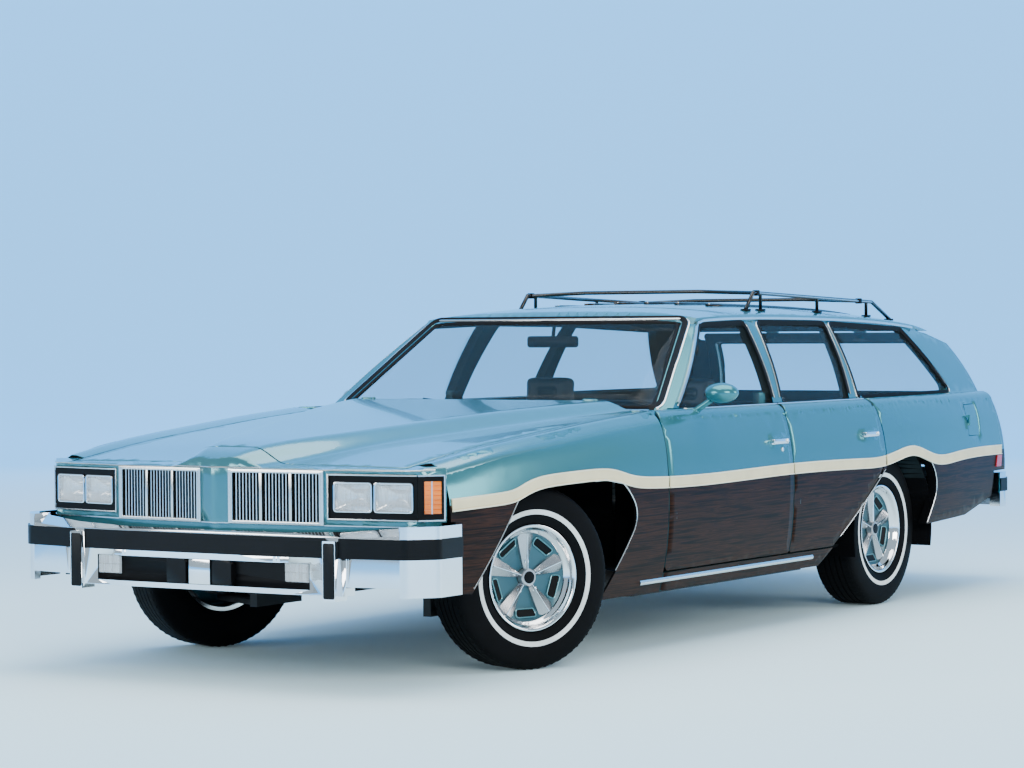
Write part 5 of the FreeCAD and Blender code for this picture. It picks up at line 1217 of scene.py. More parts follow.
@dataclass
class SideTrim:
    """Strip, mouldings, window frames, handles and mirrors of both sides."""
    arch_front: tuple[tuple[float, ...], ...] = ((-0.715, 0.2), (-0.31, 0.7, 0.15), (0.405, 0.714, 0.19),
                                                 (0.548, 0.565, 0.13), (0.262, 0.2))
    arch_rear: tuple[tuple[float, ...], ...] = ((-0.862, 0.2), (-0.1, 0.694, 0.2), (0.31, 0.69, 0.18),
                                                (0.43, 0.545, 0.15), (0.225, 0.2))

    def build(self) -> None:
        """Make the trim of both sides."""
        self.strip()
        self.rocker()
        self.arches()
        self.window_frames()
        self.drip_rail()
        self.belt_line()
        self.handles()
        self.mirrors()
        self.markers()

    def strip(self) -> None:
        """The cream strip, split where the panels part."""
        spans = (("fender", -2.448, DOOR_FRONT_Y - 0.0075, "body"),
                 ("front_door", DOOR_FRONT_Y, 0.141, "door_front"),
                 ("rear_door", 0.148, None, "door_rear"), ("quarter", None, 2.555, "body"))
        rear_edge = DOOR_REAR_Y + 0.012
        for name, low, high, body in spans:
            low = rear_edge + 0.012 if low is None else low
            high = rear_edge if high is None else high
            ys = spread(low + 0.002, high - 0.002, max(6, int((high - low) / 0.03)))
            path = side_path(ys, STRIP_Z)
            raised = strip_section(2 * STRIP_HALF, 0.004)
            edge = strip_section(0.006, 0.0055, 0.001)
            shape = sweep(path, raised, OUTWARD)
            edges = Shape()
            for offset in (-STRIP_HALF - 0.002, STRIP_HALF + 0.002):
                rail = side_path(ys, lambda y, o=offset: STRIP_Z(y) + o)
                edges.join(sweep(rail, edge, OUTWARD))
            for side, part, rim in (("left", shape, edges), ("right", shape.mirrored(), edges.mirrored())):
                on = body if body == "body" else body + "_" + side
                piece("strip_%s_%s" % (name, side), part, CREAM, on)
                piece("strip_edges_%s_%s" % (name, side), rim, CREAM_EDGE, on)

    def rocker(self) -> None:
        """The bright moulding along the sill."""
        path = side_path(spread(-1.12, 0.38, 30), lambda y: 0.284)
        shape = sweep(path, strip_section(0.018, 0.005, 0.002), OUTWARD)
        piece("rocker_mouldings", shape.both(), BRIGHT, "body")

    def arches(self) -> None:
        """The bright lips around the wheel openings."""
        shape = Shape()
        for axle, corners, low in ((AXLE_FRONT, self.arch_front, 0.345), (AXLE_REAR, self.arch_rear, 0.36)):
            loop = rounded_loop([(axle + c[0],) + tuple(c[1:]) for c in corners], 10)
            points = [p for p in densify(loop, 0.02, closed=False) if low < p[1] < STRIP_Z(p[0]) - STRIP_HALF]
            for edge in ([p for p in points if p[0] < axle], [p for p in points if p[0] >= axle]):
                path = [(side_x(y, z) + 0.0005, y, z) for y, z in edge
                        if math.hypot(y - axle, z - 0.7) > 0.19]
                shape.join(sweep(path, strip_section(0.006, 0.002, 0.001), OUTWARD))
        piece("arch_lips", shape.both(), BRIGHT, "body")

    def window_frames(self) -> None:
        """Bright frames and black seals around the side windows."""
        frames, seals = Shape(), Shape()
        for corners in WINDOWS.values():
            loop = densify(rounded_loop(corners, 8), 0.03)
            middle = np.mean(np.array(loop), axis=0)
            for grow, width, height, target in ((0.018, 0.006, 0.003, frames), (0.004, 0.023, 0.0015, seals)):
                grown = [(y + grow * math.copysign(1, y - middle[0]),
                          z + 0.35 * grow * math.copysign(1, z - middle[1]))
                         for y, z in loop]
                path = [(upper_x(y, z) + 0.0005, y, z) for y, z in grown if z > 0.9665]
                target.join(sweep(path, strip_section(width, height, 0.001), OUTWARD))
        piece("window_frames", frames.both(), BRIGHT, "body")
        piece("window_seals", seals.both(), SEAL_RUBBER, "body")

    def drip_rail(self) -> None:
        """The bright gutter along the roof's edge and down the windshield pillars."""
        path: list[Point] = []
        for t in spread(0.0, 1.0, 16):
            z = 0.99 + t * (1.318 - 0.99)
            x = upper_x(-0.75, z)
            path.append((x + 0.004, screen_y(x, z) + 0.022, z))
        for y in spread(-0.14, 1.95, 42):
            z = ROOF_EDGE(y) - 0.013
            path.append((upper_x(y, z) + 0.004, y, z))
        gutter = ((-0.006, -0.005), (0.005, -0.005), (0.007, 0.0), (0.005, 0.006), (-0.006, 0.005))
        shape = sweep(path, gutter, facing(1.0, 0.0, 0.2))
        piece("drip_rails", shape.both(), BRIGHT, "body")

    def belt_line(self) -> None:
        """The bright mouldings and wipes at the foot of the door glass."""
        for place, low, high in (("front", -0.655, 0.139), ("rear", 0.15, 0.985)):
            ys = spread(low, high, 26)
            path = [(side_x(y, BELT) + 0.001, y, BELT + 0.001) for y in ys]
            wipe = ((-0.01, -0.002), (0.004, -0.002), (0.005, 0.002), (0.003, 0.005), (-0.01, 0.006))
            shape = sweep(path, wipe, OUTWARD)
            for side, part in sides(shape):
                piece("belt_moulding_%s_%s" % (place, side), part, BRIGHT, "door_%s_%s" % (place, side))

    def handles(self) -> None:
        """Push-button door handles with their key locks."""
        for place, y in (("front", 0.024), ("rear", 0.904)):
            x = side_x(y, 0.807)
            shape = Shape()
            grip = box_loop(y - 0.078, y + 0.052, 0.8, 0.818, 0.006)
            shape.join(prism(grip, lambda u, v, d: (x + d, u, v), 0.016, 0.024))
            for low, high in ((y - 0.078, y - 0.058), (y + 0.028, y + 0.058)):
                shape.box((x - 0.006, low, 0.801), (x + 0.02, high, 0.817))
            shape.box((x - 0.006, y - 0.0765, 0.7958), (x + 0.0128, y + 0.0765, 0.8182))
            button = lathe([(0.0, -0.004), (0.0085, -0.004), (0.0085, 0.027), (0.006, 0.029), (0.0, 0.029)],
                           20, closed=False)
            shape.join(button.moved(Matrix.Translation((x, y + 0.045, 0.809))))
            if place == "front":
                lock = lathe([(0.0, -0.004), (0.01, -0.004), (0.01, 0.003), (0.007, 0.005), (0.0, 0.005)],
                             20, closed=False)
                shape.join(lock.moved(Matrix.Translation((side_x(y, 0.772), y + 0.03, 0.772))))
            for side, part in sides(shape):
                piece("handle_%s_%s" % (place, side), part, CHROME, "door_%s_%s" % (place, side),
                      bevel=0.0015)

    def mirrors(self) -> None:
        """The glass of the door mirrors."""
        for side, x, y, z, wide, high in (("left", 1.027, -0.5648, 1.03, 0.062, 0.034),
                                          ("right", -0.915, -0.4856, 1.002, 0.027, 0.022)):
            loop = [(x + wide * u, z + high * v) for u, v in circle(1.0, 40)]
            glass = prism(loop, lambda u, v, d: (u, y + d, v), -0.001, 0.0015)
            rim = sweep([(u, y, v) for u, v in loop], circle(0.0028, 6), facing(0.0, 1.0, 0.0), closed=True)
            piece("mirror_glass_" + side, glass, MIRROR, "door_front_" + side)
            piece("mirror_rim_" + side, rim, BRIGHT, "door_front_" + side)

    def markers(self) -> None:
        """Red side marker lamps at the rear corners."""
        rear = Shape()
        y0, y1 = 2.462, 2.538
        loop = rounded_loop(((y0, 0.588, 0.006), (y1, 0.588, 0.006), (y1 + 0.012, 0.645, 0.006),
                             (y0 + 0.018, 0.645, 0.006)), 4)
        rear.join(prism(densify(loop, 0.02), lambda u, v, d: (side_x(u, v) + d, u, v), -0.002, 0.006))
        piece("side_markers", rear.both(), RED, "body")


@dataclass
class Glazing:
    """Window panes, the windshield's seal, and the wipers."""

    def build(self) -> None:
        """Dress the glass."""
        for node in ("windshield", "quarter_glass", "liftgate_glass", "glass_front_left", "glass_front_right",
                     "glass_rear_left", "glass_rear_right"):
            dress(node, WINDOW, (), angle=50.0)
        self.screen_frame()
        self.gate_frame()
        self.wipers()

    @staticmethod
    def screen_frame() -> None:
        """The bright frame and black seal around the windshield, with a wide black border that is partly seal
        and partly painted shade on the pillars.
        """
        corners = ((-0.785, 0.966, 0.03), (0.785, 0.966, 0.03), (0.632, 1.331, 0.05), (-0.632, 1.331, 0.05))
        loop = densify(rounded_loop(corners, 8), 0.03)
        for name, grow, side, section, finish in (
                ("screen_frame", 0.004, 0.036, strip_section(0.012, 0.004, 0.001), BRIGHT),
                # The wide black border is partly rubber seal and partly painted shade along the pillars.
                ("screen_seal_and_shade_border", 0.001, 0.013, strip_section(0.044, 0.0018), SEAL_RUBBER),
                ("screen_seal", -0.009, -0.009, strip_section(0.014, 0.002), SEAL_RUBBER)):
            path = []
            for x, z in loop:
                gx = x + side * math.copysign(1.0, x)
                gz = z + grow * (1.0 if z > 1.15 else -0.6)
                gz = max(gz, 0.965)
                path.append((gx, screen_y(gx, gz) + (0.001 if grow > 0 else 0.006), gz))
            if grow > 0:
                foot = max(range(len(path)),
                           key=lambda i: abs(path[i][0]) - 10 * path[i][2] if path[i][0] > 0 else -99.0)
                path = path[foot:] + path[:foot]
                path = [p for p in path if p[2] > 0.966]
            shape = sweep(path, section, facing(0.0, -1.0, 0.65), closed=grow < 0)
            piece(name, shape, finish, "body")

    @staticmethod
    def gate_frame() -> None:
        """The bright frame and black seal around the rear window."""
        low, high = GATE_BELT + 0.046, GATE_TOP - 0.046
        corners = ((-gate_half(low) + 0.05, low, 0.03), (gate_half(low) - 0.05, low, 0.03),
                   (gate_half(high) - 0.05, high, 0.03), (-gate_half(high) + 0.05, high, 0.03))
        loop = densify(rounded_loop(corners, 8), 0.03)
        for name, grow, section, finish in (("gate_frame", 0.006, strip_section(0.013, 0.004, 0.001), BRIGHT),
                                            ("gate_seal", -0.005, strip_section(0.012, 0.002), SEAL_RUBBER)):
            path = []
            for x, z in loop:
                gx, gz = x + grow * math.copysign(1.0, x), z + grow * (1.0 if z > 1.08 else -1.0)
                path.append((gx, tail_y(gx, gz) + (0.0005 if grow > 0 else -0.005), gz))
            shape = sweep(path, section, facing(0.0, 1.0, 0.9), closed=True)
            piece(name, shape, finish, "liftgate")

    @staticmethod
    def wipers() -> None:
        """Two wipers parked at the foot of the windshield."""
        shape = Shape()
        rubber = Shape()
        for pivot, tip in ((0.52, 0.02), (-0.1, -0.58)):
            def on_screen(x: float, z: float, out: float) -> Point:
                """A point in front of the glass."""
                return (x, screen_y(x, z) + 0.006 - out, z + out * 0.6)
            shape.join(tube([on_screen(pivot, 0.966, 0.004), on_screen(pivot, 0.968, 0.016)], 0.009, 12))
            shape.join(tube([on_screen(pivot, 0.972, 0.014), on_screen((pivot + tip) / 2, 0.992, 0.016)],
                            0.0035, 8))
            blade = [on_screen(pivot - 0.03 + (tip - pivot) * t, 0.985 + 0.006 * math.sin(math.pi * t), 0.011)
                     for t in spread(0.0, 1.0, 9)]
            shape.join(tube(blade, 0.0028, 6))
            edge = [on_screen(pivot - 0.03 + (tip - pivot) * t, 0.983 + 0.006 * math.sin(math.pi * t), 0.005)
                    for t in spread(0.0, 1.0, 9)]
            rubber.join(tube(edge, 0.0025, 6))
        piece("wiper_arms", shape, BLACK, "body")
        piece("wiper_blades", rubber, SEAL_RUBBER, "body")


def face_y(x: float) -> float:
    """The front face's plan."""
    return float(np.interp(abs(x), [p[0] for p in FACE_PLAN], [p[1] for p in FACE_PLAN]))


def on_face(shape: Shape, run: int) -> Shape:
    """A shape built along X from 0, put on one run of the front face's plan."""
    (x0, y0), (x1, y1) = FACE_PLAN[run], FACE_PLAN[run + 1]
    turn = Matrix.Rotation(math.atan2(y1 - y0, x1 - x0), 4, "Z")
    return shape.moved(Matrix.Translation((x0, y0, 0.0)) @ turn)


@dataclass
class FrontEnd:
    """Grilles, headlamps, corner lamps and the front bumper."""
    grille_low: float = 0.5923
    grille_high: float = 0.7867
    grille_a: float = 0.0143
    grille_b: float = 0.4117
    bays: int = 3
    bars: int = 7
    lamp_low: float = 0.645
    lamp_high: float = 0.747
    lamp_spans: tuple[Pair, ...] = ((0.04, 0.19), (0.205, 0.355))

    def build(self) -> None:
        """Make the front."""
        self.grilles()
        self.headlamps()
        self.corner_lamps()
        self.nose()
        self.bumper()

    def frame_ring(self, a: float, b: float, low: float, high: float, width: float, front: float, back: float,
                   radius: float = 0.006) -> Shape:
        """A rounded rectangular frame in the front face.

        Args:
            a: Left edge.
            b: Right edge.
            low: Lower edge.
            high: Upper edge.
            width: Width of the frame's bar.
            front: Depth of its front.
            back: Depth of its back.
            radius: Corner radius.

        Returns:
            The frame.
        """
        outer = box_loop(a, b, low, high, radius)
        inner = box_loop(a + width, b - width, low + width, high - width, radius * 0.7)
        count = len(outer)
        verts = [(u, front, v) for u, v in outer] + [(u, front, v) for u, v in inner]
        verts += [(u, back, v) for u, v in outer] + [(u, back, v) for u, v in inner]
        faces = []
        for k in range(count):
            n = (k + 1) % count
            faces += [(k, n, count + n, count + k),
                      (2 * count + n, 2 * count + k, 3 * count + k, 3 * count + n),
                      (n, k, 2 * count + k, 2 * count + n),
                      (count + k, count + n, 3 * count + n, 3 * count + k)]
        return Shape().add(verts, faces)

    def grilles(self) -> None:
        """Bright upright bars before a black sheet of painted shade, in a bright frame."""
        row = Repeat.row()
        a, b, low, high = self.grille_a, self.grille_b, self.grille_low, self.grille_high
        frame_shape = self.frame_ring(a, b, low, high, 0.008, -0.0085, 0.02)
        frame_shape.join(self.frame_ring(0.003, 0.4225, 0.589, 0.791, 0.0115, -0.008, 0.0005, 0.003))
        bay = (b - a - 0.008 * 2 - 0.012 * (self.bays - 1)) / self.bays
        bars, slim, shade_backing = Shape(), Shape(), Shape()
        for i in range(self.bays):
            x0 = a + 0.008 + i * (bay + 0.012)
            if i:
                bars.box((x0 - 0.012, -0.008, low + 0.008), (x0, 0.02, high - 0.008))
            step = bay / (self.bars + 1)
            slim.join(Repeat.shape(row, BRIGHT, {
                "Count": self.bars, "Step": (step, 0.0, 0.0), "Size": (0.0042, 0.022, high - low - 0.018),
                "Start": (x0 + step, 0.008, (low + high) / 2)}))
        # A black sheet behind the bars paints the shade inside the grille.
        shade_backing.box((a + 0.006, 0.021, low + 0.004), (b - 0.006, 0.029, high - 0.004))
        piece("grille_frames", on_face(frame_shape, 1).both(), BRIGHT, "body", bevel=0.0012,
              replaces=("grille",), slot=NODE_SLOT["grille"])
        piece("grille_dividers", on_face(bars, 1).both(), BRIGHT, "body", bevel=0.001)
        piece("grille_bars", on_face(slim, 1).both(), BRIGHT, "body")
        piece("grille_shade_backing", on_face(shade_backing, 1).both(), BLACK, "body")

    def headlamps(self) -> None:
        """Rectangular headlamps with ribbed lenses before reflectors, in bright and black bezels."""
        low, high, a, b = 0.6123, 0.7797, 0.0123, 0.3657
        outer = block((a, -0.0085, low), (a + 0.005, 0.036, high))
        for z in (low, high - 0.005):
            outer.box((a + 0.005, -0.0085, z), (0.3745, 0.0, z + 0.005))
        panel = Shape()
        sides = [v for span in self.lamp_spans for v in (span[0] - 0.004, span[1] + 0.004)]
        edges = [a + 0.005] + sides + [b - 0.005]
        for left, right in zip(edges[::2], edges[1::2]):
            panel.box((left, -0.002, low + 0.005), (right, 0.03, high - 0.005))
        for left, right in self.lamp_spans:
            for z0, z1 in ((low + 0.005, self.lamp_low - 0.004), (self.lamp_high + 0.004, high - 0.005)):
                panel.box((left - 0.004, -0.002, z0), (right + 0.004, 0.03, z1))
        panel.box((b - 0.005, -0.002, low + 0.005), (0.3745, 0.0, high - 0.005))
        rims, bowls, lenses, ribs = Shape(), Shape(), Shape(), Shape()
        for left, right in self.lamp_spans:
            rims.join(self.frame_ring(left - 0.004, right + 0.004, self.lamp_low - 0.004,
                                      self.lamp_high + 0.004, 0.006, -0.0065, 0.034, 0.014))
            width, height = right - left - 0.004, self.lamp_high - self.lamp_low - 0.004
            cx, cz = (left + right) / 2, (self.lamp_low + self.lamp_high) / 2
            rings = []
            for t in spread(0.0, 1.0, 8):
                loop = box_loop(cx - width / 2 * t, cx + width / 2 * t, cz - height / 2 * t,
                                cz + height / 2 * t, 0.012 * t, 3) if t > 0 else None
                rings.append((t, loop))
            count = len(rings[-1][1])
            verts: list[Point] = [(cx, 0.052, cz)]
            for t, loop in rings[1:]:
                verts += [(u, 0.052 - 0.034 * t ** 2, v) for u, v in loop]
            faces = [(0, 1 + k, 1 + (k + 1) % count) for k in range(count)]
            for r in range(len(rings) - 2):
                base = 1 + r * count
                faces += [(base + k, base + count + k, base + count + (k + 1) % count,
                           base + (k + 1) % count) for k in range(count)]
            bowl = Shape().add(verts, faces)
            bowls.join(bowl)
            loop = box_loop(left + 0.001, right - 0.001, self.lamp_low + 0.001, self.lamp_high - 0.001,
                            0.012, 5)
            lenses.join(prism(loop, upright, 0.003, 0.008))
            for k in range(9):
                x = left + (right - left) * (k + 1) / 10
                ribs.box((x - 0.0012, 0.0082, self.lamp_low + 0.008),
                         (x + 0.0012, 0.0105, self.lamp_high - 0.008))
            for z in (cz - 0.024, cz + 0.004, cz + 0.028):
                ribs.box((left + 0.008, 0.0082, z - 0.001), (right - 0.008, 0.0105, z + 0.001))
        piece("headlamp_surrounds", on_face(outer, 2).both(), BRIGHT, "body", bevel=0.001)
        piece("headlamp_panels", on_face(panel, 2).both(), BLACK, "body")
        piece("headlamp_rims", on_face(rims, 2).both(), CHROME, "body", bevel=0.001)
        piece("headlamp_reflectors", on_face(bowls, 2).both(), REFLECTOR, "body", angle=60.0)
        piece("headlamp_lenses", on_face(lenses, 2).both(), CLEAR, "body", bevel=0.0012,
              replaces=("headlamps",), slot=NODE_SLOT["headlamps"])
        piece("headlamp_ribs", on_face(ribs, 2).both(), CLEAR, "body")

    def corner_lamps(self) -> None:
        """Ribbed amber corner lamps, and parking lamps in the bumper."""
        low, high, a, b = 0.6343, 0.7607, 0.0203, 0.0917
        body = Shape()
        rows = 7
        pitch = (high - low - 0.008) / rows
        for k in range(rows):
            z = low + 0.004 + k * pitch
            body.box((a + 0.003, -0.0035, z + 0.001), (b - 0.003, 0.008, z + pitch - 0.001))
        body.box((a + 0.003, 0.002, low + 0.003), (b - 0.003, 0.028, high - 0.003))
        frame_shape = self.frame_ring(a - 0.001, b + 0.001, low - 0.001, high + 0.001, 0.005, -0.0045, 0.028,
                                      0.004)
        divider = block((a + 0.03, -0.0042, low + 0.003), (a + 0.034, 0.02, high - 0.003))
        for x0, x1, z0, z1 in ((0.0, 0.1015, 0.6123, 0.6173), (0.0, 0.1015, 0.7747, 0.7797),
                               (0.0965, 0.1015, 0.6173, 0.7747)):
            divider.box((x0, -0.0085, z0), (x1, 0.0, z1))
        bezel = block((0.0, -0.002, 0.6173), (a, 0.0, 0.7747))
        bezel.box((b, -0.002, 0.6173), (0.0965, 0.0, 0.7747))
        bezel.box((a, -0.002, 0.6173), (b, 0.0, low)).box((a, -0.002, high), (b, 0.0, 0.7747))
        piece("corner_bezels", on_face(bezel, 3).both(), BLACK, "body")
        parking = Shape()
        y = -HALF_LENGTH + 0.014
        for k in range(3):
            x = 0.392 + 0.0334 * k
            for z in (0.394, 0.4275):
                parking.box((x, y - 0.002, z), (x + 0.031, y + 0.02, z + 0.031))
        parking.box((0.39, y + 0.004, 0.391), (0.492, y + 0.026, 0.461))
        piece("corner_lenses", on_face(body, 3).both(), AMBER, "body", bevel=0.0006)
        piece("corner_bars", on_face(frame_shape, 3).both(), BLACK, "body", bevel=0.0006)
        piece("corner_frames", on_face(divider, 3).both(), BRIGHT, "body")
        piece("parking_lenses", parking.both(), CLEAR, "body", replaces=("turn_lamps",),
              slot=NODE_SLOT["turn_lamps"])
        back = block((0.391, y + 0.0265, 0.392), (0.491, y + 0.028, 0.46))
        piece("parking_reflectors", back.both(), REFLECTOR, "body")

    def nose(self) -> None:
        """Bright mouldings along the front panel's upper and lower edges, and the valance below it."""
        shape = Shape()
        path = []
        for x in spread(-0.9, 0.9, 91):
            y = face_y(x)
            z = min(0.797, hood_z(x, y + 0.01) - 0.004) if abs(x) > 0.05 else 0.797
            path.append((x, y - 0.001, z))
        shape.join(sweep(path, strip_section(0.006, 0.004, 0.001), FORWARD))
        low = [(x, face_y(x) - 0.001, 0.5905) for x in spread(-0.915, 0.915, 81)]
        shape.join(sweep(low, strip_section(0.005, 0.003), FORWARD))
        piece("header_mouldings", shape, BRIGHT, "body")
        path = [(x, face_y(x) + 0.01, 0.565) for x in spread(-0.9, 0.9, 61)]
        valance = sweep(path, [(-0.002, -0.0225), (0.002, -0.0225), (0.002, 0.0225), (-0.002, 0.0225)],
                        FORWARD)
        piece("front_valance", valance, PAINT, "body")

    @staticmethod
    def bumper() -> None:
        """Chrome bumpers with their rubber and the chrome block between the front bosses."""
        dress("bumper_front", CHROME, angle=28.0, inner=BLACK, is_inner=lambda m, n: (
            abs(m.x) < 0.501 and 0.364 < m.z < 0.461 and -2.7335 < m.y < -2.705))
        dress("bumper_rear", CHROME, angle=28.0)
        dress("bumper_rubber", BUMPER_RUBBER, angle=28.0)
        middle = block((-0.05, -HALF_LENGTH + 0.004, 0.366), (0.05, -HALF_LENGTH + 0.026, 0.459))
        piece("bumper_middle_block", middle, CHROME, "body", bevel=0.004)
        pads = Shape()
        loop = box_loop(0.57, 0.62, 0.336, 0.538, 0.008)
        pads.join(prism(loop, upright, -HALF_LENGTH + 0.0005, -HALF_LENGTH + 0.006))
        piece("guard_pads", pads.both(), BUMPER_RUBBER, "body", bevel=0.0012)


def behind_tail(u: float, v: float, d: float) -> Point:
    """A point d behind the tail skin."""
    return (u, tail_y(u, v) + d, v)


@dataclass
class RearEnd:
    """Tail lamps, and the tailgate's mouldings, wood grain panel and handle."""
    lamp_low: float = 0.6
    lamp_high: float = 0.8

    def build(self) -> None:
        """Make the tail."""
        self.lamps()
        self.gate_trim()

    def lamps(self) -> None:
        """Upright red lamps with ribs, a clear reversing section and bright frames."""
        low, high = self.lamp_low, self.lamp_high
        x0, x1 = GATE_HALF + 0.024, GATE_HALF + 0.094
        lens, clear, frames = Shape(), Shape(), Shape()

        def panel(z0: float, z1: float) -> Shape:
            """One section of the lamp."""
            loop = densify(((x0 + 0.005, z0), (x1 - 0.007, z0), (x1 - 0.009, z1), (x0 + 0.005, z1)), 0.02)
            return prism(loop, behind_tail, -0.016, 0.0012)

        lens.join(panel(low + 0.005, 0.655)).join(panel(0.702, high - 0.005))
        clear.join(panel(0.66, 0.697))
        for k in range(16):
            z = low + 0.012 + 0.0118 * k
            if 0.654 < z < 0.7:
                continue
            lens.join(prism(((x0 + 0.007, z), (x1 - 0.011, z), (x1 - 0.011, z + 0.004),
                             (x0 + 0.007, z + 0.004)), behind_tail, 0.0, 0.003))
        outline = densify(((x0, low), (x1 - 0.001, low), (x1 - 0.005, high), (x0, high)), 0.02)
        path = [behind_tail(u, v, 0.0) for u, v in outline]
        frames.join(sweep(path, strip_section(0.009, 0.0035, 0.001), AFT, closed=True))
        for z in (0.6575, 0.6995):
            bar = [behind_tail(x, z, 0.0) for x in (x0 + 0.004, x1 - 0.006)]
            frames.join(sweep(bar, strip_section(0.004, 0.003), AFT))
        piece("tail_lenses", lens.both(), RED, "body", replaces=("tail_lamps",), slot=NODE_SLOT["tail_lamps"])
        piece("reversing_lenses", clear.both(), CLEAR, "body")
        piece("tail_lamp_frames", frames.both(), BRIGHT, "body")

    @staticmethod
    def gate_trim() -> None:
        """The tailgate's handle, mouldings and wood grain panel."""
        wood = prism(densify(((-0.69, 0.69), (0.69, 0.69), (0.69, 0.845), (-0.69, 0.845)), 0.06),
                     behind_tail, 0.0, 0.0012)
        trim = Shape()
        loop = densify(((-0.694, 0.686), (0.694, 0.686), (0.694, 0.849), (-0.694, 0.849)), 0.05)
        around = [behind_tail(u, v, 0.0) for u, v in loop]
        trim.join(sweep(around, strip_section(0.014, 0.004, 0.001), AFT, closed=True))
        across = [behind_tail(x, 0.604, 0.0) for x in spread(-0.7, 0.7, 31)]
        trim.join(sweep(across, strip_section(0.016, 0.004, 0.001), AFT))
        handle = prism(box_loop(-0.075, 0.075, 0.862, 0.884, 0.006), behind_tail, -0.002, 0.01)
        lock = lathe([(0.0, -0.004), (0.011, -0.004), (0.011, 0.004), (0.008, 0.006), (0.0, 0.006)], 20,
                     closed=False)
        spot = Matrix.Translation((0.0, tail_y(0.0, 0.895), 0.896))
        turned = lock.moved(spot @ Matrix.Rotation(math.pi / 2, 4, "Z"))
        piece("gate_wood_panel", wood, WOOD_FILM, "liftgate")
        piece("gate_mouldings", trim, BRIGHT, "liftgate")
        piece("gate_handle", handle.join(turned), CHROME, "liftgate", bevel=0.0015)


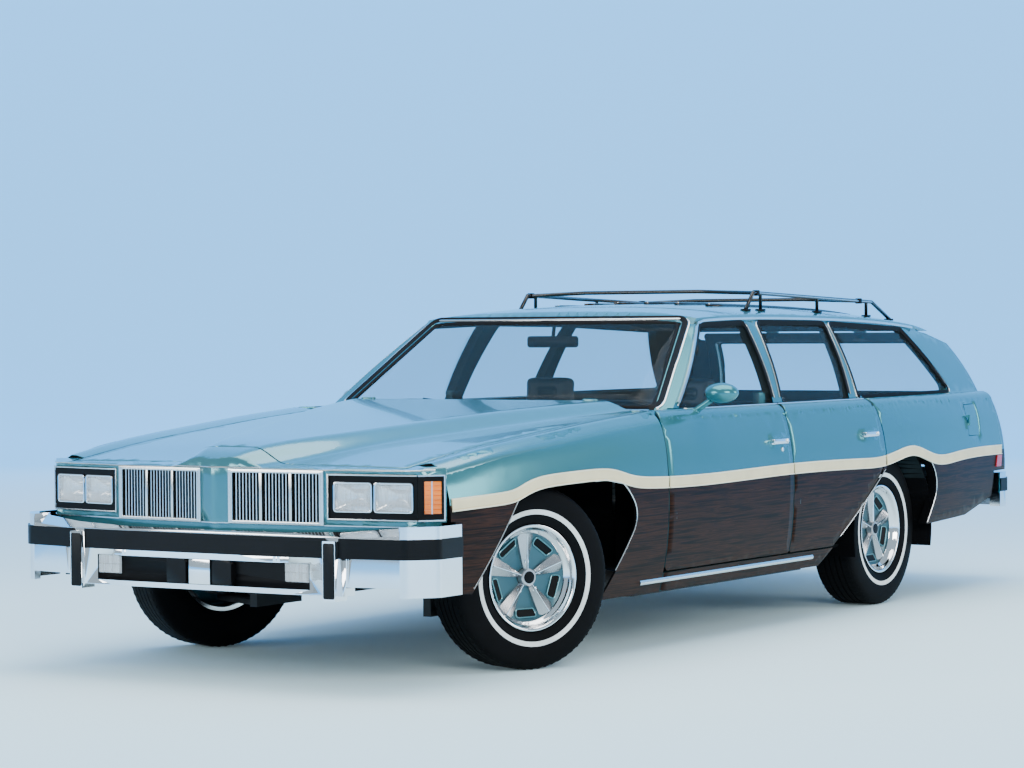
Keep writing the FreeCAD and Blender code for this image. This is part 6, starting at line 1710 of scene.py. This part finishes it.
@dataclass
class RoadWheel:
    """One road wheel: a tyre with its tread and white ring, and a five spoke rim."""
    left: bool
    front: bool
    steps: int = 72
    lugs: int = 68

    @property
    def label(self) -> str:
        """Place of the wheel, as in the frame's names."""
        return "%s_%s" % ("front" if self.front else "rear", "left" if self.left else "right")

    @property
    def matrix(self) -> Matrix:
        """From the wheel's own place, its face to +X, to the car's."""
        x = (TRACK_FRONT if self.front else TRACK_REAR) / 2
        side = 1.0 if self.left else -1.0
        place = Matrix.Translation((side * x, AXLE_FRONT if self.front else AXLE_REAR, AXLE_Z))
        if not self.left:
            place = place @ Matrix.Rotation(math.pi, 4, "Z")
        if self.front:
            pin = Matrix.Translation((side * KINGPIN_X, AXLE_FRONT, 0.0))
            place = pin @ Matrix.Rotation(STEER_REST, 4, "Z") @ pin.inverted() @ place
        return place

    def build(self) -> None:
        """Make the wheel."""
        body = "wheel_" + self.label
        self.tyre(body)
        self.rim(body)

    def put(self, name: str, shape: Shape, finish: Finish, body: str, **options: object) -> None:
        """A piece given in the wheel's own place."""
        piece("%s_%s" % (name, self.label), shape.moved(self.matrix), finish, body, **options)

    def tyre(self, body: str) -> None:
        """Tread ribs, shoulder lugs, bulged sidewalls and the white ring."""
        half = [(0.3519, 0.012), (0.344, 0.0125), (0.344, 0.017), (0.3519, 0.0175), (0.3519, 0.04),
                (0.344, 0.0405), (0.344, 0.045), (0.3519, 0.0455), (0.351, 0.07), (0.3492, 0.08),
                (0.344, 0.09), (0.337, 0.0958), (0.325, 0.0998), (0.3, 0.103), (0.276, 0.1038),
                (0.264, 0.1034), (0.243, 0.1008), (0.23, 0.0975), (0.214, 0.0915), (0.208, 0.087),
                (0.205, 0.083), (0.1915, 0.0805)]
        profile = half + [(r, -a) for r, a in reversed(half)]
        shape = lathe(profile, self.steps)
        for side in (1.0, -1.0):
            for k in range(self.lugs):
                turn = Matrix.Rotation(2 * math.pi * (k + (0.5 if side < 0 else 0.0)) / self.lugs, 4, "X")
                lug = block((0.047, -0.0052, 0.3425), (0.076, 0.0052, 0.3519))
                wedge = block((0.07, -0.005, 0.3405), (0.0895, 0.005, 0.3462))
                if side < 0:
                    lug, wedge = [Shape([(-x, y, z) for x, y, z in s.verts],
                                        [tuple(reversed(f)) for f in s.faces]) for s in (lug, wedge)]
                shape.join(lug.moved(turn)).join(wedge.moved(turn))
        self.put("tyre_dressed", shape, TYRE_RUBBER, body, angle=30.0, replaces=("tyre_" + self.label,),
                 slot=NODE_SLOT["tyre_" + self.label])
        ring = lathe([(0.243, 0.0985), (0.2432, 0.1018), (0.245, 0.1026), (0.26, 0.1043), (0.2618, 0.1041),
                      (0.262, 0.101)],
                     self.steps)
        self.put("white_ring", ring, WHITE_RUBBER, body)

    def rim(self, body: str) -> None:
        """The rim with its trim ring, five ridged spokes, black blocks of painted shade for its openings,
        nuts and cap.
        """
        ring = lathe([(0.2034, 0.085), (0.2034, 0.0908), (0.201, 0.0918), (0.195, 0.09), (0.19, 0.083),
                      (0.1868, 0.074), (0.18, 0.064), (0.1722, 0.059), (0.169, 0.054), (0.17, 0.05),
                      (0.176, 0.044), (0.178, 0.04), (0.18, -0.08), (0.188, -0.09), (0.203, -0.09),
                      (0.2034, -0.085), (0.1905, -0.08), (0.1905, 0.08)],
                     self.steps)
        self.put("trim_ring", ring, CHROME, body, angle=40.0)
        # The recessed dish takes the darker copy of the teal, painted shade.
        dish = lathe([(0.0345, 0.0085), (0.0345, 0.03), (0.06, 0.029), (0.1, 0.026), (0.14, 0.03),
                      (0.172, 0.047), (0.176, 0.044), (0.176, 0.032), (0.14, 0.012), (0.09, 0.0085)],
                     self.steps)
        self.put("wheel_dish", dish, WHEEL_RECESS_SHADE, body, angle=35.0, replaces=("rim_" + self.label,),
                 slot=NODE_SLOT["rim_" + self.label])
        flanks, ridges, hole_shade, wells = Shape(), Shape(), Shape(), Shape()
        rows = ((0.033, 0.0085, 0.056), (0.06, 0.015, 0.0555), (0.1, 0.024, 0.055), (0.14, 0.0325, 0.055),
                (0.168, 0.0385, 0.0565))
        for k in range(5):
            turn = Matrix.Rotation(2 * math.pi * k / 5, 4, "X")
            verts: list[Point] = []
            for r, w, top in rows:
                verts += [(top, 0.0, r), (top - 0.016, w, r), (0.02, w * 1.06, r), (0.02, -w * 1.06, r),
                          (top - 0.016, -w, r)]
            faces = [(i * 5 + j, i * 5 + (j + 1) % 5, (i + 1) * 5 + (j + 1) % 5, (i + 1) * 5 + j)
                     for i in range(len(rows) - 1) for j in range(5)]
            faces += [tuple(range(5)), tuple(range((len(rows) - 1) * 5, len(rows) * 5))]
            flanks.join(Shape().add(verts, faces).moved(turn))
            ridge = [(top - 0.0015, 0.0, r) for r, w, top in rows]
            ridges.join(sweep(ridge, ((-0.002, -0.003), (0.0022, -0.0012), (0.0022, 0.0012), (-0.002, 0.003)),
                              OUTWARD).moved(turn))
            between = Matrix.Rotation(2 * math.pi * (k + 0.5) / 5, 4, "X")
            # Black blocks in the dish between the spokes paint the shade seen through the wheel's openings.
            hole = rounded_loop(((-0.04, 0.122, 0.01), (0.04, 0.122, 0.01), (0.05, 0.154, 0.012),
                                 (-0.05, 0.154, 0.012)), 4)
            hole_shade.join(prism(hole, lambda u, v, d: (d + max(0.0, v - 0.13) * 0.5, u, v), 0.022,
                             0.0325).moved(between))
            lip = densify(hole, 0.02)
            path = [(0.0328 + max(0.0, v - 0.13) * 0.5, u, v) for u, v in lip]
            wells.join(sweep(path, circle(0.0028, 6), OUTWARD, closed=True).moved(between))
        self.put("wheel_spokes", flanks, SPOKE_GREY, body, angle=20.0)
        self.put("spoke_ridges", ridges, CHROME, body)
        self.put("wheel_hole_shade", hole_shade, BLACK, body)
        # The lips round the openings take the lighter copy of the teal, painted light.
        self.put("wheel_hole_lips", wells, WHEEL_LIP_LIT, body)
        nuts = Repeat.shape(Repeat.ring(), CHROME, {"Count": 5, "Circle": 0.0605, "Radius": 0.0105,
                                                    "Height": 0.022, "Along": 0.038, "Turn": math.pi / 5})
        self.put("wheel_nuts", nuts, CHROME, body, bevel=0.0012)
        cap = lathe([(0.0, 0.034), (0.0335, 0.034), (0.0335, 0.06), (0.03, 0.0635), (0.0, 0.065)], 40,
                    closed=False)
        self.put("wheel_cap", cap, SILVER, body, angle=30.0)
        face = lathe([(0.0, 0.064), (0.0235, 0.064), (0.0235, 0.066), (0.0, 0.068)], 40, closed=False)
        self.put("wheel_cap_face", face, BLACK, body)


@dataclass
class RoofRack:
    """The rack's black bars and feet, with thin bright lines on the rails as painted highlights and on the
    slats.
    """

    def build(self) -> None:
        """Dress the rack and add its brackets."""
        dress("roof_rack", RACK, angle=50.0)
        self.lines()
        brackets = Shape()
        for y in (0.52, 1.56):
            front, rear = roof_z(0.6, 0.475), roof_z(0.6, 1.88)
            height = front + 0.08 + (rear - front + 0.008) * (y - 0.49) / 1.21
            brackets.box((0.588, y - 0.014, height - 0.013), (0.612, y + 0.014, height + 0.013))
        piece("rack_brackets", brackets.both(), BLACK, "body", bevel=0.003)
        feet = Shape()
        for y in (0.42, 0.56, 1.12, 1.64, 1.89):
            z = roof_z(0.6, y)
            feet.box((0.584, y - 0.022, z - 0.002), (0.616, y + 0.022, z + 0.008))
        piece("rack_feet", feet.both(), BLACK, "body", bevel=0.003)

    @staticmethod
    def lines() -> None:
        """Thin bright lines along the rails' outer faces, painted highlights on the black rails, and along
        the slats.
        """
        z0, z1 = roof_z(0.6, 0.475), roof_z(0.6, 1.88)
        shape = Shape()
        # The bright line on the rail's outer face is a painted highlight.
        rail = [(0.6085, 0.5, z0 + 0.0805), (0.6085, 1.69, z1 + 0.0875)]
        shape.join(sweep(rail, strip_section(0.004, 0.0012), OUTWARD))
        for k in range(3):
            x = 0.08 + 0.16 * k
            path = [(x, y, roof_z(x, y) + 0.01) for y in spread(0.445, 1.835, 12)]
            shape.join(sweep(path, strip_section(0.006, 0.0012), facing(0.0, 0.0, 1.0)))
        piece("rack_highlight_lines", shape.both(), BRIGHT, "body")


@dataclass(frozen=True)
class Cushion:
    """A stuffed cushion with sewn rolls, leaned about a line across the car."""
    name: str
    centre: Point
    size: Point
    lean: float = 0.0
    rolls: int = 6
    upright: bool = False
    cap: float = 0.008
    voxel: float = 0.013

    def build(self, finish: Finish, body: str, replaces: Sequence[str] = (),
              slot: Optional[str] = None) -> bpy.types.Object:
        """Make the cushion.

        Args:
            finish: Its finish.
            body: The body it rides on.
            replaces: Frame nodes it stands for.
            slot: Material slot of the record; not used.

        Returns:
            The object.
        """
        work = bmesh.new()
        bmesh.ops.create_cube(work, size=1.0)
        bmesh.ops.scale(work, vec=Vector(self.size) - Vector((self.cap, self.cap, self.cap)),
                        verts=work.verts)
        bmesh.ops.bevel(work, geom=list(work.edges), offset=min(0.03, 0.3 * min(self.size)), segments=4,
                        profile=0.5,
                        affect="EDGES", clamp_overlap=True)
        mesh = bpy.data.meshes.new(self.name + "_form")
        work.to_mesh(mesh)
        work.free()
        form = link(self.name + "_form", mesh)
        remesh = form.modifiers.new("remesh", "REMESH")
        remesh.mode = "VOXEL"
        remesh.voxel_size = self.voxel
        self.bake(form)
        self.swell(form)
        smoother = form.modifiers.new("smoother", "SUBSURF")
        smoother.levels = 1
        smoother.render_levels = 1
        self.bake(form)
        self.sew(form.data)
        turn = Matrix.Translation(self.centre) @ Matrix.Rotation(math.radians(-self.lean), 4, "X")
        form.data.transform(turn)
        form.name = self.name
        obj = finished(form, finish, body, 60.0, replaces)
        return obj

    @staticmethod
    def bake(obj: bpy.types.Object) -> None:
        """Apply every modifier of an object to its mesh."""
        mesh = bpy.data.meshes.new_from_object(obj.evaluated_get(bpy.context.evaluated_depsgraph_get()))
        obj.modifiers.clear()
        obj.data = mesh

    def swell(self, obj: bpy.types.Object) -> None:
        """Blow the cover up against its seams with a short cloth simulation."""
        scene = bpy.context.scene
        start = np.empty(len(obj.data.vertices) * 3)
        obj.data.vertices.foreach_get("co", start)
        cloth = obj.modifiers.new("cloth", "CLOTH")
        cloth.settings.use_pressure = True
        cloth.settings.uniform_pressure_force = 4.0
        cloth.settings.effector_weights.gravity = 0.0
        cloth.settings.quality = 4
        for step in range(1, 21):
            scene.frame_set(step)
        posed = obj.evaluated_get(bpy.context.evaluated_depsgraph_get())
        mesh = bpy.data.meshes.new_from_object(posed)
        end = np.empty(len(mesh.vertices) * 3)
        mesh.vertices.foreach_get("co", end)
        obj.modifiers.clear()
        scene.frame_set(1)
        shift = (end - start).reshape(-1, 3)
        reach = np.linalg.norm(shift, axis=1, keepdims=True)
        shift *= np.minimum(1.0, self.cap * 0.5 / np.maximum(reach, 1e-9))
        obj.data.vertices.foreach_set("co", (start.reshape(-1, 3) + shift).ravel())
        obj.data.update()

    def sew(self, mesh: bpy.types.Mesh) -> None:
        """Press the seams of the rolls and the border into the cover's outer face."""
        half = Vector(self.size) / 2
        count = len(mesh.vertices)
        points = np.empty(count * 3)
        mesh.vertices.foreach_get("co", points)
        points = points.reshape(-1, 3)
        face = -points[:, 1] / half.y if self.upright else points[:, 2] / half.z
        top = np.clip((face - 0.55) / 0.3, 0.0, 1.0)
        border = 0.075
        inner = half.x - border
        share = (points[:, 0] + inner) / (2 * inner) * self.rolls
        away = np.abs(share - np.round(share)) * 2 * inner / self.rolls
        seam = np.exp(-(away / 0.007) ** 2) * (np.abs(points[:, 0]) < inner + 0.01)
        across = (half.z if self.upright else half.y) - border * 0.8
        other = np.abs(points[:, 2] if self.upright else points[:, 1])
        seam *= other < across
        edge = np.exp(-((other - across) / 0.007) ** 2) * (np.abs(points[:, 0]) < inner)
        depth = 0.011 * np.maximum(seam, edge) * top
        if self.upright:
            points[:, 1] += depth
        else:
            points[:, 2] -= depth
        mesh.vertices.foreach_set("co", points.ravel())
        mesh.update()


@dataclass
class Cabin:
    """Seats, dashboard, steering wheel, door cards and small fittings."""

    def build(self) -> None:
        """Furnish the cabin."""
        self.seats()
        self.dashboard()
        self.steering_wheel()
        self.door_cards()
        self.fittings()

    @staticmethod
    def seats() -> None:
        """Two padded benches on their bases, with headrests in front."""
        base = Shape()
        base.box((-0.68, -0.31, 0.372), (-0.156, 0.13, 0.405))
        base.box((0.156, -0.31, 0.372), (0.68, 0.13, 0.405))
        base.box((-0.68, -0.31, 0.434), (0.68, 0.13, 0.44))
        for x in (-0.56, -0.2, 0.2, 0.56):
            base.box((x - 0.025, -0.255, 0.3085), (x + 0.025, 0.115, 0.374))
        for x in (-0.156, 0.156):
            base.box((x - 0.006, -0.31, 0.372), (x + 0.006, 0.13, 0.436))
        for x in (-0.686, 0.676):
            base.box((x, -0.3, 0.372), (x + 0.01, 0.2, 0.47))
        piece("front_seat_base", base, BLACK, "body", bevel=0.003)
        front = Cushion("front_seat_cushion", (0.0, -0.098, 0.516), (1.374, 0.446, 0.148), -6.0, 9)
        front.build(VINYL, "body", ("front_seat",), NODE_SLOT["front_seat"])
        Cushion("front_seat_back", (0.0, 0.243, 0.68), (1.374, 0.118, 0.5), 15.5, 9,
                True).build(VINYL, "body")
        posts = Shape()
        for side in (-1, 1):
            Cushion("headrest_%s" % ("right" if side < 0 else "left"), (side * 0.37, 0.316, 0.998),
                    (0.246, 0.074, 0.15), 6.0, 1,
                    True, 0.006, 0.009).build(VINYL, "body")
            for x in (-0.055, 0.055):
                posts.join(tube([(side * 0.37 + x, 0.302, 0.88), (side * 0.37 + x, 0.314, 0.97)], 0.006, 12))
        piece("headrest_posts", posts, BRIGHT, "body")
        rear = Shape().box((-0.612, 0.475, 0.436), (0.612, 0.7, 0.448))
        rear.box((-0.612, 0.475, 0.3095), (-0.157, 0.715, 0.448))
        rear.box((0.157, 0.475, 0.3095), (0.612, 0.715, 0.448))
        piece("rear_seat_base", rear, CARPET, "body", bevel=0.003)
        cushion = Cushion("rear_seat_cushion", (0.0, 0.69, 0.532), (1.234, 0.436, 0.138), 5.5, 8)
        cushion.build(VINYL, "body", ("rear_seat",), NODE_SLOT["rear_seat"])
        Cushion("rear_seat_back", (0.0, 0.99, 0.768), (1.234, 0.09, 0.384), 16.0, 8,
                True).build(VINYL, "body")

    @staticmethod
    def dashboard() -> None:
        """The dashboard with round gauges, a wood panel, vents, a radio and the glove box."""
        dress("dashboard", DASH, angle=40.0)

        def face(u: float, v: float, d: float) -> Point:
            """A point d behind the dashboard's rear face."""
            return (u, -0.548 + (v - 0.7) * 0.0187 / 0.1 + d, v)

        panel = prism(box_loop(-0.7, 0.7, 0.775, 0.838, 0.012), face, -0.004, 0.003)
        piece("dash_wood_panel", panel, WOOD_TRIM, "body")
        rims, faces, marks, knobs = Shape(), Shape(), Shape(), Shape()
        for x, r in ((0.5, 0.036), (0.41, 0.036), (0.32, 0.036), (0.235, 0.03)):
            spot = Matrix.Translation(face(x, 0.806, 0.003)) @ Matrix.Rotation(math.pi / 2, 4, "Z")
            rims.join(lathe([(r - 0.004, 0.0), (r, 0.0), (r, 0.006), (r - 0.003, 0.008), (r - 0.004, 0.006)],
                            32).moved(spot))
            faces.join(lathe([(0.0, 0.0), (r - 0.004, 0.0), (r - 0.004, 0.002), (0.0, 0.002)], 32,
                             closed=False).moved(spot))
            for k in range(11):
                angle = math.radians(-130 + 26 * k)
                tick = block((0.002, -0.0006, r * 0.68), (0.0027, 0.0006, r * 0.84))
                marks.join(tick.moved(Matrix.Rotation(angle, 4, "X")).moved(spot))
            needle = block((0.0025, -0.0008, -0.004), (0.0035, 0.0008, r * 0.66))
            marks.join(needle.moved(Matrix.Rotation(math.radians(-118), 4, "X")).moved(spot))
        for x0, x1, z0, z1 in ((-0.1, 0.06, 0.782, 0.83), (0.09, 0.18, 0.784, 0.828),
                               (-0.66, -0.56, 0.784, 0.828), (0.575, 0.665, 0.784, 0.828)):
            loop = box_loop(x0, x1, z0, z1, 0.004, 3)
            faces.join(prism(loop, face, 0.002, 0.0045))
            for k in range(5):
                z = z0 + (z1 - z0) * (k + 0.8) / 5.6
                rims.join(prism(((x0 + 0.004, z), (x1 - 0.004, z), (x1 - 0.004, z + 0.0018),
                                 (x0 + 0.004, z + 0.0018)), face, 0.003, 0.007))
        for x, z in ((-0.115, 0.806), (0.075, 0.806), (0.2, 0.745), (0.24, 0.745), (0.5, 0.745),
                     (0.54, 0.745)):
            spot = Matrix.Translation(face(x, z, 0.0)) @ Matrix.Rotation(math.pi / 2, 4, "Z")
            knobs.join(lathe([(0.0, 0.0), (0.009, 0.0), (0.008, 0.014), (0.0, 0.015)], 20,
                             closed=False).moved(spot))
        lid = prism(box_loop(-0.52, -0.16, 0.708, 0.77, 0.01), face, -0.003, 0.005)
        latch = prism(((-0.355, 0.735), (-0.325, 0.735), (-0.325, 0.747), (-0.355, 0.747)), face, 0.003,
                      0.009)
        piece("gauge_rims", rims.join(latch), BRIGHT, "body")
        piece("gauge_faces", faces, GAUGE, "body")
        piece("gauge_marks", marks, MARKING, "body")
        piece("dash_knobs", knobs, BLACK, "body")
        piece("glove_box_lid", lid, DASH, "body", bevel=0.002)

    @staticmethod
    def steering_wheel() -> None:
        """The steering wheel with its horn pad, and the levers on the column."""
        dress("steering_wheel", STEERING, angle=60.0)
        axis = Vector((0.0, 0.8829, 0.4695))
        hub = Vector((0.37, -0.62 + 0.3003 * 0.8829, 0.64 + 0.3003 * 0.4695))
        turn = Matrix.Translation(hub) @ axis.to_track_quat("Z", "Y").to_matrix().to_4x4()
        badge = prism(rounded_loop(((-0.03, -0.02, 0.008), (0.03, -0.02, 0.008), (0.024, 0.022, 0.008),
                                    (-0.024, 0.022, 0.008)), 4),
                      lambda u, v, d: (u, v, d), 0.046, 0.0515)
        piece("horn_pad_plate", badge.moved(turn), BRIGHT, "steering_wheel", bevel=0.0015)
        levers = Shape()
        start = Vector((0.37, -0.62, 0.64)) + axis * 0.235
        levers.join(tube([start + Vector((0.022, 0.0, 0.0)), start + Vector((0.15, 0.035, 0.01))], 0.005, 10))
        levers.join(tube([start + Vector((-0.02, 0.0, 0.012)), start + Vector((-0.14, 0.02, 0.07))], 0.006,
                         10))
        piece("column_levers", levers, BRIGHT, "body")

    @staticmethod
    def door_cards() -> None:
        """Armrests, cranks, inner handles and pull straps on the doors."""
        for place, y0, y1, y in (("front", -0.62, 0.06, -0.33), ("rear", 0.3, 0.82, 0.52)):
            rest, crank, bar = Shape(), Shape(), Shape()
            def inner(v: float, z: float) -> float:
                """Half width of the door's inner face."""
                return PLAN(v) - 0.09 - 0.048 * (z - 0.238) / (BELT - 0.238)

            def card(u: float, v: float, d: float) -> Point:
                """A point d outside the door's inner face."""
                return (inner(u, v) + d, u, v)

            loop = rounded_loop(((y0, 0.612, 0.012), (y1, 0.622, 0.012), (y1, 0.668, 0.018),
                                 (y0 + 0.1, 0.672, 0.02), (y0, 0.64, 0.012)), 4)
            rest.join(prism(loop, card, -0.05, 0.004))
            pull = y + 0.12
            bar.join(prism(box_loop(pull - 0.045, pull + 0.045, 0.762, 0.79, 0.006, 3), card, -0.01, 0.004))
            spot = (inner(y, 0.56), y, 0.56)
            crank.join(tube([(spot[0] + 0.004, y, 0.56), (spot[0] - 0.022, y, 0.56)], 0.012, 16))
            crank.join(tube([(spot[0] - 0.02, y, 0.56), (spot[0] - 0.026, y + 0.085, 0.548)], 0.006, 10))
            crank.join(tube([(spot[0] - 0.022, y + 0.085, 0.548), (spot[0] - 0.046, y + 0.085, 0.548)], 0.01,
                            14))
            strip = [(inner(v, 0.735) - 0.001, v, 0.735) for v in spread(y0 - 0.06, y1 + 0.03, 14)]
            bar.join(sweep(strip, strip_section(0.012, 0.004, 0.001), facing(-1.0, 0.0, 0.0)))
            for side in ("left", "right"):
                body = "door_%s_%s" % (place, side)
                pick = (lambda s: s) if side == "left" else (lambda s: s.mirrored())
                piece("armrest_%s_%s" % (place, side), pick(rest), VINYL, body, bevel=0.004)
                piece("door_bright_%s_%s" % (place, side), pick(bar), BRIGHT, body)
                piece("window_crank_%s_%s" % (place, side), pick(crank), CHROME, body)

    @staticmethod
    def fittings() -> None:
        """Mirror glass, visors, pedals and the load floor's strips."""
        dress("interior_mirror", BLACK, angle=40.0)
        loop = box_loop(-0.118, 0.118, 1.22, 1.26, 0.012, 5)
        piece("interior_mirror_glass", prism(loop, upright, -0.2382, -0.2368), MIRROR,
              "body")
        visors, pedals, strips = Shape(), Shape(), Shape()
        for x in (-0.34, 0.34):
            loop = rounded_loop(((x - 0.2, -0.205, 0.02), (x + 0.2, -0.205, 0.02), (x + 0.2, -0.06, 0.03),
                                 (x - 0.2, -0.06, 0.03)), 5)
            visors.join(prism(loop, lambda u, v, d: (u, v, roof_z(u, v) - 0.032 + d), -0.014, 0.0))
        for x, z, w, h in ((0.335, 0.44, 0.05, 0.036), (0.215, 0.4, 0.024, 0.06)):
            pedals.box((x - w, -0.742, z - h), (x + w, -0.73, z + h))
            pedals.join(tube([(x, -0.742, z), (x, -0.77, z + 0.12), (x, -0.76, z + 0.25)], 0.007, 10))
        for k in range(7):
            x = -0.48 + 0.16 * k
            strips.box((x - 0.009, 1.08, 0.5735), (x + 0.009, 2.54, 0.5775))
        piece("sun_visors", visors, HEADLINER, "body", bevel=0.003)
        piece("pedals", pedals, BLACK, "body", bevel=0.002)
        piece("load_floor_strips", strips, BRIGHT, "body", bevel=0.001)


@dataclass
class Chassis:
    """What shows below the floor and under the hood."""

    def build(self) -> None:
        """Dress the running gear."""
        for node, finish in (("frame", CHASSIS), ("knuckle_left", CAST_IRON), ("knuckle_right", CAST_IRON),
                             ("exhaust", PIPE_STEEL), ("fuel_tank", TANK_STEEL),
                             ("engine_block", ENGINE_BLUE)):
            dress(node, finish, angle=35.0)
        self.sprung("front_suspension", 0.52, AXLE_FRONT, 0.046, 0.217, 0.487, 7.5)
        self.sprung("rear_axle", 0.5, AXLE_REAR, 0.044, 0.39, 0.428, 2.0)

    @staticmethod
    def sprung(node: str, x: float, y: float, radius: float, low: float, high: float, turns: float) -> None:
        """A node whose plain cylinders become a damper inside a coil spring.

        Args:
            node: The frame node.
            x: Half the distance between the springs.
            y: Their place along the car.
            radius: Radius of the plain cylinder.
            low: Lower end of the spring.
            high: Upper end of the spring.
            turns: Turns of its wire.
        """
        copy = dress(node, CHASSIS, angle=35.0)
        for vert in copy.data.vertices:
            side = math.copysign(x, vert.co.x)
            reach = math.hypot(vert.co.x - side, vert.co.y - y)
            if abs(reach - radius) < 0.0012 and low - 0.002 < vert.co.z < high + 0.002:
                vert.co.x = side + (vert.co.x - side) * 0.45
                vert.co.y = y + (vert.co.y - y) * 0.45
        copy.data.update()
        wire = 0.0065
        coil = Repeat.shape(Repeat.coil(), SPRING, {"Turns": turns, "Radius": radius - wire,
                                                    "Height": high - low - 2 * wire, "Wire": wire})
        springs = Shape()
        for side in (1.0, -1.0):
            springs.join(coil.moved(Matrix.Translation((side * x, y, low + wire))))
        piece(node + "_springs", springs, SPRING, "body", angle=60.0)


@dataclass
class Studio:
    """Floor, light and the photograph's camera."""
    place: Point = (6.9309, -11.3505, 1.3253)
    yaw: float = 32.77
    pitch: float = -1.18
    roll: float = -0.43
    focal: float = 2977.8

    def build(self) -> None:
        """Set the stage."""
        self.floor()
        self.lights()
        self.camera()

    @staticmethod
    def floor() -> None:
        """A pale floor that curves up far behind the car."""
        mesh = bpy.data.meshes.new("studio_floor")
        bend = [(22.0 + 8.0 * math.sin(a), 8.0 - 8.0 * math.cos(a)) for a in spread(0.15, math.pi / 2, 10)]
        rows = [(-60.0, 0.0), (22.0, 0.0)] + bend
        rows.append((30.0, 60.0))
        turn = Matrix.Rotation(math.radians(32.77), 3, "Z")
        verts = [tuple(turn @ Vector((x, y, z))) for y, z in rows for x in (-60.0, 60.0)]
        faces = [(2 * i, 2 * i + 1, 2 * i + 3, 2 * i + 2) for i in range(len(rows) - 1)]
        mesh.from_pydata(verts, [], faces)
        floor = link("studio_floor", mesh)
        floor.data.materials.append(Studio.backdrop())
        floor.data.shade_smooth()

    @staticmethod
    def backdrop() -> bpy.types.Material:
        """Pale floor round the car that turns into a lit, light blue background further off."""
        material = bpy.data.materials.new("studio_pale")
        material.use_nodes = True
        tree = material.node_tree
        shader = tree.nodes["Principled BSDF"]
        length = tree.nodes.new("ShaderNodeVectorMath")
        length.operation = "LENGTH"
        tree.links.new(object_coordinates(tree), length.inputs[0])
        far = length.outputs["Value"]
        colour = ramp(tree, remap(tree, far, (3.0, 16.0)), ((0.0, (0.7, 0.9, 0.95)), (1.0, (0.2, 0.58, 1.0))))
        tree.links.new(colour, shader.inputs["Base Color"])
        tree.links.new(colour, shader.inputs["Emission Color"])
        tree.links.new(remap(tree, far, (2.5, 14.0), (0.05, 1.15)), shader.inputs["Emission Strength"])
        assign(shader, Roughness=0.7, Specular_IOR_Level=0.1)
        return material

    @staticmethod
    def lights() -> None:
        """A pale sky with large soft lights overhead and beside the camera."""
        world = bpy.data.worlds.new("studio_sky")
        world.use_nodes = True
        background = world.node_tree.nodes["Background"]
        background.inputs["Color"].default_value = (0.62, 0.8, 0.95, 1.0)
        background.inputs["Strength"].default_value = 0.75
        bpy.context.scene.world = world
        for name, place, aim, size, power, colour in (
                ("overhead", (0.5, -0.5, 6.0), (0.0, 0.0, 0.5), (7.0, 5.0), 520.0, (1.0, 1.0, 1.0)),
                ("key", (9.0, -9.0, 5.0), (0.5, -0.5, 0.6), (6.0, 4.0), 900.0, (1.0, 0.98, 0.95)),
                ("front_fill", (-5.0, -10.0, 3.0), (0.0, -2.0, 0.6), (5.0, 3.0), 420.0, (0.95, 0.98, 1.0)),
                ("side_fill", (9.0, 4.0, 3.0), (0.5, 1.0, 0.6), (5.0, 3.0), 350.0, (1.0, 1.0, 1.0))):
            data = bpy.data.lights.new(name, "AREA")
            data.shape = "RECTANGLE"
            data.size, data.size_y = size
            data.energy = power
            data.color = colour
            lamp = bpy.data.objects.new(name, data)
            lamp.location = place
            lamp.rotation_euler = (Vector(place) - Vector(aim)).to_track_quat("Z", "Y").to_euler()
            bpy.context.scene.collection.objects.link(lamp)

    def camera(self) -> None:
        """The photograph's camera."""
        yaw, pitch, roll = (math.radians(v) for v in (self.yaw, self.pitch, self.roll))
        ahead = Vector((-math.sin(yaw) * math.cos(pitch), math.cos(yaw) * math.cos(pitch), math.sin(pitch)))
        right = Vector((math.cos(yaw), math.sin(yaw), 0.0))
        up = right.cross(ahead)
        turned = right * math.cos(roll) + up * math.sin(roll)
        above = up * math.cos(roll) - right * math.sin(roll)
        data = bpy.data.cameras.new("photo_camera")
        data.sensor_width = 36.0
        data.lens = self.focal / 1024.0 * 36.0
        data.clip_end = 200.0
        camera = bpy.data.objects.new("photo_camera", data)
        matrix = Matrix((turned, above, -ahead)).transposed().to_4x4()
        matrix.translation = Vector(self.place)
        camera.matrix_world = matrix
        bpy.context.scene.collection.objects.link(camera)
        bpy.context.scene.camera = camera


def plain(box: Sequence[Sequence[float]]) -> list[list[float]]:
    """A box as plain lists."""
    return [[float(v) for v in corner] for corner in box]


def main() -> None:
    """Build the car's looks in order and finish the scene."""
    logging.basicConfig(level=logging.INFO, format="%(message)s")
    parts = [BodyShell(), SideTrim(), FrontEnd(), RearEnd(), Glazing(), RoofRack(), Chassis()]
    parts += [RoadWheel(left, front) for front in (True, False) for left in (True, False)]
    parts += [Cabin(), Studio()]
    for part in parts:
        LOG.info("building %s", type(part).__name__)
        part.build()


if __name__ == "__main__":
    main()
